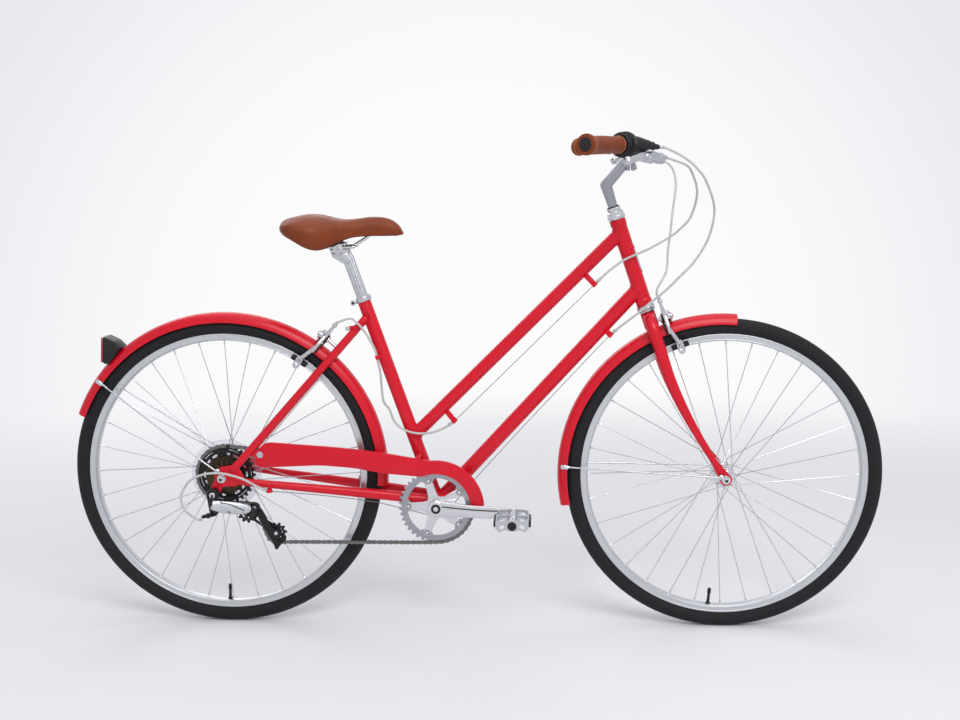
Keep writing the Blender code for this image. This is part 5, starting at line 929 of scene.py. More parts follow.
def make_spokes(wheel):
    """Spokes with their bent heads, and their nipples on the rim's eyelets."""
    nipple = [(0.0, 0.0), (0.0019, 0.0), (0.0019, 0.0085), (0.0026, 0.0105), (0.0026, 0.0118), (0.0, 0.0118)]
    eyelet = [(0.0, 0.0), (0.0040, 0.0), (0.0036, 0.0007), (0.0, 0.0009)]
    spokes, nipples, eyelets = [], [], []
    for i in range(SPOKE_COUNT):
        inner, outer, leading = spoke_ends(i, wheel.flanges, wheel.flange_radius - 0.003)
        inner, outer = inner + wheel.axle, outer + wheel.axle
        run = (outer - inner).normalized()
        elbow = inner - LEFT * (leading * 0.0042)
        path = [elbow, elbow.lerp(inner, 0.75), inner + run * 0.0015, outer]
        spokes.append(sweep("spoke", path, SPOKE_RADIUS, 8))
        spokes.append(ball("spoke_head", elbow - LEFT * (leading * 0.0004), 0.0017, 10, 0.7))
        nipples.append(turned("nipple", nipple, frame_matrix(outer - run * 0.0095, run), 12))
        out = direction(360.0 / SPOKE_COUNT * i)
        foot = wheel.axle + out * (RIM_INNER_RADIUS + 0.0004)
        eyelets.append(turned("eyelet", eyelet, frame_matrix(foot, -out), 14))
    body = f"{wheel.name}_wheel"
    add(joined(f"{wheel.name}_spokes", *spokes), body, "spoke_steel")
    add(joined(f"{wheel.name}_nipples", *nipples, *eyelets), body, "polished_alloy")


def make_valve(wheel):
    """Rubber valve stem with its cap and base, pointing at the axle."""
    inward = (wheel.axle - Vector(wheel.valve)).normalized()
    foot = wheel.axle - inward * (RIM_INNER_RADIUS + 0.001)
    stem = [(0.0, 0.0), (0.0060, 0.0), (0.0058, 0.0020), (0.0034, 0.0034), (0.0031, 0.0240), (0.0, 0.0240)]
    cap = [(0.0, 0.0240), (0.0041, 0.0242), (0.0041, 0.0330), (0.0028, 0.0355), (0.0, 0.0358)]
    matrix = frame_matrix(foot, inward)
    parts = [turned("stem", stem, matrix, 20, 0.0006), turned("cap", cap, matrix, 20, 0.0005)]
    add(joined(f"{wheel.name}_valve", *parts), f"{wheel.name}_wheel", "black_rubber")


FLANGE_THICKNESS = 0.0034


def flange(offset, radius, barrel):
    """Part of a hub's profile: a disc at this offset, with a shoulder on both sides."""
    half = FLANGE_THICKNESS / 2
    return [
        (barrel, offset + half + 0.004, 0.002),
        (barrel + 0.004, offset + half, 0.003),
        (radius, offset + half, 0.001),
        (radius, offset - half, 0.001),
        (barrel + 0.004, offset - half, 0.003),
        (barrel, offset - half - 0.004, 0.002),
    ]


def make_hub(wheel):
    """Hub shell: heights run towards the right, so the right flange comes first."""
    half = wheel.half
    right, left = (flange(-place, wheel.flange_radius, wheel.barrel) for place in wheel.flanges)
    profile = [
        (0.0052, half), (0.0100, half, 0.001), (0.0118, half - 0.004, 0.002), *right,
        (wheel.barrel * 0.86, 0.0, 0.012), *left,
        (0.0118, -half + 0.004, 0.002), (0.0100, -half, 0.001), (0.0052, -half),
    ]
    hub = turned(f"{wheel.name}_hub_shell", profile, across_bike(wheel.axle), 64, 0.0006)
    add(hub, f"{wheel.name}_wheel", "polished_alloy", f"{wheel.name}_hub")


def make_axle(wheel):
    """An axle with its cones, washers and nuts."""
    axle, half = wheel.axle, wheel.dropouts
    cone = [(0.0045, 0.0), (0.0078, 0.0), (0.0078, 0.0035), (0.0066, 0.0048), (0.0045, 0.0050)]
    parts = []
    for side, _ in SIDES:
        outward = LEFT * side
        outer = half + DROPOUT_THICKNESS + GAP
        parts.append(nut("nut", axle + outward * outer, outward, height=0.0068))
        parts.append(turned("cone", cone, frame_matrix(axle + outward * (half - GAP), -outward), 32, 0.0003))
    parts.append(rod("bar", axle - LEFT * half, axle + LEFT * half, AXLE_RADIUS, 20))
    add(joined(f"{wheel.name}_axle_set", *parts), wheel.holder, "chrome", f"{wheel.name}_axle")


def make_axle_ends(wheel):
    """The axle's dark ends, at both faces of its solid."""
    ends = []
    for (side, _), corner in zip(SIDES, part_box(f"{wheel.name}_axle")):
        face = Vector((wheel.axle.x, corner.y, wheel.axle.z))
        outward = LEFT * side
        ends.append(rod("end", face - outward * 0.0012, face + outward * 0.0004, 0.0034, 20))
    add(joined(f"{wheel.name}_axle_ends", *ends), wheel.holder, "dark_steel")


def make_wheels():
    for make in (make_tyre, make_rim, make_spokes, make_hub, make_axle, make_axle_ends, make_valve):
        for wheel in WHEELS:
            make(wheel)


# Frame


def weld(main_point, main_axis, main_radius, point, axis, radius, bead=0.0021):
    """A rippled bead where a round tube meets another; axis points along the joining tube, to
    the joint.
    """
    main_axis, axis = Vector(main_axis).normalized(), Vector(axis).normalized()
    place = frame_matrix(point, axis)
    path = []
    steps = 96
    for i in range(steps):
        angle = 2 * math.pi * i / steps
        start = place @ Vector((radius * math.cos(angle), radius * math.sin(angle), 0.0))
        away = start - Vector(main_point)
        flat = away - main_axis * away.dot(main_axis)
        run = axis - main_axis * axis.dot(main_axis)
        a, b, c = run.dot(run), 2 * flat.dot(run), flat.dot(flat) - main_radius**2
        root = max(0.0, b * b - 4 * a * c)
        path.append(start + axis * (-b - math.sqrt(root)) / (2 * a))
    radii = [bead * (1.0 + 0.16 * math.cos(2 * math.pi * i / 4)) for i in range(steps)]
    return sweep("weld", path, radii, 8, closed=True)


def seatstay_points(side):
    """A seatstay's upper end, its widest point and its lower end."""
    top = SEAT_TOP - SEAT_UP * 0.045 + SEAT_BACK * 0.010
    top.y = side * 0.012
    low = REAR_AXLE + Vector((0.026, side * (REAR_DROPOUT_HALF + DROPOUT_THICKNESS / 2), 0.020))
    wide = top.lerp(low, SEATSTAY_WIDEST)
    wide.y = side * 0.040
    return top, wide, low


def chainstay_points(side):
    """A chainstay's front end, its bend and its rear end."""
    front = BRACKET + Vector((0.0, side * 0.024, 0.008))
    middle = BRACKET + Vector((-0.125, side * 0.034, 0.024))
    rear = REAR_AXLE + Vector((0.040, side * 0.0625, -0.008))
    return front, middle, rear


def make_dropout(side):
    """Rear dropout plate with its eyelet and, on the right, the derailleur's hanger."""
    x, z = REAR_AXLE.x, REAR_AXLE.z
    outline = [
        (x + 0.052, z - 0.004), (x + 0.046, z + 0.012), (x + 0.032, z + 0.034), (x + 0.016, z + 0.028),
        (x - 0.004, z + 0.026), (x - 0.014, z + 0.016), (x - 0.017, z - 0.006),
    ]
    if side < 0:
        outline += [(-0.5802, 0.3190), (-0.5770, 0.3035), (-0.5600, 0.3035)]
    outline += [(x + 0.002, z - 0.017), (x + 0.030, z - 0.018)]
    holes = [circle((x, z), AXLE_RADIUS + GAP, 24), circle(REAR_EYELET.xz, 0.0024, 16)]
    y = side * (REAR_DROPOUT_HALF + DROPOUT_THICKNESS / 2)
    return side_plate("dropout", [fillet(outline, 0.007, 5), *holes], DROPOUT_THICKNESS, y, 0.0008)


STAY_BEAD = 0.0017


def tapered_chainstay(side):
    """An oval stay that gets thinner behind its bend, and the weld at the bracket."""
    front, middle, rear = chainstay_points(side)
    path = smooth_path([front, front.lerp(middle, 0.5), middle, middle.lerp(rear, 0.5), rear], 0.012)
    radii = []
    for point in path:
        share = min(1.0, max(0.0, (middle.x - point.x) / (middle.x - rear.x)))
        radius = CHAINSTAY_FRONT_RADIUS + (CHAINSTAY_REAR_RADIUS - CHAINSTAY_FRONT_RADIUS) * share
        radii.append((radius * 0.9, radius * 1.04))
    stay = sweep("chainstay", path, radii, 28, across=LEFT, round_ends=True)
    way = (front - middle).normalized()
    start = front - way * 0.05
    return [stay, weld(BRACKET, RIGHT, SHELL_RADIUS, start, way, CHAINSTAY_FRONT_RADIUS, STAY_BEAD)]


def make_frame_tubes():
    """All painted tubes of the frame with their welds."""
    wide = HEAD_RADIUS + 0.0012
    head = [
        (0.0140, HEAD_LENGTH), (wide, HEAD_LENGTH), (wide, HEAD_LENGTH - 0.012),
        (HEAD_RADIUS, HEAD_LENGTH - 0.016), (HEAD_RADIUS, 0.016), (wide, 0.012), (wide, 0.0), (0.0140, 0.0),
    ]
    bore = SHELL_RADIUS - 0.0035
    shell = [(bore, SHELL_HALF), (SHELL_RADIUS, SHELL_HALF), (SHELL_RADIUS, -SHELL_HALF), (bore, -SHELL_HALF)]
    seat_low, length = BRACKET + SEAT_UP * 0.012, 0.474
    seat = [(POST_RADIUS, 0.0), (SEAT_TUBE_RADIUS, 0.0), (SEAT_TUBE_RADIUS, length), (POST_RADIUS, length)]
    top_way = (TOP_TUBE_HIGH - TOP_TUBE_LOW).normalized()
    down_way = (DOWN_TUBE_HIGH - BRACKET).normalized()
    head_tube = (HEAD_BOTTOM, STEERING, HEAD_RADIUS)
    seat_tube = (BRACKET, SEAT_UP, SEAT_TUBE_RADIUS)
    bracket_shell = (BRACKET, RIGHT, SHELL_RADIUS)
    pieces = [
        turned("head", head, frame_matrix(HEAD_BOTTOM, STEERING), 56, 0.0014),
        turned("shell", shell, across_bike(BRACKET), 56, 0.0008),
        turned("seat", seat, frame_matrix(seat_low, SEAT_UP), 48, 0.0004),
        rod("top", TOP_TUBE_LOW, TOP_TUBE_HIGH, TOP_TUBE_RADIUS, 44),
        rod("down", BRACKET + down_way * 0.012, DOWN_TUBE_HIGH, DOWN_TUBE_RADIUS, 44),
        weld(*head_tube, TOP_TUBE_HIGH - top_way * 0.05, top_way, TOP_TUBE_RADIUS),
        weld(*head_tube, DOWN_TUBE_HIGH - down_way * 0.05, down_way, DOWN_TUBE_RADIUS),
        weld(*seat_tube, TOP_TUBE_LOW + top_way * 0.08, -top_way, TOP_TUBE_RADIUS),
        weld(*bracket_shell, BRACKET + SEAT_UP * 0.05, -SEAT_UP, SEAT_TUBE_RADIUS),
        weld(*bracket_shell, BRACKET + down_way * 0.05, -down_way, DOWN_TUBE_RADIUS),
    ]
    for side, _ in SIDES:
        top, wide, low = seatstay_points(side)
        path = smooth_path([top, top.lerp(wide, 0.5), wide, wide.lerp(low, 0.5), low], 0.012)
        pieces.append(sweep("seatstay", path, SEATSTAY_RADIUS, 28, round_ends=True))
        way = (top - wide).normalized()
        pieces.append(weld(*seat_tube, top - way * 0.04, way, SEATSTAY_RADIUS, STAY_BEAD))
        pieces += tapered_chainstay(side)
        pieces.append(make_dropout(side))
        bridge = top.lerp(wide, BRIDGE_SHARE / SEATSTAY_WIDEST)
        pieces.append(rod("half_bridge", Vector((bridge.x, 0.0, bridge.z)), bridge, BRIDGE_RADIUS, 24))
    replaced = ["head_tube", "top_tube", "down_tube", "seat_tube", "brake_bridge"]
    replaced += [f"{stay}_{label}" for stay in ("chainstay", "seatstay") for _, label in SIDES]
    add(joined("frame_tubes", *pieces), "frame", "red_paint", *replaced)


def make_headset():
    """Lower cup and race on the frame, and the seal, cup and lock nut on top."""
    cup = [(0.0140, 0.0), (0.0178, 0.0), (0.0200, -0.0030), (0.0200, -0.0075), (0.0188, -0.0098)]
    cup.append((0.0140, -0.0098))
    matrix = frame_matrix(HEAD_BOTTOM, STEERING)
    add(turned("lower_cup", cup, matrix, 48, 0.0007), "frame", "satin_alloy")
    race = [(0.0130, -0.0102), (0.0190, -0.0102), (0.0190, -0.0128), (0.0170, -0.0155), (0.0130, -0.0155)]
    add(turned("fork_race", race, matrix, 48, 0.0006), "steering", "satin_alloy")
    top = frame_matrix(HEAD_TOP, STEERING)
    stack = [
        (0.0140, GAP), (0.0172, GAP), (0.0196, 0.0035), (0.0198, 0.0085), (0.0180, 0.0120), (0.0174, 0.0126),
        (0.0182, 0.0132), (0.0182, 0.0170), (0.0152, 0.0186), (0.0152, 0.0196), (0.0140, 0.0196),
    ]

    def section(angle):
        flat = 0.0146 * polygon_reach(angle, 8)
        chamfer = min(flat, 0.0152)
        return [(0.0118, 0.0198), (chamfer, 0.0198), (flat, 0.0204), (flat, 0.0266), (chamfer, 0.0272),
                (0.0118, 0.0272)]

    parts = [turned("cup", stack, top, 56, 0.0006), revolved("lock_nut", top, 72, section)]
    add(joined("headset_stack", *parts), "frame", "chrome", "headset_upper")
    seal = [(0.0113, 0.0272), (0.0135, 0.0272), (0.0135, 0.0290), (0.0120, 0.0296), (0.0113, 0.0296)]
    add(turned("headset_seal", seal, top, 40, 0.0004), "frame", "black_rubber")


def make_badge():
    """A plain curved plate on the front of the head tube, held by two rivets."""
    matrix = frame_matrix(HEAD_BOTTOM, STEERING, STEER_FORWARD)
    low, high, half_angle = 0.070, 0.132, 34.0
    middle, half_height = (low + high) / 2, (high - low) / 2
    rings = []
    for i in range(25):
        share = i / 24 * 2 - 1
        taper = math.sqrt(max(0.0, 1 - abs(share) ** 2.6))
        ring = []
        for k in range(13):
            turn = k / 6 - 1
            angle = math.radians(half_angle * taper * turn)
            reach = HEAD_RADIUS + 0.0009 + 0.0004 * (1 - abs(turn) ** 4)
            point = Vector((reach * math.cos(angle), reach * math.sin(angle), middle + share * half_height))
            ring.append(matrix @ point)
        rings.append(ring)
    badge = loft("badge_plate", rings, around=False, caps=False)
    wall = badge.modifiers.new("wall", "SOLIDIFY")
    wall.thickness = 0.0008
    wall.offset = -1.0
    add(badge, "frame", "satin_alloy")
    for height in (low + 0.004, high - 0.004):
        place = HEAD_BOTTOM + STEERING * height + STEER_FORWARD * (HEAD_RADIUS + 0.0012)
        rivet = bolt(f"badge_rivet_{round(height * 1000)}", place, STEER_FORWARD, 0.0016, 0.0008, False)
        add(rivet, "frame", "satin_alloy")


def make_seat_collar():
    """Clamp with its ears and the bolt across them, behind the seat tube."""
    bottom = SEAT_TOP - SEAT_UP * 0.0085
    matrix = frame_matrix(bottom, SEAT_UP)
    inner, bore = SEAT_TUBE_RADIUS + GAP, POST_RADIUS + GAP
    ring = [(inner, 0.0100), (0.0178, 0.0100), (0.0178, 0.0), (inner, 0.0)]
    lip = [(bore, 0.0092), (0.0166, 0.0092), (0.0166, 0.0116), (bore, 0.0116)]
    centre = bottom + SEAT_UP * 0.005 + SEAT_BACK * 0.0225
    across = LEFT * 0.0120
    ear = frame_matrix(centre - SEAT_BACK * 0.003, SEAT_UP, SEAT_BACK)
    parts = [
        turned("ring", ring, matrix, 48, 0.0008),
        turned("lip", lip, matrix, 48, 0.0006),
        block("ear", (0.010, 0.0200, 0.0092), ear, 0.0016),
        rod("barrel", centre - across, centre + across, 0.0060, 28, edge=0.0010),
    ]
    sockets = []
    for side, _ in SIDES:
        end = across * side
        sockets.append(rod("socket", centre + end, centre + end * 1.03, 0.0034, 6))
    add(joined("seat_collar_sockets", *sockets), "frame", "dark_steel")
    add(joined("seat_collar_set", *parts), "frame", "satin_alloy", "seat_collar")


def make_bracket_cups():
    """Both cups of the bearing unit, on the ends of the bracket shell."""
    parts = []
    for side, _ in SIDES:
        outward = LEFT * side
        profile = [(0.0090, 0.0), (0.0184, 0.0), (0.0184, 0.0030), (0.0090, 0.0035)]
        place = frame_matrix(BRACKET + outward * (SHELL_HALF + GAP), outward)
        parts.append(turned("cup", profile, place, 40, 0.0006))
    add(joined("bracket_cups", *parts), "frame", "satin_alloy", "bottom_bracket_unit")


# Fork


# Each has its distance below the head tube, its share of the full spread and its radius
BLADE_STATIONS = (
    (0.0240, 0.10, 0.0105),
    (0.0270, 0.34, 0.0115),
    (0.0340, 0.55, 0.0122),
    (0.0460, 0.70, 0.0126),
    (0.0650, 0.76, 0.0126),
    (0.1000, 0.83, 0.0123),
    (0.1600, 0.92, 0.0115),
    (0.2300, 0.98, 0.0100),
    (0.3050, 1.00, 0.0078),
    (0.3540, 1.00, 0.0068),
    (0.3910, 1.00, 0.0062),
)
BLADE_SPREAD = 0.0525


def steering_point(drop, forward=0.0, y=0.0):
    """A point this far below the head tube, forward of the steering axis and to the left."""
    return HEAD_BOTTOM - STEERING * drop + STEER_FORWARD * forward + LEFT * y


def make_fork():
    """Crown with rounded shoulders and two blades that taper and rake forward to their dropouts."""
    matrix = frame_matrix(HEAD_BOTTOM, STEERING)
    crown = [(0.0, -0.0510), (0.0150, -0.0510), (0.0160, -0.0490), (0.0160, -0.0165), (0.0, -0.0160)]
    pieces = [turned("crown", crown, matrix, 44, 0.0018)]
    steerer = [(0.0113, 0.0), (0.0127, 0.0), (0.0127, 0.222), (0.0113, 0.222)]
    pieces.append(turned("steerer", steerer, matrix, 36))
    axle_drop = (HEAD_BOTTOM - FRONT_AXLE).dot(STEERING)
    rake = (FRONT_AXLE - HEAD_BOTTOM).dot(STEER_FORWARD)
    for side, _ in SIDES:
        stations = []
        for drop, spread, _ in BLADE_STATIONS:
            share = max(0.0, drop / axle_drop - 0.40) / 0.60
            stations.append(steering_point(drop, rake * share**1.45, side * BLADE_SPREAD * spread))
        path = smooth_path(stations, 0.010)
        sizes = [at_station(BLADE_STATIONS, (HEAD_BOTTOM - point).dot(STEERING), 2) for point in path]
        ovals = [(size * 0.92, size * 1.06) for size in sizes]
        pieces.append(sweep("blade", path, ovals, 30, across=LEFT, round_ends=True))
        outline = capsule(stations[-2].xz, FRONT_AXLE.xz, 0.0055, 0.013, 14)
        hole = circle(FRONT_AXLE.xz, AXLE_RADIUS + GAP, 24)
        y = side * (FRONT_FORK_HALF + DROPOUT_THICKNESS / 2)
        pieces.append(side_plate("fork_dropout", [outline, hole], DROPOUT_THICKNESS, y, 0.0008))
        eyelet = FRONT_EYELET + LEFT * (side * FRONT_FORK_HALF)
        outward = LEFT * (side * DROPOUT_THICKNESS)
        pieces.append(rod("eyelet", eyelet, eyelet + outward, 0.0050, 20, edge=0.0006))
    add(joined("fork", *pieces), "steering", "red_paint", "fork_crown", "fork_blade_right", "fork_blade_left")


# Fenders


def fender_profile(radius):
    """Closed section: a crowned sheet with rolled edges."""
    outer, steps = [], 14
    for i in range(steps + 1):
        share = 1 - 2 * i / steps
        drop = FENDER_DEPTH * (1 - math.sqrt(max(0.0, 1 - abs(share) ** 2.2)))
        outer.append((radius - drop, share * FENDER_HALF_WIDTH))
    skirt, rolled = radius - FENDER_DEPTH, FENDER_HALF_WIDTH - 0.0030
    edge = [(skirt - 0.0007, FENDER_HALF_WIDTH), (skirt - 0.0007, rolled), (skirt + 0.002, rolled)]
    inner = []
    for r, y in outer[2:-2]:
        inner.append((r - FENDER_THICKNESS * 0.8, y * (1 - 0.03 * abs(y) / FENDER_HALF_WIDTH)))
    return outer + [(r, -y) for r, y in edge] + inner[::-1] + edge[::-1]


def make_fender(name, centre, radius, arc, body, node):
    """A fender from one angle to the other, its last rings drawn in so that its ends look rolled."""
    rings = []
    steps = 110
    profile = fender_profile(radius)
    matrix = across_bike(centre)
    for i in range(-2, steps + 3):
        angle = math.radians(arc[0] + (arc[1] - arc[0]) * min(max(i, 0), steps) / steps)
        pull = {-2: 0.35, -1: 0.8, steps + 1: 0.8, steps + 2: 0.35}.get(i, 1.0)
        lean = math.radians((1 - pull) * (-0.6 if i < 0 else 0.6))
        turn = Vector((math.cos(angle + lean), math.sin(angle + lean), 0.0))
        ring = [matrix @ (turn * r + UP * y * (0.985 + 0.015 * pull)) for r, y in profile]
        rings.append(ring)
    add(loft(name, rings), body, "red_paint", node)


def make_fender_stays(name, eye, hold, half, body):
    """Wire stays on both sides: an eye bolted beside the dropout, and a bolt through the skirt."""
    wires, fittings = [], []
    for side, _ in SIDES:
        outward = LEFT * side
        outside = outward * (half + GAP + STAY_WIRE_RADIUS)
        near = outward * (FENDER_HALF_WIDTH + STAY_WIRE_RADIUS * 0.4)
        half_way = eye.lerp(hold, 0.55) + outside.lerp(near, 0.5)
        path = smooth_path([eye + outside, eye.lerp(hold, 0.10) + outside, half_way, hold + near], 0.02)
        wires.append(sweep("wire", path, 0.0019, 12, round_ends=True))
        loop = [eye + outside + direction(a) * 0.0046 for a in range(0, 360, 20)]
        wires.append(sweep("loop", loop, 0.0017, 10, closed=True))
        fittings.append(bolt("stay_bolt", eye + outside + outward * 0.0012, outward, 0.0046, 0.0022, False))
        lug = hold + near + outward * 0.0006
        way = frame_matrix(lug, outward, hold - eye)
        fittings.append(block("lug", (0.016, 0.010, 0.0024), way, 0.0009))
        fittings.append(bolt("lug_bolt", lug + outward * 0.0010, outward, 0.0038, 0.0024, False))
        sleeve_start = hold + near - (hold - eye).normalized() * 0.020
        fittings.append(rod("sleeve", sleeve_start, hold + near, 0.0028, 14, edge=0.0004))
    add(joined(f"{name}_stay_wires", *wires), body, "spoke_steel")
    add(joined(f"{name}_stay_fittings", *fittings), body, "chrome")


def make_fenders():
    """Both fenders, each with a pair of stays from the eyelets to its skirt."""
    make_fender("rear_fender_shell", REAR_AXLE, REAR_FENDER_RADIUS, REAR_FENDER_ARC, "frame", "rear_fender")
    centre = FRONT_AXLE - Vector((FRONT_FENDER_BACK, 0.0, 0.0))
    sizes = (FRONT_FENDER_RADIUS, FRONT_FENDER_ARC)
    make_fender("front_fender_shell", centre, *sizes, "steering", "front_fender")
    hold = REAR_AXLE + direction(143.4) * (REAR_FENDER_RADIUS - FENDER_DEPTH + 0.006)
    make_fender_stays("rear", REAR_EYELET, hold, REAR_DROPOUT_HALF + DROPOUT_THICKNESS, "frame")
    hold = centre + direction(176.7) * (FRONT_FENDER_RADIUS - FENDER_DEPTH + 0.006)
    make_fender_stays("front", FRONT_EYELET, hold, FRONT_FORK_HALF + DROPOUT_THICKNESS, "steering")


def make_reflector():
    """Black wedge on the rear fender, with a raised rim round its red lens."""
    outline = [(-0.7780, 0.6300), (-0.7920, 0.6440), (-0.8158, 0.6552), (-0.8193, 0.5950), (-0.8060, 0.5930)]
    wedge = side_plate("housing", [fillet(outline, 0.004, 4)], 0.050, 0.0, 0.003)
    add(wedge, "frame", "black_plastic", "rear_reflector")
    top, low = Vector((-0.8200, 0.0, 0.6552)), Vector((-0.8235, 0.0, 0.5950))
    out = Vector((-1.0, 0.0, 0.06)).normalized()
    face = frame_matrix(top.lerp(low, 0.5) - out * 0.0010, out, low - top)
    outline = rounded_box(0.0285, 0.0230, 0.006, 6)
    hole = rounded_box(0.0255, 0.0200, 0.005, 6)
    behind = face @ Matrix.Translation((0.0, 0.0, -0.0028))
    add(plate("reflector_rim", [outline, hole], 0.0012, behind, 0.0004), "frame", "black_plastic")
    add(plate("reflector_lens", [outline], 0.0044, face, 0.0012), "frame", "red_lens")


# Stem, handlebar and grips


def bar_side(side):
    """Grip end, heading towards the middle, and forward direction of one side of the bar."""
    end = Vector((0.237, side * 0.290, 1.064))
    sweep_angle = math.radians(GRIP_SWEEP)
    inward = Vector((math.sin(sweep_angle), -side * math.cos(sweep_angle), 0.0))
    forward = Vector((inward.y, -inward.x, 0.0)) * -side
    return end, inward, forward


BAR_CLAMP = Vector((0.342, 0.0, 1.044))
STRAIGHT_END = GRIP_LENGTH + SHIFTER_TWIST_LENGTH + SHIFTER_BODY_LENGTH + LEVER_CLAMP_LENGTH + 6 * GAP


def bar_path():
    """The bar's middle line, from the right grip's end over the clamp to the left one's."""
    halves = []
    for side in (-1, 1):
        end, inward, _ = bar_side(side)
        bend = end + inward * (STRAIGHT_END + 0.006)
        knee = Vector((BAR_CLAMP.x + 0.016, side * 0.085, (BAR_CLAMP.z + end.z) / 2))
        neck = Vector((BAR_CLAMP.x + 0.002, side * 0.032, BAR_CLAMP.z + 0.001))
        inner = end + inward * STRAIGHT_END
        halves.append((end, end.lerp(inner, 0.5), inner, bend, knee, neck))
    right, left = halves
    return smooth_path([*right, BAR_CLAMP, *reversed(left)], 0.008)


def mitred(name, points, radii):
    """A round tube through the points, cut and joined at half the angle at each corner."""
    points = [Vector(p) for p in points]
    rings = []
    for i, (point, radius) in enumerate(zip(points, radii)):
        arriving = (point - points[i - 1]).normalized() if i else (points[1] - point).normalized()
        leaving = (points[i + 1] - point).normalized() if i < len(points) - 1 else arriving
        other = arriving.cross(LEFT)
        flat = (arriving + leaving).normalized()
        ring = []
        for k in range(36):
            angle = 2 * math.pi * k / 36
            offset = LEFT * radius * math.cos(angle) + other * radius * math.sin(angle)
            ring.append(point + offset - arriving * (offset.dot(flat) / arriving.dot(flat)))
        rings.append(ring)
    return loft(name, rings)


def make_stem():
    """Quill and forward arm joined at a mitred corner, with the bar clamp, its ears and its bolts."""
    bend = HEAD_TOP + STEERING * 0.078
    arm = (BAR_CLAMP - bend).normalized()
    path = [HEAD_TOP - STEERING * 0.060, HEAD_TOP + STEERING * 0.018, HEAD_TOP + STEERING * 0.034]
    path += [bend - STEERING * 0.0012, bend + arm * 0.0012, bend + arm * 0.020, BAR_CLAMP - arm * 0.004]
    parts = [mitred("stem_tube", path, [0.0098, 0.0098, 0.0104, 0.0124, 0.0126, 0.0122, 0.0120])]
    half = Vector((0.0, 0.020, 0.0))
    wall = [(BAR_RADIUS + GAP, 0.0), (0.0166, 0.0), (0.0172, 0.004), (0.0172, 0.036), (0.0166, 0.040)]
    wall.append((BAR_RADIUS + GAP, 0.040))
    parts.append(turned("barrel", wall, frame_matrix(BAR_CLAMP - half, half), 44, 0.0012))
    for step in (-1, 1):
        place = BAR_CLAMP + Vector((step * 0.0056 - 0.001, 0.0, -0.0232))
        parts.append(block("ear", (0.0088, 0.020, 0.020), Matrix.Translation(place), 0.0026, 3))
        outward = Vector((step, 0.0, 0.0))
        end = BAR_CLAMP + Vector((step * 0.0100 - 0.001, 0.0, -0.0256))
        parts.append(bolt("clamp_bolt", end, outward, 0.0050, 0.0034))
    add(joined("stem_piece", *parts), "steering", "ring_alloy", "stem")


def make_handlebar():
    bar = sweep("bar_tube", bar_path(), BAR_RADIUS, 36)
    add(bar, "steering", "satin_alloy", "handlebar")


def make_grips():
    """Leather wrapped round a grip, laced underneath, with a flared end and a black plug."""
    for side, label in SIDES:
        end, inward, _ = bar_side(side)
        matrix = frame_matrix(end, inward, UP)
        profile = [
            (0.0114, GRIP_LENGTH), (0.0166, GRIP_LENGTH, 0.001), (0.0172, GRIP_LENGTH - 0.004, 0.002),
            (0.0164, 0.110, 0.02), (0.0176, 0.064, 0.03), (0.0168, 0.024, 0.01), (0.0190, 0.010, 0.006),
            (0.0213, 0.0035, 0.002), (0.0204, -0.0026, 0.0012), (0.0114, -0.0026),
        ]
        profile = fillet(profile, 0.001, 5)

        def section(angle):
            seam = 0.0007 * math.exp(-((angle - math.pi) / 0.05) ** 2)
            return [(r - seam if r > 0.0116 else r, h) for r, h in profile]

        leather = revolved(f"grip_leather_{label}", matrix, 64, section)
        add(leather, "steering", "leather", f"grip_{label}")
        add(joined(f"grip_thread_{label}", *grip_threads(matrix)), "steering", "thread")
        plug = [(0.0, -0.0034), (0.0110, -0.0034), (0.0136, -0.0031), (0.0142, -0.0022), (0.0138, 0.0010)]
        plug.append((0.0, 0.0010))
        add(turned(f"grip_plug_{label}", plug, matrix, 36, 0.0006), "steering", "black_plastic")


# Rough outer radius of the leather by its distance from the bar's end
GRIP_STATIONS = (
    (0.0, 0.0200), (0.0060, 0.0202), (0.0110, 0.0189), (0.0240, 0.0170), (0.0640, 0.0176), (0.1100, 0.0165),
    (0.1100, 0.0170),
)


def grip_threads(matrix):
    """Crossed laces along the seam, and a ring of stitches near each end."""

    def on_leather(angle, height, lift):
        reach = at_station(GRIP_STATIONS, height) + lift
        return matrix @ Vector((reach * math.cos(angle), reach * math.sin(angle), height))

    made = []
    steps = 30
    for k in range(steps):
        low, high = 0.008 + 0.112 * k / steps, 0.008 + 0.112 * (k + 1) / steps
        for lean in (-0.16, 0.16):
            places = ((math.pi + lean, low), (math.pi, (low + high) / 2), (math.pi - lean, high))
            path = [on_leather(angle, height, 0.0002) for angle, height in places]
            made.append(sweep("lace", path, 0.00045, 6, round_ends=True))
    for height in (0.0095, GRIP_LENGTH - 0.0045):
        for k in range(26):
            angle = 2 * math.pi * k / 26
            path = [on_leather(a, height, 0.0001) for a in (angle, angle + 0.12)]
            made.append(sweep("stitch", path, 0.0009, 8, round_ends=True))
    return made


# Controls


def control_station(side, before):
    """Start of a control on the bar's straight end, this far in from the grip."""
    end, inward, forward = bar_side(side)
    return end + inward * (GRIP_LENGTH + GAP + before), inward, forward


def ribbed(name, profile, matrix, ribs, depth, low, high):
    """A turned sleeve with ribs along its outside between two heights, from a closed profile."""

    def section(angle):
        swell = depth * max(0.0, math.cos(angle * ribs))
        return [(r + (swell if low < h < high else 0.0), h) for r, h in profile]

    return revolved(name, matrix, ribs * 4, section)


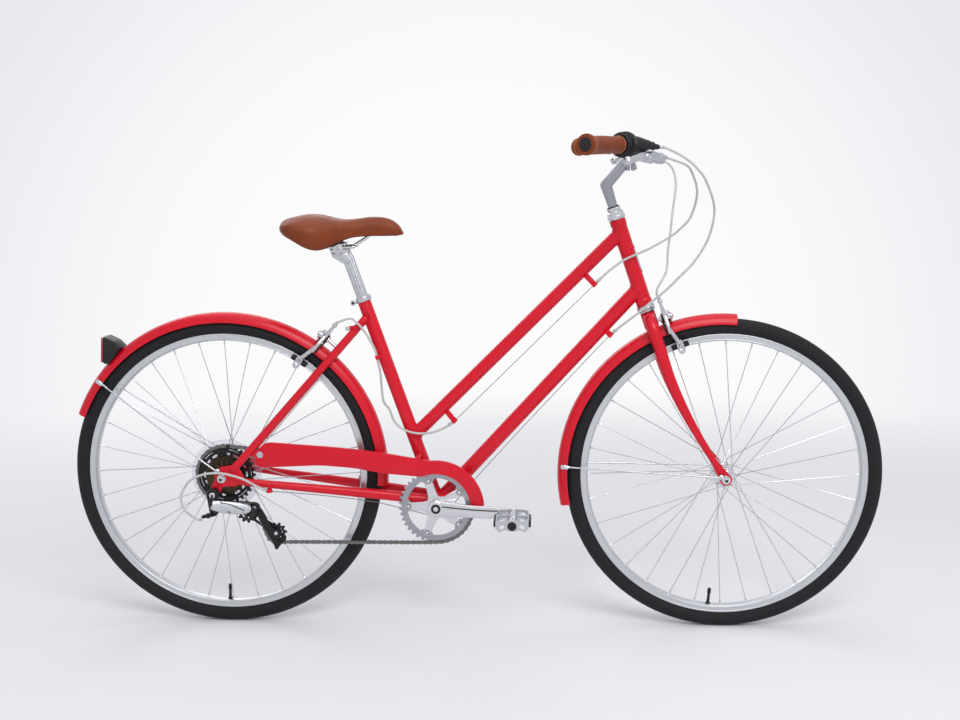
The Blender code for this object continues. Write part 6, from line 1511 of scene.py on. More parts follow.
def barrel_parts(start, end, radius, nut_radius):
    """An adjusting barrel: a stem, its knurled nut and a tapered end."""
    length = (end - start).length
    matrix = frame_matrix(start, end - start)
    stem = [
        (0.0, 0.0), (radius, 0.0), (radius, length * 0.30), (radius * 0.82, length * 0.32),
        (radius * 0.82, length * 0.62), (radius, length * 0.64), (radius * 0.92, length - 0.001),
        (radius * 0.6, length), (0.0, length),
    ]
    low, high = length * 0.34, length * 0.58
    shoulder = nut_radius * 0.92
    ring = [(radius * 0.7, low), (shoulder, low), (nut_radius, low + 0.0006), (nut_radius, high - 0.0006)]
    ring += [(shoulder, high), (radius * 0.7, high)]
    knurl = ribbed("knurl", ring, matrix, 22, nut_radius * 0.06, low, high)
    return [turned("stem", stem, matrix, 24, 0.0004), knurl]


def make_shifter():
    """Ribbed twist sleeve, and the domed housing with the stepped nose of the cable."""
    start, inward, forward = control_station(-1, 0.0)
    bore = BAR_RADIUS + GAP
    sleeve = [
        (bore, 0.0), (0.0212, 0.0), (0.0226, 0.0012), (0.0240, 0.0030), (0.0252, 0.0165), (0.0262, 0.0182),
        (0.0262, 0.0198), (bore, 0.0198),
    ]
    matrix = frame_matrix(start, inward, forward)
    twist = ribbed("twist_sleeve", sleeve, matrix, 36, 0.0011, 0.0025, 0.0170)
    add(twist, "twist_grip", "black_rubber", "shifter_twist")
    start = start + inward * (SHIFTER_TWIST_LENGTH + GAP)
    dome = [
        (bore, 0.0), (0.0252, 0.0), (0.0264, 0.0012), (0.0268, 0.0040), (0.0262, 0.0090), (0.0240, 0.0134),
        (0.0204, 0.0164), (0.0156, 0.0179), (bore, 0.0179),
    ]
    parts = [turned("dome", dome, frame_matrix(start, inward, forward), 56, 0.0006)]
    base, tip = shifter_nose()
    length = (tip - base).length
    nose = [
        (0.0, -0.014), (0.0150, -0.012), (0.0168, -0.006), (0.0166, 0.002), (0.0146, 0.012), (0.0126, 0.020),
        (0.0112, 0.0280), (0.0098, 0.0300), (0.0090, 0.0385), (0.0066, 0.0400), (0.0056, length - 0.006),
        (0.0042, length - 0.001), (0.0, length),
    ]
    parts.append(turned("nose", nose, frame_matrix(base, tip - base, UP), 32, 0.0008))
    add(joined("shifter_body", *parts), "steering", "black_plastic", "shifter_housing")


def shifter_nose():
    """Base of the shifter's nose and its tip, where the shift cable leaves."""
    start, inward, forward = control_station(-1, SHIFTER_TWIST_LENGTH + GAP + SHIFTER_BODY_LENGTH * 0.5)
    base = start + forward * 0.0215
    return base, base + inward * 0.0435 + forward * 0.0293 - UP * 0.0049


def lever_frame(side):
    """Clamp start and centre, and the pivot of a brake lever, with its directions."""
    start, inward, forward = control_station(side, SHIFTER_TWIST_LENGTH + SHIFTER_BODY_LENGTH + 2 * GAP)
    centre = start + inward * LEVER_CLAMP_LENGTH / 2
    return start, centre, centre + forward * 0.032 + inward * 0.004 - UP * 0.019, inward, forward


def brake_barrel(side):
    """Both ends of the barrel that a brake cable leaves a lever's bracket by."""
    _, _, pivot, inward, forward = lever_frame(side)
    start = pivot + inward * 0.012 + forward * 0.006
    return start, start + inward * 0.0477 + forward * 0.0063 - UP * 0.0070


def make_levers():
    """For each side a clamped bracket with its fork and barrel, and the blade that turns in it."""
    for side, label in SIDES:
        start, centre, pivot, inward, forward = lever_frame(side)
        bore = BAR_RADIUS + GAP
        ring = [(bore, 0.0), (0.0158, 0.0), (0.0161, 0.002), (0.0161, 0.012), (0.0158, 0.014), (bore, 0.014)]
        neck = frame_matrix(centre - UP * 0.019 + forward * 0.008, UP, forward)
        parts = [turned("clamp", ring, frame_matrix(start, inward), 44, 0.0009)]
        parts.append(block("neck", (0.026, 0.012, 0.010), neck, 0.003, 3))
        for step in (-1, 1):
            outline = capsule((-0.012, 0.0), (0.0085, 0.0), 0.0085, 0.0090)
            fork = frame_matrix(pivot + UP * step * 0.0070, UP, forward)
            parts.append(plate("fork", [outline], 0.0035, fork, 0.0008))
            parts.append(bolt("pin", pivot + UP * step * 0.0087, UP * step, 0.0046, 0.0018, step > 0))
        web = frame_matrix(pivot - forward * 0.0125, UP, forward)
        wall = frame_matrix(pivot + inward * 0.0110, UP, forward)
        parts.append(block("web", (0.006, 0.017, 0.0160), web, 0.0015))
        parts.append(block("wall", (0.027, 0.006, 0.0160), wall, 0.0018))
        parts.append(bolt("clamp_bolt", centre + forward * 0.0150 - UP * 0.007, forward, 0.0042, 0.0034))
        near, far = brake_barrel(side)
        snout = [near, near.lerp(far, 0.35), near.lerp(far, 0.75)]
        sizes = [(0.0078, 0.0070), (0.0072, 0.0066), 0.0060]
        parts.append(sweep("snout", snout, sizes, 20, across=UP, round_ends=True))
        parts += barrel_parts(near.lerp(far, 0.35), far, 0.0060, 0.0074)
        shell = [near - inward * 0.020 - UP * 0.003, near - UP * 0.0055, near.lerp(far, 0.45) - UP * 0.0075]
        shell.append(near.lerp(far, 0.72) - UP * 0.0080)
        shell = smooth_path(shell, 0.004)
        sizes = [(0.0070 + 0.0024 * math.sin(math.pi * k / len(shell)), 0.0085) for k in range(len(shell))]
        parts.append(sweep("shell", shell, sizes, 24, across=UP, round_ends=True))
        add(joined(f"lever_bracket_{label}", *parts), "steering", "satin_alloy", f"brake_bracket_{label}")
        tip = pivot - inward * 0.108 + forward * 0.022 - UP * 0.013
        knee = pivot - inward * 0.034 + forward * 0.014 - UP * 0.002
        path = smooth_path([pivot, knee, knee.lerp(tip, 0.5) + forward * 0.003, tip], 0.005)
        sizes = []
        for i in range(len(path)):
            share = i / (len(path) - 1)
            swell = math.sin(math.pi * min(1.0, max(0.0, (share - 0.12) / 0.88)))
            sizes.append((0.0052 + 0.0024 * swell, 0.0044 - 0.0010 * math.sin(math.pi * share)))
        pieces = [sweep("blade", path, sizes, 24, across=UP, round_ends=True), ball("tip", tip, 0.0094)]
        pieces.append(rod("boss", pivot - UP * 0.0047, pivot + UP * 0.0047, 0.0078, 28, edge=0.0008))
        add(joined(f"lever_blade_{label}", *pieces), f"{label}_lever", "satin_alloy", f"brake_lever_{label}")


# Brakes


def meet_circle(start, heading, centre, radius):
    """Where a line from start first comes this near to the centre, both seen from the side."""
    away = start - centre
    a = heading.x**2 + heading.z**2
    b = away.x * heading.x + away.z * heading.z
    c = away.x**2 + away.z**2 - radius**2
    return start - heading * ((b + math.sqrt(b * b - a * c)) / a)


def stay_line():
    """Direction of the seatstays in the side view, downwards."""
    top, _, low = seatstay_points(1)
    return Vector((low.x - top.x, 0.0, low.z - top.z)).normalized()


def bridge_middle():
    top, wide, _ = seatstay_points(1)
    point = meet_circle(top, wide - top, REAR_AXLE, REAR_FENDER_RADIUS + BRIDGE_CLEARANCE + BRIDGE_RADIUS)
    return Vector((point.x, 0.0, point.z))


def make_caliper(prefix, pivot, axis, down, axle, body, behind, lean):
    """Two arms on one bolt with their pads and spring; returns where its cable ends."""
    outside = FENDER_HALF_WIDTH + 0.010
    inner = RIM_WIDTH / 2 + PAD_CLEARANCE
    outer = outside - 0.006
    depth = outer - inner
    layer_step = BRAKE_ARM_THICKNESS + GAP
    front = 2 * layer_step
    cable_end = pivot + axis * (GAP + BRAKE_ARM_THICKNESS / 2) + RIGHT * CABLE_LUG_OUT
    cable_end -= down * (CABLE_LUG_RISE + GAP)
    pinch = pivot + axis * front + RIGHT * 0.0265 - down * 0.0045
    for side, label, layer in ((-1, "right", 0), (1, "left", 1)):
        middle = pivot + axis * (layer * layer_step + GAP + BRAKE_ARM_THICKNESS / 2)
        local = frame_matrix(middle, axis, RIGHT)
        pad_point = meet_circle(middle, (down + axis * lean).normalized(), axle, PAD_RADIUS)
        reach = (pad_point - middle).dot(down)
        if side < 0:
            shape = [(-0.009, 0.004), (-0.007, -0.008), (0.008, -0.012), (0.026, -0.034), (0.034, -0.033)]
            shape.append((0.028, -0.010))
        else:
            shape = [(-0.030, 0.002), (-0.032, -0.009), (-0.020, -0.012), (0.012, -0.011), (0.030, -0.004)]
        shape += [
            (outside + 0.003, 0.014), (outside + 0.002, reach * 0.5), (outside - 0.007, reach * 0.5),
            (outside - 0.006, 0.020), (0.012, 0.009), (-0.002, 0.010),
        ]
        flat = local.to_3x3().inverted()
        outline = [(flat @ (LEFT * (side * out) + down * low)).to_2d() for out, low in shape]
        hole = circle((0.0, 0.0), BRAKE_BOLT_RADIUS + GAP, 24)
        across = LEFT * side
        radial = (pad_point - axle).normalized()
        along = radial.cross(RIGHT)
        eye = [
            capsule((-0.0100, 0.0), (0.0075, 0.0), 0.0076, 0.0072),
            capsule((-0.0062, 0.0), (0.0045, 0.0), 0.0040, 0.0038),
        ]
        high = middle + across * (outside - 0.0025) + down * reach * 0.34
        low = pad_point + across * (outer + 0.0010) + radial * 0.0070
        bend = high.lerp(low, 0.5) + across * 0.0012
        limb = smooth_path([high, bend, low], 0.004)
        holder = frame_matrix(pad_point + across * (inner + depth * 0.84), radial, along)
        behind_pad = frame_matrix(pad_point + across * (outer + 0.0012), across, radial)
        parts = [
            plate("arm", [fillet(outline, 0.004, 4), hole], BRAKE_ARM_THICKNESS, local, 0.0014),
            sweep("limb", limb, (0.0048, 0.0036), 18, across=axis, round_ends=True),
            plate("eye", eye, 0.0042, behind_pad, 0.0009),
            nut("pad_nut", pad_point + across * (outer + 0.0020), across, 0.0036, 0.0050, 0.0007),
            block("holder", (PAD_LENGTH * 0.42, depth * 0.34, 0.0088), holder, 0.0014),
        ]
        if side < 0:
            parts += barrel_parts(cable_end - down * 0.016, cable_end + down * 0.006, 0.0036, 0.0050)
        else:
            parts.append(bolt("pinch_bolt", pinch, axis, 0.0046, 0.0042))
            washer = (pinch - axis * 0.0004, pinch + axis * 0.0010)
            parts.append(rod("pinch_washer", *washer, 0.0056, 24, edge=0.0003))
        moving = f"{prefix}_{label}_arm"
        add(joined(f"{prefix}_caliper_{label}", *parts), moving, "satin_alloy", f"{prefix}_brake_arm_{label}")
        place = frame_matrix(pad_point + across * (inner + depth * 0.44), radial, along)
        rubber = block(f"{prefix}_pad_{label}", (PAD_LENGTH, depth * 0.88, PAD_HEIGHT), place, 0.0024, 3)
        add(rubber, moving, "black_rubber")
    bolt_end = pivot + axis * (front + GAP)
    fixed = [rod("bar", pivot - axis * behind, bolt_end, BRAKE_BOLT_RADIUS, 20)]
    fixed.append(nut("bolt_nut", bolt_end, axis, 0.0068, 0.0052, 0.0010))
    fixed.append(rod("spacer", pivot - axis * 0.0070, pivot - axis * 0.0002, 0.0085, 28, edge=0.0008))
    fixed.append(rod("hub", pivot - axis * 0.0010, bolt_end + axis * 0.0006, 0.0112, 32, edge=0.0016))
    spring = []
    for out, low in ((-0.030, 0.034), (-0.026, 0.014), (-0.011, -0.001), (0.0, -0.0085)):
        spring.append(pivot - axis * 0.0022 + LEFT * out + down * low)
    spring += [Vector((p.x, -p.y, p.z)) for p in reversed(spring[:-1])]
    dark = [sweep("spring", smooth_path(spring, 0.003), 0.0015, 10, round_ends=True)]
    for depth in (-0.0012, BRAKE_ARM_THICKNESS + GAP * 0.5, front + 0.0002):
        washer = (pivot + axis * (depth - 0.0004), pivot + axis * (depth + 0.0006))
        dark.append(rod("washer", *washer, 0.0128, 32))
    add(joined(f"{prefix}_brake_spring", *dark), body, "dark_steel")
    wire = [cable_end - down * 0.004, cable_end + down * 0.010, pinch + axis * 0.0016 - down * 0.006]
    wire.append(pinch + axis * 0.0016 + down * 0.010)
    fixed.append(sweep("wire", smooth_path(wire, 0.003), 0.0008, 8, round_ends=True))
    add(joined(f"{prefix}_brake_bolt", *fixed), body, "chrome")
    return cable_end


def make_calipers():
    """Both brakes; returns where the front and the rear cable end."""
    pivot = steering_point(FRONT_BRAKE_DROP, FRONT_BRAKE_FORWARD)
    front_end = make_caliper("front", pivot, STEER_FORWARD, -STEERING, FRONT_AXLE, "steering", 0.034, 0.19)
    line = stay_line()
    axis = Vector((line.z, 0.0, -line.x))
    pivot = bridge_middle() + axis * REAR_BRAKE_BACK
    return front_end, make_caliper("rear", pivot, axis, line, REAR_AXLE, "frame", 0.046, 0.12)


# Drive


def pitch_radius(teeth):
    return CHAIN_PITCH / (2 * math.sin(math.pi / teeth))


class ChainRoute:
    """The chain's closed path over its four wheels, in whole links.

    The wheels follow one another along the lower run and the upper run: each has its centre, tooth
    count, the y that the chain has there, and +1 where the chain goes round it counter-clockwise.
    """

    def __init__(self, wheels):
        self.wheels = wheels
        self.lines = []
        for first, second in zip(wheels, wheels[1:] + wheels[:1]):
            self.lines.append(self.tangent(first, second))
        self.place_pins()

    @staticmethod
    def tangent(first, second):
        (c1, n1, _, t1), (c2, n2, _, t2) = first, second
        r1, r2 = t1 * pitch_radius(n1), t2 * pitch_radius(n2)
        apart = c2 - c1
        heading = math.atan2(apart.z, apart.x)
        lean = math.asin((r2 - r1) / Vector((apart.x, apart.z)).length)
        angle = heading - lean
        normal = Vector((math.sin(angle), 0.0, -math.cos(angle)))
        return c1 + normal * r1, c2 + normal * r2

    def place_pins(self):
        """Angles of each wheel's arc, then a pin at each whole link along the path."""
        self.arcs = []
        count = len(self.wheels)
        for i, (centre, teeth, _, turn) in enumerate(self.wheels):
            arrive = self.lines[i - 1][1] - centre
            leave = self.lines[i][0] - centre
            first = math.atan2(arrive.z, arrive.x)
            last = math.atan2(leave.z, leave.x)
            swept = (last - first) * turn % (2 * math.pi)
            self.arcs.append((first, swept, teeth))
        arc_links = [swept * teeth / (2 * math.pi) for _, swept, teeth in self.arcs]
        lengths = [(b - a).length for a, b in self.lines]
        whole = round(sum(arc_links) + sum(lengths) / CHAIN_PITCH)
        pace = (whole - sum(arc_links)) / sum(lengths)
        self.marks = []
        total = 0.0
        for i in range(count):
            self.marks.append(("arc", i, total, total + arc_links[i]))
            total += arc_links[i]
            self.marks.append(("line", i, total, total + lengths[i] * pace))
            total += lengths[i] * pace
        self.links = whole

    def at(self, link):
        """Position and heading at this many links along the path."""
        link = link % self.links
        for kind, i, start, end in self.marks:
            if link < end or (kind, i) == (self.marks[-1][0], self.marks[-1][1]):
                share = (link - start) / (end - start)
                centre, teeth, y, turn = self.wheels[i]
                if kind == "arc":
                    first, swept, _ = self.arcs[i]
                    angle = first + turn * swept * share
                    radial = Vector((math.cos(angle), 0.0, math.sin(angle)))
                    place = centre + radial * pitch_radius(teeth)
                    place.y = y
                    return place, Vector((-radial.z, 0.0, radial.x)) * turn
                a, b = self.lines[i]
                next_y = self.wheels[(i + 1) % len(self.wheels)][2]
                place = a.lerp(b, share)
                ends = CHAIN_STRAIGHT_OUT / (b - a).length
                crossed = (share - ends) / (1 - 2 * ends)
                place.y = y + (next_y - y) * min(1.0, max(0.0, crossed)) if next_y != y else y
                return place, (b - a).normalized()
        raise ValueError("past the chain's end")

    def phase(self, wheel):
        """Angle of a pin that lies on this wheel."""
        _, _, start, end = self.marks[2 * wheel]
        link = math.ceil(start + 0.25 * (end - start))
        first, swept, _ = self.arcs[wheel]
        return first + self.wheels[wheel][3] * swept * (link - start) / (end - start)


def chain_wheels():
    apart = pitch_radius(COG_TEETH[0]) + pitch_radius(PULLEY_TEETH) + GUIDE_CLEARANCE
    guide = REAR_AXLE + direction(GUIDE_ANGLE) * apart
    tension = guide + direction(TENSION_ANGLE) * PULLEY_DISTANCE
    return [
        (REAR_AXLE, COG_TEETH[0], FIRST_COG_Y, 1),
        (guide, PULLEY_TEETH, FIRST_COG_Y, -1),
        (tension, PULLEY_TEETH, FIRST_COG_Y, 1),
        (BRACKET, RING_TEETH, RING_Y, 1),
    ]


def tooth_outline(teeth, phase, height):
    """Outline of a sprocket whose tooth gaps hold the chain's rollers, the first at this angle."""
    pitch = pitch_radius(teeth)
    half = ((-0.0060, -0.0041), (-0.0048, -0.0037), (-0.0039, -0.0024), (-0.0030, -0.0004), (-0.0011, height))
    shape = [*half, *((-offset, rise) for offset, rise in reversed(half))]
    points = []
    for i in range(teeth):
        middle = phase + 2 * math.pi * (i + 0.5) / teeth
        for offset, rise in shape:
            angle = middle + offset / pitch
            points.append(((pitch + rise) * math.cos(angle), (pitch + rise) * math.sin(angle)))
    return points


def on_circle(radius, degrees):
    angle = math.radians(degrees)
    return radius * math.cos(angle), radius * math.sin(angle)


def arc_band(inner, outer, start, end):
    """Outline of a piece of a ring."""
    steps = 8
    turns = [start + (end - start) * i / steps for i in range(steps + 1)]
    return [on_circle(outer, a) for a in turns] + [on_circle(inner, a) for a in reversed(turns)]


def add_prism(shape, outline, offset):
    """Adds a closed plate to a mesh: an outline and the same one moved by the offset."""
    low = [shape.verts.new(p) for p in outline]
    high = [shape.verts.new(p + offset) for p in outline]
    shape.faces.new(low)
    shape.faces.new(high)
    for i in range(len(low)):
        j = (i + 1) % len(low)
        shape.faces.new((low[i], low[j], high[j], high[i]))


def make_chain(route):
    """Every link: two outer or two inner plates, with a pin and a roller at each joint."""
    plates, rollers = bmesh.new(), bmesh.new()
    for k in range(route.links):
        a, b = route.at(k)[0], route.at(k + 1)[0]
        along = Vector((b.x - a.x, 0.0, b.z - a.z)).normalized()
        up = Vector((-along.z, 0.0, along.x))
        outline = []
        for centre, way in ((a, -1), (b, 1)):
            for i in range(7):
                angle = math.radians(-75 + 25 * i)
                turn = along * math.cos(angle) + up * math.sin(angle)
                outline.append(centre + turn * (way * 0.0042))
            outline.append(a.lerp(b, 0.5) + up * way * 0.0028)
        near = 0.0026 if k % 2 == 0 else 0.0016
        for side in (-1, 1):
            add_prism(plates, [p + LEFT * (side * near) for p in outline], LEFT * (side * 0.0009))
        for radius, half, sides, shape in ((0.0017, 0.0039, 8, plates), (0.0036, 0.0015, 10, rollers)):
            ring = []
            for i in range(sides):
                angle = 2 * math.pi * i / sides
                turn = along * math.cos(angle) + up * math.sin(angle)
                ring.append(a + turn * radius - LEFT * half)
            add_prism(shape, ring, LEFT * (2 * half))
    for shape in (plates, rollers):
        bmesh.ops.recalc_face_normals(shape, faces=shape.faces)
    add(as_object("chain_plates", plates), "frame", "chain_grey", "chain", sharp=30)
    add(as_object("chain_rollers", rollers), "frame", "dark_steel", sharp=50)


COG_BORE = 0.0185


def make_cogs(route):
    """Six brown cogs with their body, and the slotted black one behind them."""
    outline = tooth_outline(COG_TEETH[0], route.phase(0), TOOTH_HEIGHT)
    holes = [circle((0.0, 0.0), 0.0200, 40)]
    for k in range(6):
        for angle, spread in ((60 * k + 1, 5.4), (60 * k + 22, 2.4)):
            ends = [on_circle(0.0472, angle + turn) for turn in (-spread, spread)]
            holes.append(capsule(*ends, 0.0026, 0.0026, 6))
    for angle in (8, 70, 131, 198, 250, 310):
        holes.append(arc_band(0.0562, 0.0576, angle - 12, angle + 12))
    matrix = across_bike(REAR_AXLE, FIRST_COG_Y)
    largest = plate("largest_cog", [outline, *holes], COG_THICKNESS, matrix, 0.0003)
    add(largest, "freewheel", "black_metal", "freewheel_cogs")
    parts = []
    for i, teeth in enumerate(COG_TEETH[1:], 1):
        y = FIRST_COG_Y - i * COG_SPACING
        inner = pitch_radius(COG_TEETH[i + 1]) - 0.009 if i + 1 < len(COG_TEETH) else COG_BORE
        inner = max(inner, COG_BORE)
        outlines = [tooth_outline(teeth, 0.37 * i, 0.0024), circle((0.0, 0.0), inner, 40)]
        parts.append(plate(f"cog_{teeth}", outlines, COG_THICKNESS, across_bike(REAR_AXLE, y), 0.0003))
        if inner > COG_BORE:
            web = [circle((0.0, 0.0), inner + 0.001, 40), circle((0.0, 0.0), COG_BORE, 32)]
            parts.append(plate("web", web, COG_THICKNESS * 0.6, across_bike(REAR_AXLE, y), 0.0002))
    add(joined("brown_cogs", *parts), "freewheel", "brown_steel", sharp=30)
    outer = -FIRST_COG_Y + 6 * COG_SPACING
    body = [(0.0163, 0.0242), (0.0190, 0.0242), (0.0190, outer + 0.0008), (0.0163, outer + 0.0008)]
    cap = [
        (0.0070, outer - 0.001), (0.0150, outer - 0.001), (0.0158, outer + 0.0012), (0.0150, outer + 0.0020),
        (0.0070, outer + 0.0012),
    ]
    parts = [turned("body", body, across_bike(REAR_AXLE), 48, 0.0006)]
    parts.append(turned("cap", cap, across_bike(REAR_AXLE), 48, 0.0004))
    add(joined("freewheel_body", *parts), "freewheel", "dark_steel")


def make_spoke_guard():
    """Clear plastic disc between the cogs and the spokes."""
    disc = [
        (0.0262, 0.0232), (0.0500, 0.0232), (0.0765, 0.0233), (0.0780, 0.0230), (0.0786, 0.0236),
        (0.0765, 0.0243), (0.0500, 0.0242), (0.0262, 0.0242),
    ]
    add(turned("spoke_guard", disc, across_bike(REAR_AXLE), 96), "rear_wheel", "clear_plastic")


def spider_angle(i):
    """The crank arm points between two of the spider's five arms."""
    return CRANK_ANGLE + 36.0 + 72.0 * i


def make_ring(route):
    """Chainring with five rounded tabs for its bolts, and the bolts."""
    hole, bolts, seats = [], [], []
    for i in range(5):
        angle = spider_angle(i)
        for turn in (-48, -36, -24, -13.5):
            hole.append((*on_circle(RING_INNER_RADIUS, angle + turn), 0.002))
        for turn in (-8.5, -3.0, 3.0, 8.5):
            reach = RING_TAB_RADIUS + (0.0020 if abs(turn) > 5 else 0.0)
            hole.append((*on_circle(reach, angle + turn), 0.003))
        hole.append((*on_circle(RING_INNER_RADIUS, angle + 13.5), 0.002))
        x, z = on_circle(BOLT_CIRCLE / 2, angle)
        place = BRACKET + Vector((x, 0.0, z))
        face = place + RIGHT * (-RING_Y + RING_THICKNESS / 2 + GAP + SPIDER_THICKNESS)
        back = place + RIGHT * (-RING_Y - RING_THICKNESS / 2)
        bolts.append(bolt("ring_bolt", face + RIGHT * 0.0004, RIGHT, 0.0044, 0.0012))
        bolts.append(bolt("ring_nut", back, -RIGHT, 0.0062, 0.0010, False))
        seats.append(rod("seat", face - RIGHT * 0.001, face + RIGHT * 0.0004, 0.0060, 24, edge=0.0002))
    outline = tooth_outline(RING_TEETH, route.phase(3), 0.0022)
    matrix = across_bike(BRACKET, RING_Y)
    ring = plate("chainring_plate", [outline, fillet(hole, 0.002, 3)], RING_THICKNESS, matrix, 0.0004)
    add(ring, "crankset", "ring_alloy", "chainring", sharp=30)
    add(joined("ring_bolts", *bolts), "crankset", "chrome")
    add(joined("ring_bolt_seats", *seats), "crankset", "dark_steel")


def crank_heading(side):
    """Direction of a crank arm; the two point opposite ways."""
    return direction(CRANK_ANGLE if side < 0 else CRANK_ANGLE + 180.0)


def crank_height(share):
    """Half the height of a crank arm at this share of its length."""
    return 0.0172 - 0.0042 * share - 0.0012 * math.sin(math.pi * share)


def crank_sag(share):
    """How far a crank arm's middle is below the straight line from its boss to its eye."""
    return 0.0022 * math.sin(math.pi * share)


def crank_section(h, t):
    """Section of a crank arm, (up, out) from its middle, from its half height and half thickness.

    There is a groove along its outer face.
    """
    corners = [
        (-h + 0.003, -t), (h - 0.003, -t), (h, -t + 0.003), (h, t - 0.0050), (h - 0.0015, t - 0.0030),
        (h * 0.46, t - 0.0006), (h * 0.42, t - 0.0024), (h * 0.32, t - 0.0024), (h * 0.28, t - 0.0002),
        (0.0, t), (-h + 0.004, t - 0.0003), (-h + 0.0012, t - 0.0015), (-h, t - 0.0040), (-h, -t + 0.003),
    ]
    return fillet(corners, 0.0009, 2)


def make_spider():
    """The right crank's five arms that hold the chainring."""
    outline = []
    for i in range(5):
        angle = spider_angle(i)
        out = Vector(on_circle(1.0, angle))
        across = Vector((-out.y, out.x))
        outline.append((*on_circle(0.0200, angle - 36.0), 0.014))
        for reach, half in ((0.060, -0.0078), (0.069, -0.0052), (0.069, 0.0052), (0.060, 0.0078)):
            outline.append((*(out * reach + across * half), 0.004))
    y = RING_Y - RING_THICKNESS / 2 - GAP - SPIDER_THICKNESS / 2
    return plate("spider", [fillet(outline, 0.004, 6)], SPIDER_THICKNESS, across_bike(BRACKET, y), 0.0014)


def make_crank(side, label):
    """Arm with its boss and eye and the pedal's spindle; the right one has the spider."""
    heading = crank_heading(side)
    outward = LEFT * side
    up = -heading.cross(outward)
    end = BRACKET + heading * CRANK_LENGTH
    near = BRACKET + outward * (0.0660 - CRANK_THICKNESS / 2)
    far = end + outward * (CRANK_OUTER_Y - CRANK_THICKNESS / 2)
    rings = []
    for share in (0.0, 0.06, 0.15, 0.30, 0.5, 0.7, 0.85, 0.94, 1.0):
        middle = near.lerp(far, share) - up * crank_sag(share)
        section = crank_section(crank_height(share), CRANK_THICKNESS / 2)
        rings.append([middle + up * a + outward * b for a, b in section])
    boss = [
        (0.0, 0.0385), (0.0162, 0.0385), (0.0178, 0.0405), (0.0182, 0.0610), (0.0176, 0.0652),
        (0.0160, 0.0664), (0.0, 0.0664),
    ]
    eye = [(0.0, 0.0668), (0.0126, 0.0668), (0.0140, 0.0684), (0.0140, 0.0788), (0.0128, 0.0802)]
    eye.append((0.0, 0.0802))
    parts = [
        loft("arm", rings),
        turned("boss", boss, frame_matrix(BRACKET, outward), 48, 0.0006),
        turned("eye", eye, frame_matrix(end, outward), 40, 0.0006),
        rod("spindle", end + outward * 0.067, end + outward * 0.165, PEDAL_SPINDLE_RADIUS, 20, edge=0.0005),
    ]
    if side < 0:
        parts.append(make_spider())
    else:
        parts.append(rod("axle", BRACKET + RIGHT * 0.058, BRACKET + outward * 0.049, SPINDLE_RADIUS, 24))
    add(joined(f"crank_{label}", *parts), "crankset", "polished_alloy", f"crank_arm_{label}")
    line = []
    for share in (0.07, 0.2, 0.4, 0.6, 0.8, 0.93):
        lift = crank_height(share) * 0.37 - crank_sag(share)
        line.append(near.lerp(far, share) + up * lift + outward * (CRANK_THICKNESS / 2 - 0.0012))
    line = smooth_path(line, 0.01)
    groove = sweep(f"crank_groove_{label}", line, (0.0012, 0.0009), 10, across=up, round_ends=True)
    add(groove, "crankset", "dark_steel")
    cap = [(0.0, 0.0), (0.0104, 0.0), (0.0108, 0.0008), (0.0100, 0.0022), (0.0062, 0.0018), (0.0, 0.0016)]
    place = frame_matrix(BRACKET + outward * 0.0663, outward)
    add(turned(f"crank_cap_{label}", cap, place, 40, 0.0004), "crankset", "black_plastic")
    centre = [(0.0, 0.0026), (0.0034, 0.0025), (0.0054, 0.0021), (0.0054, 0.0012), (0.0, 0.0012)]
    add(turned(f"crank_bolt_{label}", centre, place, 32, 0.0003), "crankset", "chrome")


def make_pedal(side, label):
    """Alloy cage with serrated side plates, its barrel, end cap and two reflector housings."""
    end = BRACKET + crank_heading(side) * CRANK_LENGTH
    outward = LEFT * side
    steps = 26
    outline = []
    for i in range(steps + 1):
        x = -0.0335 + 0.067 * i / steps
        outline.append((x, 0.0098 + 0.0024 * math.cos(math.pi * x / 0.067) + (0.0010 if i % 2 else 0.0)))
    low = ((0.0335, -0.0060), (0.0300, -0.0116), (0.0240, -0.0124), (0.0165, -0.0082), (0.0090, -0.0104))
    outline += [*low, (0.0, -0.0110), *((-x, z) for x, z in reversed(low))]
    holes = [circle((x, -0.0010), 0.0056, 24) for x in (-0.0215, 0.0215)]
    parts = []
    for y in (0.0849, 0.1310, 0.1770):
        parts.append(plate("side", [outline, *holes], 0.0032, across_bike(end, side * y), 0.0006))
    body = PEDAL_LENGTH / 2 + CRANK_OUTER_Y + 0.003
    for x in (-0.0335, 0.0335):
        place = Matrix.Translation(end + outward * body + Vector((x, 0.0, 0.0)))
        parts.append(block("bar", (0.0032, 0.0930, 0.0130), place, 0.0010))
    parts.append(rod("barrel", end + outward * 0.0840, end + outward * 0.1780, 0.0102, 32, edge=0.0008))
    add(joined(f"pedal_cage_{label}", *parts), f"{label}_pedal", "satin_alloy", f"pedal_{label}")
    cap = [(0.0, 0.0018), (0.0078, 0.0017), (0.0096, 0.0010), (0.0098, 0.0), (0.0, 0.0)]
    parts = [turned("cap", cap, frame_matrix(end + outward * 0.1782, outward), 32, 0.0003)]
    for x in (-0.0372, 0.0372):
        place = Matrix.Translation(end + outward * body + Vector((x, 0.0, -0.0005)))
        parts.append(block("reflector", (0.0050, 0.0600, 0.0125), place, 0.0010))
    add(joined(f"pedal_ends_{label}", *parts), f"{label}_pedal", "black_plastic")


# Derailleur


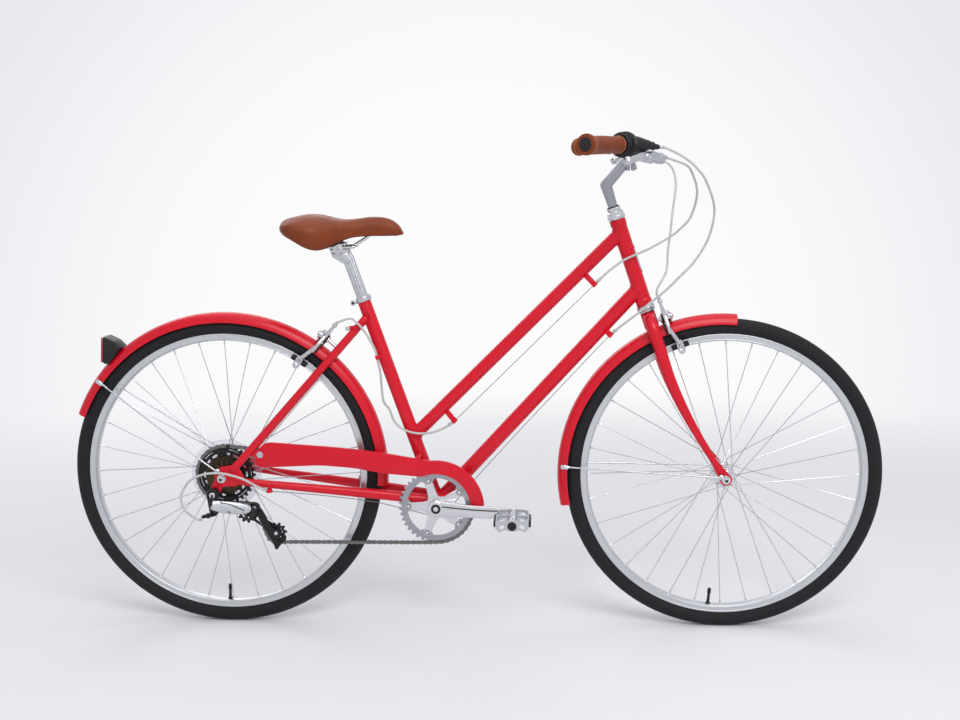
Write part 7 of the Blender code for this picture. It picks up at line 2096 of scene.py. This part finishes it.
def link_frame():
    """Upper and lower pivots of the derailleur's link, its swing axis and its direction."""
    upper = HANGER + Vector((0.010, -0.0870, -0.026))
    pitch, yaw, slant = math.radians(11.0), math.radians(26.0), math.radians(-20.0)
    flat = Vector((math.cos(pitch), 0.0, -math.sin(pitch)))
    upright = Vector((math.sin(pitch), 0.0, math.cos(pitch)))
    axis = upright * math.cos(slant) + RIGHT * math.sin(slant)
    along = flat * math.cos(yaw) - RIGHT * math.sin(yaw)
    along = (along - axis * along.dot(axis)).normalized()
    return upper, upper + along * LINK_LENGTH, axis, along


def shift_barrel():
    """Both ends of the barrel that the shift cable enters."""
    upper, _, axis, along = link_frame()
    return upper - along * 0.0100 - axis * 0.0060, upper + Vector((-0.0345, 0.0010, -0.0230))


def fork_parts(pivot, axis, away):
    """Two rounded ears, their back and the pin that hold one end of the link; away points off it."""
    half = LINK_HEIGHT / 2
    parts = []
    for step in (-1, 1):
        place = frame_matrix(pivot + axis * step * (half + 0.003), axis, away)
        parts.append(plate("ear", [capsule((0.0, 0.0), (0.008, 0.0), 0.0060, 0.0056)], 0.004, place, 0.0010))
    place = frame_matrix(pivot + away * 0.0098, axis, away)
    parts.append(block("back", (0.0056, 0.0110, LINK_HEIGHT + 0.008), place, 0.0016))
    ends = axis * (half + 0.0060)
    parts.append(rod("pin", pivot - ends, pivot + ends, 0.0028, 16, edge=0.0005))
    return parts


def make_changer_bracket():
    """Black bracket from the hanger bolt to the link's upper end, with the cable's barrel."""
    upper, _, axis, along = link_frame()
    face = REAR_DROPOUT_HALF + DROPOUT_THICKNESS + GAP
    knob = [(0.0, 0.0), (0.0136, 0.0), (0.0144, 0.0020), (0.0144, 0.0110), (0.0116, 0.0152), (0.0, 0.0160)]
    foot = shift_barrel()[1] + Vector((0.0250, 0.0005, 0.0050))
    side = capsule((HANGER.x, HANGER.z), (foot.x, foot.z + 0.004), 0.0140, 0.0090)
    neck = [HANGER + RIGHT * (face + 0.008), upper - along * 0.0110]
    parts = [
        turned("knob", knob, frame_matrix(HANGER + RIGHT * face, RIGHT), 40, 0.0010),
        side_plate("body", [side], 0.0110, -face - 0.0095, 0.0030),
        *fork_parts(upper, axis, -along),
        sweep("neck", neck, [0.0085, 0.0062], 20),
        *barrel_parts(foot, shift_barrel()[1], 0.0042, 0.0056),
    ]
    add(joined("changer_bracket", *parts), "frame", "black_metal", "derailleur_bracket")
    add(bolt("hanger_bolt", HANGER + RIGHT * (face + 0.0156), RIGHT, 0.0066, 0.0030), "frame", "chrome")


# Share of the way between the link's pivots, and the link's half height there
LINK_STATIONS = (
    (-0.19, 0.0080), (-0.17, 0.0108), (-0.05, 0.0128), (0.18, 0.0138), (0.45, 0.0142), (0.70, 0.0136),
    (0.92, 0.0116), (1.04, 0.0088), (1.085, 0.0045),
)


def make_changer_link():
    """The silver link, a rounded box with two dark lines on its outer face."""
    upper, lower, axis, along = link_frame()
    out = along.cross(axis)
    out = out if out.y < 0 else -out

    def middle(share):
        return upper.lerp(lower, share) + axis * 0.0014 + UP * (0.0085 * max(0.0, share))

    rings = []
    for share, half in LINK_STATIONS:
        ring = []
        for k in range(24):
            angle = 2 * math.pi * k / 24
            c, s = math.cos(angle), math.sin(angle)
            high = half * math.copysign(abs(c) ** 0.55, c)
            deep = 0.0020 + 0.0050 * math.copysign(abs(s) ** 0.7, s)
            ring.append(middle(share) + axis * high + out * deep)
        rings.append(ring)
    add(loft("changer_link", rings), "changer_link", "satin_alloy", "derailleur_link")
    long_line = ((0.04, 0.0088), (0.35, 0.0070), (0.52, 0.0035), (0.86, -0.0035))
    short_line = ((0.34, -0.0098), (0.44, -0.0104))
    inlays = []
    for marks, size in ((long_line, 0.0012), (short_line, 0.0010)):
        line = [middle(share) + axis * high + out * 0.0068 for share, high in marks]
        inlays.append(sweep("inlay", smooth_path(line, 0.002), size, 8, round_ends=True))
    add(joined("changer_link_marks", *inlays), "changer_link", "black_plastic")


# How far to the right the inner and the outer face of the cage's outer plate are
CAGE_INSIDE = CHAIN_WIDTH / 2 - FIRST_COG_Y + CAGE_CLEARANCE
CAGE_OUTSIDE = CAGE_INSIDE + CAGE_THICKNESS


def cage_pivot(route):
    return route.wheels[1][0] + Vector((0.0195, 0.0, 0.0150))


def make_knuckle(route):
    """Black knuckle that hangs on the link's lower end, and the bolt that the cage turns on."""
    _, lower, axis, along = link_frame()
    pivot = cage_pivot(route)
    knob = [(0.0, 0.0), (0.0112, 0.0), (0.0120, 0.0020), (0.0116, 0.0095), (0.0092, 0.0130), (0.0, 0.0134)]
    neck = [lower + along * 0.0110, pivot + RIGHT * (CAGE_OUTSIDE + 0.008)]
    parts = [
        turned("knob", knob, frame_matrix(pivot + RIGHT * (CAGE_OUTSIDE + GAP), RIGHT), 40, 0.0010),
        *fork_parts(lower, axis, along),
        sweep("neck", neck, [0.0062, 0.0085], 20),
    ]
    add(joined("changer_knuckle_body", *parts), "changer_knuckle", "black_metal", "derailleur_knuckle")
    head = bolt("knuckle_bolt", pivot + RIGHT * (CAGE_OUTSIDE + 0.0140), RIGHT, 0.0050, 0.0018)
    add(head, "changer_knuckle", "satin_alloy")


# Corners of the cage's outer plate from the tension pulley, (forward, up)
CAGE_CORNERS = (
    (-0.0460, 0.0725), (-0.0385, 0.0680), (-0.0260, 0.0485), (-0.0190, 0.0345), (-0.0128, 0.0190),
    (-0.0060, 0.0105), (0.0030, 0.0085), (0.0105, 0.0040), (0.0125, -0.0030), (0.0240, -0.0075),
    (0.0215, -0.0165), (0.0090, -0.0275), (0.0025, -0.0375), (-0.0025, -0.0375), (-0.0077, -0.0215),
    (-0.0205, 0.0004), (-0.0275, 0.0120), (-0.0340, 0.0270), (-0.0430, 0.0440), (-0.0560, 0.0500),
    (-0.0575, 0.0640), (-0.0530, 0.0715),
)


def make_cage(route):
    """The cage's two plates with a wing to its pivot, the pulleys' axles and a stop pin."""
    guide, tension = route.wheels[1][0], route.wheels[2][0]

    def from_tension(x, z):
        return tension.x + x, tension.z + z

    outline = fillet([from_tension(x, z) for x, z in CAGE_CORNERS], 0.005, 3)
    rib = capsule(from_tension(-0.0390, 0.0540), from_tension(-0.0290, 0.0370), 0.0032, 0.0026, 6)
    slots = (((0.0110, -0.0095), (0.0150, -0.0060)), ((0.0015, -0.0135), (0.0055, -0.0145)))
    holes = [capsule(from_tension(*a), from_tension(*b), 0.0022, 0.0022, 6) for a, b in slots]
    wing = capsule(cage_pivot(route).xz, guide.xz, 0.010, 0.0088)
    arm = [
        capsule(guide.xz, tension.xz, 0.0090, 0.0110),
        capsule(guide.lerp(tension, 0.34).xz, guide.lerp(tension, 0.62).xz, 0.0040, 0.0040, 8),
    ]
    foot = tension + Vector((-0.001, 0.0, -0.0315))
    pin = (foot + RIGHT * (CAGE_OUTSIDE + 0.0012), foot + RIGHT * (CAGE_INSIDE - 0.006))
    y = -CAGE_INSIDE - CAGE_THICKNESS / 2
    inner_y = 2 * FIRST_COG_Y - y
    parts = [
        side_plate("cage_outer", [outline, *holes], CAGE_THICKNESS, y),
        side_plate("wing", [wing], CAGE_THICKNESS * 0.98, y),
        side_plate("cage_rib", [rib], 0.0014, y - CAGE_THICKNESS / 2 - 0.0005, 0.0005),
        side_plate("cage_inner", arm, CAGE_THICKNESS, inner_y),
        rod("pin", *pin, 0.0032, 16, edge=0.0005),
    ]
    bolts = []
    for centre in (guide, tension):
        parts.append(rod("axle", centre + LEFT * y, centre + LEFT * inner_y, 0.0028, 16))
        bolts.append(bolt("pulley_bolt", centre + LEFT * (y - CAGE_THICKNESS / 2), RIGHT, 0.0040, 0.0016))
    add(joined("changer_cage", *parts), "changer_cage", "black_metal", "derailleur_cage")
    add(joined("pulley_bolts", *bolts), "changer_cage", "chrome")


def make_pulleys(route):
    """Both toothed pulleys with their slots and hubs."""
    hub = [(0.0031, -0.0034), (0.0058, -0.0034), (0.0062, -0.0022)]
    hub += [(r, -h) for r, h in reversed(hub)]
    for wheel, name, body in ((1, "guide_pulley", "guide_wheel"), (2, "tension_pulley", "tension_wheel")):
        place = across_bike(route.wheels[wheel][0], FIRST_COG_Y)
        outlines = [tooth_outline(PULLEY_TEETH, route.phase(wheel), 0.0014), circle((0.0, 0.0), 0.0031, 16)]
        for k in range(4):
            ends = [on_circle(0.0118, 90 * k + turn) for turn in (6, 44)]
            outlines.append(capsule(*ends, 0.0024, 0.0024, 6))
        pulley = plate(f"{name}_teeth", outlines, COG_THICKNESS * 1.2, place, 0.0004)
        add(pulley, body, "black_plastic", name, sharp=30)
        add(turned(f"{name}_hub", hub, place, 28, 0.0004), body, "satin_alloy")


def make_derailleur(route):
    """Bracket on its hanger bolt, the link, the knuckle, and the cage with its two pulleys."""
    make_changer_bracket()
    make_changer_link()
    make_knuckle(route)
    make_cage(route)
    make_pulleys(route)


# Chain guard


def make_chain_guard():
    """Guard plate with a folded upper lip, its strut and the bolt on the seatstay's tab."""
    rear = [(0.0784, 0.0219), (0.0712, 0.0425), (0.0788, 0.0638), (0.0976, 0.0787)]
    over = [(-0.2151, 0.1343), (-0.1243, 0.1240)]
    under = [(-0.1176, 0.0769), (-0.1782, 0.0882), (-0.2541, 0.0943)]
    outline = [(REAR_AXLE.x + x, REAR_AXLE.z + z, 0.010) for x, z in rear]
    outline += [(BRACKET.x + x, BRACKET.z + z, 0.030) for x, z in over]
    top_count = len(outline)
    for angle in range(98, 1, -8):
        x, z = on_circle(GUARD_OUTER_RADIUS, angle)
        outline.append((BRACKET.x + x, BRACKET.z + z, 0.012))
    for angle in range(4, 115, 11):
        x, z = on_circle(GUARD_INNER_RADIUS, angle)
        outline.append((BRACKET.x + x, BRACKET.z + z, 0.006 if angle == 4 else 0.010))
    outline += [(BRACKET.x + x, BRACKET.z + z, 0.016) for x, z in under]
    outline.append((REAR_AXLE.x + 0.1176, REAR_AXLE.z + 0.0232, 0.010))
    smooth = fillet(outline, 0.010, 4)
    parts = [side_plate("plate", [smooth], GUARD_THICKNESS, GUARD_Y, 0.0006)]
    top = fillet(outline[2:top_count + 13], 0.010, 4, closed=False)
    rings = []
    for x, z in top[2:]:
        rings.append([(x, GUARD_Y - 0.0007, z), (x, GUARD_Y + 0.0062, z), (x, GUARD_Y + 0.0062, z - 0.0011),
                      (x, GUARD_Y - 0.0007, z - 0.0011)])
    parts.append(loft("lip", rings))
    point = BRACKET + SEAT_UP * GUARD_STRUT_RISE
    start, end = Vector((point.x, -SEAT_TUBE_RADIUS, point.z)), Vector((point.x, GUARD_Y, point.z))
    parts.append(rod("strut", start, end, GUARD_STRUT_RADIUS, 20))
    add(joined("guard", *parts), "frame", "red_paint", "chain_guard", sharp=30)
    place = Vector((-0.467, GUARD_Y, 0.398))
    tab = capsule((place.x, place.z), (place.x - 0.020, place.z + 0.004), 0.0085, 0.0075, 8)
    add(side_plate("guard_tab", [tab], 0.0022, GUARD_Y - 0.0021, 0.0006), "frame", "red_paint")
    face = place + RIGHT * 0.0034
    parts = [bolt("head", face + RIGHT * 0.0008, RIGHT, 0.0050, 0.0026)]
    parts.append(rod("washer", face, face + RIGHT * 0.0010, 0.0072, 28))
    add(joined("guard_bolt", *parts), "frame", "satin_alloy")


# Seat


def make_seat():
    """Post with ten flutes, its forged head, and the clamp of two cradles with a cross bolt."""
    rings = []
    for height, inset in ((-POST_INSERTED, 0.0012), (-POST_INSERTED + 0.0012, 0.0), (POST_SHOWN - 0.020, 0.0),
                          (POST_SHOWN - 0.012, 0.0016), (POST_SHOWN + 0.004, 0.0016)):
        ring = []
        for k in range(120):
            angle = 2 * math.pi * k / 120
            radius = POST_RADIUS - inset - 0.0013 * max(0.0, math.cos(10 * angle)) ** 2
            ring.append(SEAT_TOP + SEAT_UP * height + Matrix.Rotation(angle, 3, SEAT_UP) @ SEAT_BACK * radius)
        rings.append(ring)
    add(loft("seatpost_tube", rings), "seat", "satin_alloy", "seatpost")
    corners = [
        (0.0170, -0.0380), (0.0160, -0.0230), (0.0090, -0.0085), (-0.0240, -0.0060), (-0.0290, -0.0130),
        (-0.0240, -0.0220), (-0.0130, -0.0270), (-0.0060, -0.0330),
    ]
    forging = fillet([(POST_CLAMP.x + x, POST_CLAMP.z + z) for x, z in corners], 0.004, 4)
    head = plate("post_head", [forging], 0.0268, across_bike((0.0, 0.0, 0.0)), 0.005)
    add(head, "seat", "satin_alloy")
    middle = POST_CLAMP - Vector((0.010, 0.0, 0.0))
    ear = [(0.0, -0.0065), (0.0105, -0.0065), (0.0118, -0.0045)]
    ear += [(r, -h) for r, h in reversed(ear)]
    parts = []
    for rise, size in ((-0.0058, (0.040, 0.030, 0.0090)), (0.0098, (0.034, 0.050, 0.0050))):
        parts.append(block("cradle", size, Matrix.Translation(middle + UP * rise), 0.0022, 3))
    for side, _ in SIDES:
        outward = LEFT * side
        place = middle + outward * RAIL_SPREAD + UP * 0.0012
        parts.append(turned("ear", ear, frame_matrix(place, outward), 36, 0.0010))
        place = place + outward * 0.0066 - UP * 0.0050
        parts.append(nut("clamp_nut", place, outward, 0.0070, 0.0052, 0.0012))
    add(joined("post_clamp", *parts), "seat", "chrome")


def make_rails():
    """The saddle's chromed rails, one wire from a rear end over the clamp to the nose and back."""
    x, z = POST_CLAMP.x, POST_CLAMP.z + 0.003
    ends_z = POST_CLAMP.z + SADDLE_OVER_HEAD - RAIL_RADIUS - 3 * GAP
    rear = x - SADDLE_BEHIND_CLAMP + 0.062
    nose = x - SADDLE_BEHIND_CLAMP + SADDLE_LENGTH * 0.74
    left = [
        (rear, 0.028, ends_z), (rear + 0.022, 0.025, z + 0.004), (x - 0.034, RAIL_SPREAD, z),
        (x + 0.024, RAIL_SPREAD, z), (nose - 0.036, 0.018, z + 0.003), (nose - 0.016, 0.014, ends_z + 0.004),
        (nose - 0.006, 0.011, ends_z + 0.012),
    ]
    right = [(p[0], -p[1], p[2]) for p in left]
    path = smooth_path([*right, (nose - 0.001, 0.0, ends_z + 0.016), *reversed(left)], 0.005)
    add(sweep("rail_wire", path, RAIL_RADIUS, 18, round_ends=True), "seat", "chrome", "saddle_rails")


# Share of the saddle's length from its rear, share of its width, and how far above the rails' ends
# its crown and its skirt are
SADDLE_STATIONS = (
    (0.00, 0.42, 0.030, 0.0250),
    (0.02, 0.66, 0.038, 0.0190),
    (0.06, 0.86, 0.044, 0.0120),
    (0.13, 0.97, 0.049, 0.0030),
    (0.22, 1.00, 0.052, -0.0100),
    (0.30, 0.98, 0.051, -0.0165),
    (0.37, 0.88, 0.048, -0.0150),
    (0.44, 0.74, 0.044, -0.0080),
    (0.51, 0.58, 0.042, 0.0000),
    (0.60, 0.42, 0.043, 0.0070),
    (0.72, 0.31, 0.047, 0.0095),
    (0.84, 0.26, 0.046, 0.0095),
    (0.92, 0.23, 0.039, 0.0095),
    (0.975, 0.18, 0.027, 0.0090),
    (1.00, 0.09, 0.016, 0.0095),
)


def saddle_ring(share, width, crown, edge, rear_x, under, steps=5):
    """One section of the saddle from its crown down the right side, under it and up the left."""
    x = rear_x + SADDLE_LENGTH * share
    half = SADDLE_WIDTH / 2 * width
    lobe = 0.0062 * max(0.0, 1 - share * 2.2)
    top = under + crown
    low = under + edge
    floor = max(under, low + 0.0040)
    depth = top - low
    section = [
        (0.0, top - lobe), (half * 0.45, top + lobe * 0.4), (half * 0.85, top - depth * 0.20),
        (half, top - depth * 0.50), (half * 0.90, low), (half * 0.78, low + 0.0015), (half * 0.45, floor),
        (0.0, floor),
    ]
    right = [Vector((x, -y, z)) for y, z in section]
    left = [Vector((x, y, z)) for y, z in reversed(section[1:-1])]
    points = [*right, *left]
    ring = []
    count = len(points)
    for i in range(count):
        a, b, c, d = (points[(i + k) % count] for k in (-1, 0, 1, 2))
        for k in range(steps):
            t = k / steps
            bend = (2 * a - 5 * b + 4 * c - d) * t * t + (3 * b - a - 3 * c + d) * t**3
            ring.append(0.5 * (2 * b + (c - a) * t + bend))
    return ring


def make_saddle():
    """Leather cushion with two raised rear lobes, and its black base along the skirt."""
    rear_x, under = POST_CLAMP.x - SADDLE_BEHIND_CLAMP, POST_CLAMP.z + SADDLE_OVER_HEAD
    stations = smooth_path([(share, width, crown) for share, width, crown, _ in SADDLE_STATIONS], 0.02)
    skirts = smooth_path([(share, edge, 0.0) for share, _, _, edge in SADDLE_STATIONS], 0.02)
    columns = ((stations, 1), (stations, 2), (skirts, 1))
    rings = []
    for k in range(71):
        share = (1 - math.cos(math.pi * k / 70)) / 2
        values = [at_station(table, share, column) for table, column in columns]
        rings.append(saddle_ring(share, *values, rear_x, under))
    ends = []
    for ring, way in ((rings[0], -1), (rings[-1], 1)):
        middle = sum(ring, Vector()) / len(ring)
        for pull, out in ((0.90, 0.0006), (0.65, 0.0012), (0.30, 0.0015)):
            ends.append([middle + (p - middle) * pull + Vector((way * out, 0.0, 0.0)) for p in ring])
    rings = [*reversed(ends[:3]), *rings, *ends[3:]]
    saddle = loft("saddle_leather", rings)
    add(saddle, "seat", "leather", "saddle", sharp=60)
    base = [min(ring[:len(ring) // 2], key=lambda p: p.z) for ring in rings[7:-12]]
    for side, label in SIDES:
        line = [Vector((p.x, -p.y * side * 0.84, p.z + 0.0022)) for p in base]
        edge = sweep(f"saddle_base_{label}", line, (0.0022, 0.0034), 14, across=LEFT, round_ends=True)
        add(edge, "seat", "black_plastic")


# Cables


def leave(start, end):
    """Two points straight on from a barrel that runs from start to end, beyond a small gap."""
    heading = (end - start).normalized()
    return [end + heading * GAP, end + heading * 0.012]


def add_ferrules(name, ends, body):
    """A short stepped sleeve on each housing end; each end is a point and the way it faces."""
    profile = [(0.0, 0.0), (0.0026, 0.0), (0.0034, 0.0008), (0.0036, 0.0095), (0.0030, 0.0102), (0.0, 0.0102)]
    parts = [turned("ferrule", profile, frame_matrix(place, way), 20, 0.0003) for place, way in ends]
    add(joined(name, *parts), body, "satin_alloy")


def make_cables(front_end, rear_end):
    """The two brake cables, which end at these points, and the shift cable, each from the bar on."""
    front = leave(*brake_barrel(1)) + [
        (0.4380, 0.1090, 1.0180),
        (0.4470, 0.1000, 0.9889),
        (0.4441, 0.0800, 0.9587),
        (0.4369, 0.0550, 0.9203),
        (0.4319, 0.0350, 0.8837),
        (0.4242, 0.0100, 0.8404),
        (0.4190, -0.0120, 0.7958),
        front_end + STEERING * 0.030,
        front_end,
    ]
    cable_route("front_cable", [(front, HOUSING_RADIUS)], "steering", "front_brake_cable")
    rear_front = leave(*brake_barrel(-1)) + [
        (0.4460, -0.1070, 1.0240),
        (0.4605, -0.1000, 1.0080),
        (0.4744, -0.0800, 0.9653),
        (0.4642, -0.0600, 0.9150),
        (0.4437, -0.0500, 0.8896),
        (0.4223, -0.0430, 0.8714),
        (0.3819, -0.0340, 0.8472),
        (0.3529, -0.0280, 0.8338),
        (0.3258, -0.0240, 0.8203),
        (0.2970, -0.0220, 0.7990),
        (0.2700, -0.0205, 0.7740),
    ]
    wire = [(0.2600, -0.0200, 0.7640), (0.1000, -0.0190, 0.6057), (-0.0350, -0.0190, 0.4725)]
    rear_back = [
        (-0.0450, -0.0200, 0.4640),
        (-0.0620, -0.0210, 0.4530),
        (-0.0828, -0.0220, 0.4440),
        (-0.1080, -0.0230, 0.4400),
        (-0.1340, -0.0230, 0.4420),
        (-0.1590, -0.0210, 0.4520),
        (-0.1760, -0.0120, 0.4690),
        (-0.1862, 0.0000, 0.4900),
        (-0.1990, -0.0040, 0.5113),
        (-0.2033, -0.0100, 0.5713),
        (-0.2078, -0.0160, 0.5990),
        (-0.2124, -0.0200, 0.6234),
        (-0.2240, -0.0260, 0.6501),
        (-0.2370, -0.0320, 0.6724),
        (-0.2505, -0.0350, 0.6880),
        (-0.2653, -0.0300, 0.6961),
        rear_end - stay_line() * 0.013,
        rear_end,
    ]
    stretches = [(rear_front, HOUSING_RADIUS), (wire, WIRE_RADIUS), (rear_back, HOUSING_RADIUS)]
    cable_route("rear_cable", stretches, "frame", "rear_brake_cable", True)
    shift_front = leave(*shifter_nose()) + [
        (0.4188, -0.1390, 1.0503),
        (0.4470, -0.1290, 1.0348),
        (0.4713, -0.1180, 1.0135),
        (0.4901, -0.1050, 0.9886),
        (0.5106, -0.0800, 0.9332),
        (0.5030, -0.0620, 0.8736),
        (0.4761, -0.0520, 0.8225),
        (0.4463, -0.0460, 0.7892),
        (0.4156, -0.0400, 0.7573),
        (0.3833, -0.0350, 0.7300),
        (0.3543, -0.0300, 0.7043),
        (0.3273, -0.0255, 0.6830),
        (0.3050, -0.0230, 0.6640),
    ]
    shift_wire = [
        (0.2950, -0.0225, 0.6550),
        (0.1200, -0.0210, 0.4660),
        (-0.0250, -0.0210, 0.3040),
        (-0.0580, -0.0210, 0.2610),
        (-0.0950, -0.0230, 0.2540),
        (-0.2100, -0.0350, 0.2860),
        (-0.3500, -0.0540, 0.3080),
        (-0.4400, -0.0680, 0.3180),
    ]
    shift_end = leave(*shift_barrel())
    shift_rear = [
        (-0.4520, -0.0710, 0.3210),
        (-0.4700, -0.0780, 0.3310),
        (-0.5044, -0.0830, 0.3507),
        (-0.5421, -0.0850, 0.3613),
        (-0.5727, -0.0850, 0.3621),
        (-0.6006, -0.0850, 0.3552),
        (-0.6179, -0.0850, 0.3452),
        (-0.6286, -0.0850, 0.3320),
        (-0.6388, -0.0855, 0.3097),
        (-0.6320, -0.0860, 0.2800),
        *reversed(shift_end),
    ]
    stretches = [(shift_front, HOUSING_RADIUS), (shift_wire, WIRE_RADIUS), (shift_rear, HOUSING_RADIUS)]
    cable_route("shift", stretches, "frame", "shift_cable", True)


def cable_route(name, stretches, body, node, follows_bar=False):
    """A cable along its stretches: a grey housing, or its bare wire where the radius is small.

    Where the first housing comes from the bar, it bends as the bar turns.
    """
    housings, wires, ends = [], [], []
    for stretch, radius in stretches:
        bare = radius == WIRE_RADIUS
        path = smooth_path(stretch, 0.05 if bare else 0.006)
        made = sweep("length", path, 0.0009 if bare else radius, 10 if bare else 16, round_ends=True)
        if bare:
            wires.append(made)
            continue
        ends.append((path[0], path[1] - path[0]))
        ends.append((path[-1], path[-2] - path[-1]))
        if follows_bar and len(ends) == 2:
            made.name = f"{name}_front"
            add(made, body, "cable_housing", bend=("frame", "steering", path[-1], path[0]))
            add_ferrules(f"{name}_bar_ferrule", [ends[0]], "steering")
        else:
            housings.append(made)
    add(joined(f"{name}_housing", *housings), body, "cable_housing", node)
    if wires:
        links = []
        for (first, _), (second, _) in zip(stretches, stretches[1:]):
            links.append(sweep("link", [Vector(first[-1]), Vector(second[0])], 0.0009, 10))
        add(joined(f"{name}_wire", *wires, *links), body, "bare_wire")
    add_ferrules(f"{name}_ferrules", ends[1:] if follows_bar else ends, body)


def cable_ring(place, way, outer=0.0046, half=0.006, edge=0.0005):
    """A short ring round a cable."""
    profile = [(0.0027, -half), (outer, -half), (outer, half), (0.0027, half)]
    return turned("ring", profile, frame_matrix(place, way), 24, edge)


def make_guides():
    """Brazed stops and clips that hold the housings and the bare wires."""
    top = (TOP_TUBE_LOW, TOP_TUBE_HIGH, TOP_TUBE_RADIUS)
    down = (BRACKET, DOWN_TUBE_HIGH, DOWN_TUBE_RADIUS)
    parts = []
    for tube, place in ((top, (0.2650, -0.0202, 0.7690)), (top, (-0.0400, -0.0195, 0.4682)),
                        (down, (0.3000, -0.0227, 0.6595))):
        start, end, radius = tube
        place = Vector(place)
        way = (end - start).normalized()
        foot = start + way * (place - start).dot(way)
        parts.append(cable_ring(place, way))
        toward = (foot - place).normalized()
        near, far = place + toward * 0.0040, foot - toward * (radius - 0.001)
        if (far - near).dot(toward) > 0:
            size = (0.012, 0.0042, (far - near).length + 0.001)
            parts.append(block("fin", size, frame_matrix(near.lerp(far, 0.5), toward, way), 0.0010))
    stay = Vector((-0.4460, -0.0695, 0.3195))
    way = Vector((0.0880, -0.0140, 0.0110)).normalized()
    fin = frame_matrix(stay + Vector((0.0, 0.004, 0.0080)), UP, way)
    rear_stop = Vector((-0.2677, -0.0240, 0.6747))
    clip = Vector((-0.2094, -0.0180, 0.6087))
    foot = frame_matrix(clip - SEAT_BACK * 0.0060, SEAT_UP, -SEAT_BACK)
    parts += [
        cable_ring(stay, way),
        block("fin", (0.010, 0.0050, 0.0120), fin, 0.0010),
        rod("stop", rear_stop, Vector((-0.2457, -0.0240, 0.6780)), 0.0042, 20, edge=0.0008),
        cable_ring(clip, SEAT_UP, 0.0040, 0.0045, 0.0004),
        block("foot", (0.0100, 0.0040, 0.0080), foot, 0.0008),
    ]
    stop_end = rod("stop_end", Vector((-0.2764, -0.0240, 0.6725)), rear_stop, 0.0044, 20, edge=0.0010)
    add(stop_end, "frame", "chrome")
    add(joined("cable_stops", *parts), "frame", "red_paint")
    guide = rounded_box(0.014, 0.012, 0.004, 4)
    place = frame_matrix(BRACKET - UP * (SHELL_RADIUS + 0.0008) + RIGHT * 0.018, UP, (1.0, 0.0, 0.0))
    add(plate("bracket_guide", [guide], 0.0024, place, 0.0006), "frame", "black_plastic")


def main():
    make_wheels()
    make_frame_tubes()
    make_headset()
    make_badge()
    make_seat_collar()
    make_bracket_cups()
    make_fork()
    make_fenders()
    make_reflector()
    make_stem()
    make_handlebar()
    make_grips()
    make_shifter()
    make_levers()
    cable_ends = make_calipers()
    route = ChainRoute(chain_wheels())
    make_chain(route)
    make_cogs(route)
    make_spoke_guard()
    make_ring(route)
    for side, label in SIDES:
        make_crank(side, label)
        make_pedal(side, label)
    make_derailleur(route)
    make_chain_guard()
    make_seat()
    make_rails()
    make_saddle()
    make_cables(*cable_ends)
    make_guides()


MATERIALS = make_materials()
make_stage()
main()
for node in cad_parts.values():
    if not node.data.materials:
        node.data.materials.append(MATERIALS["black_plastic"])
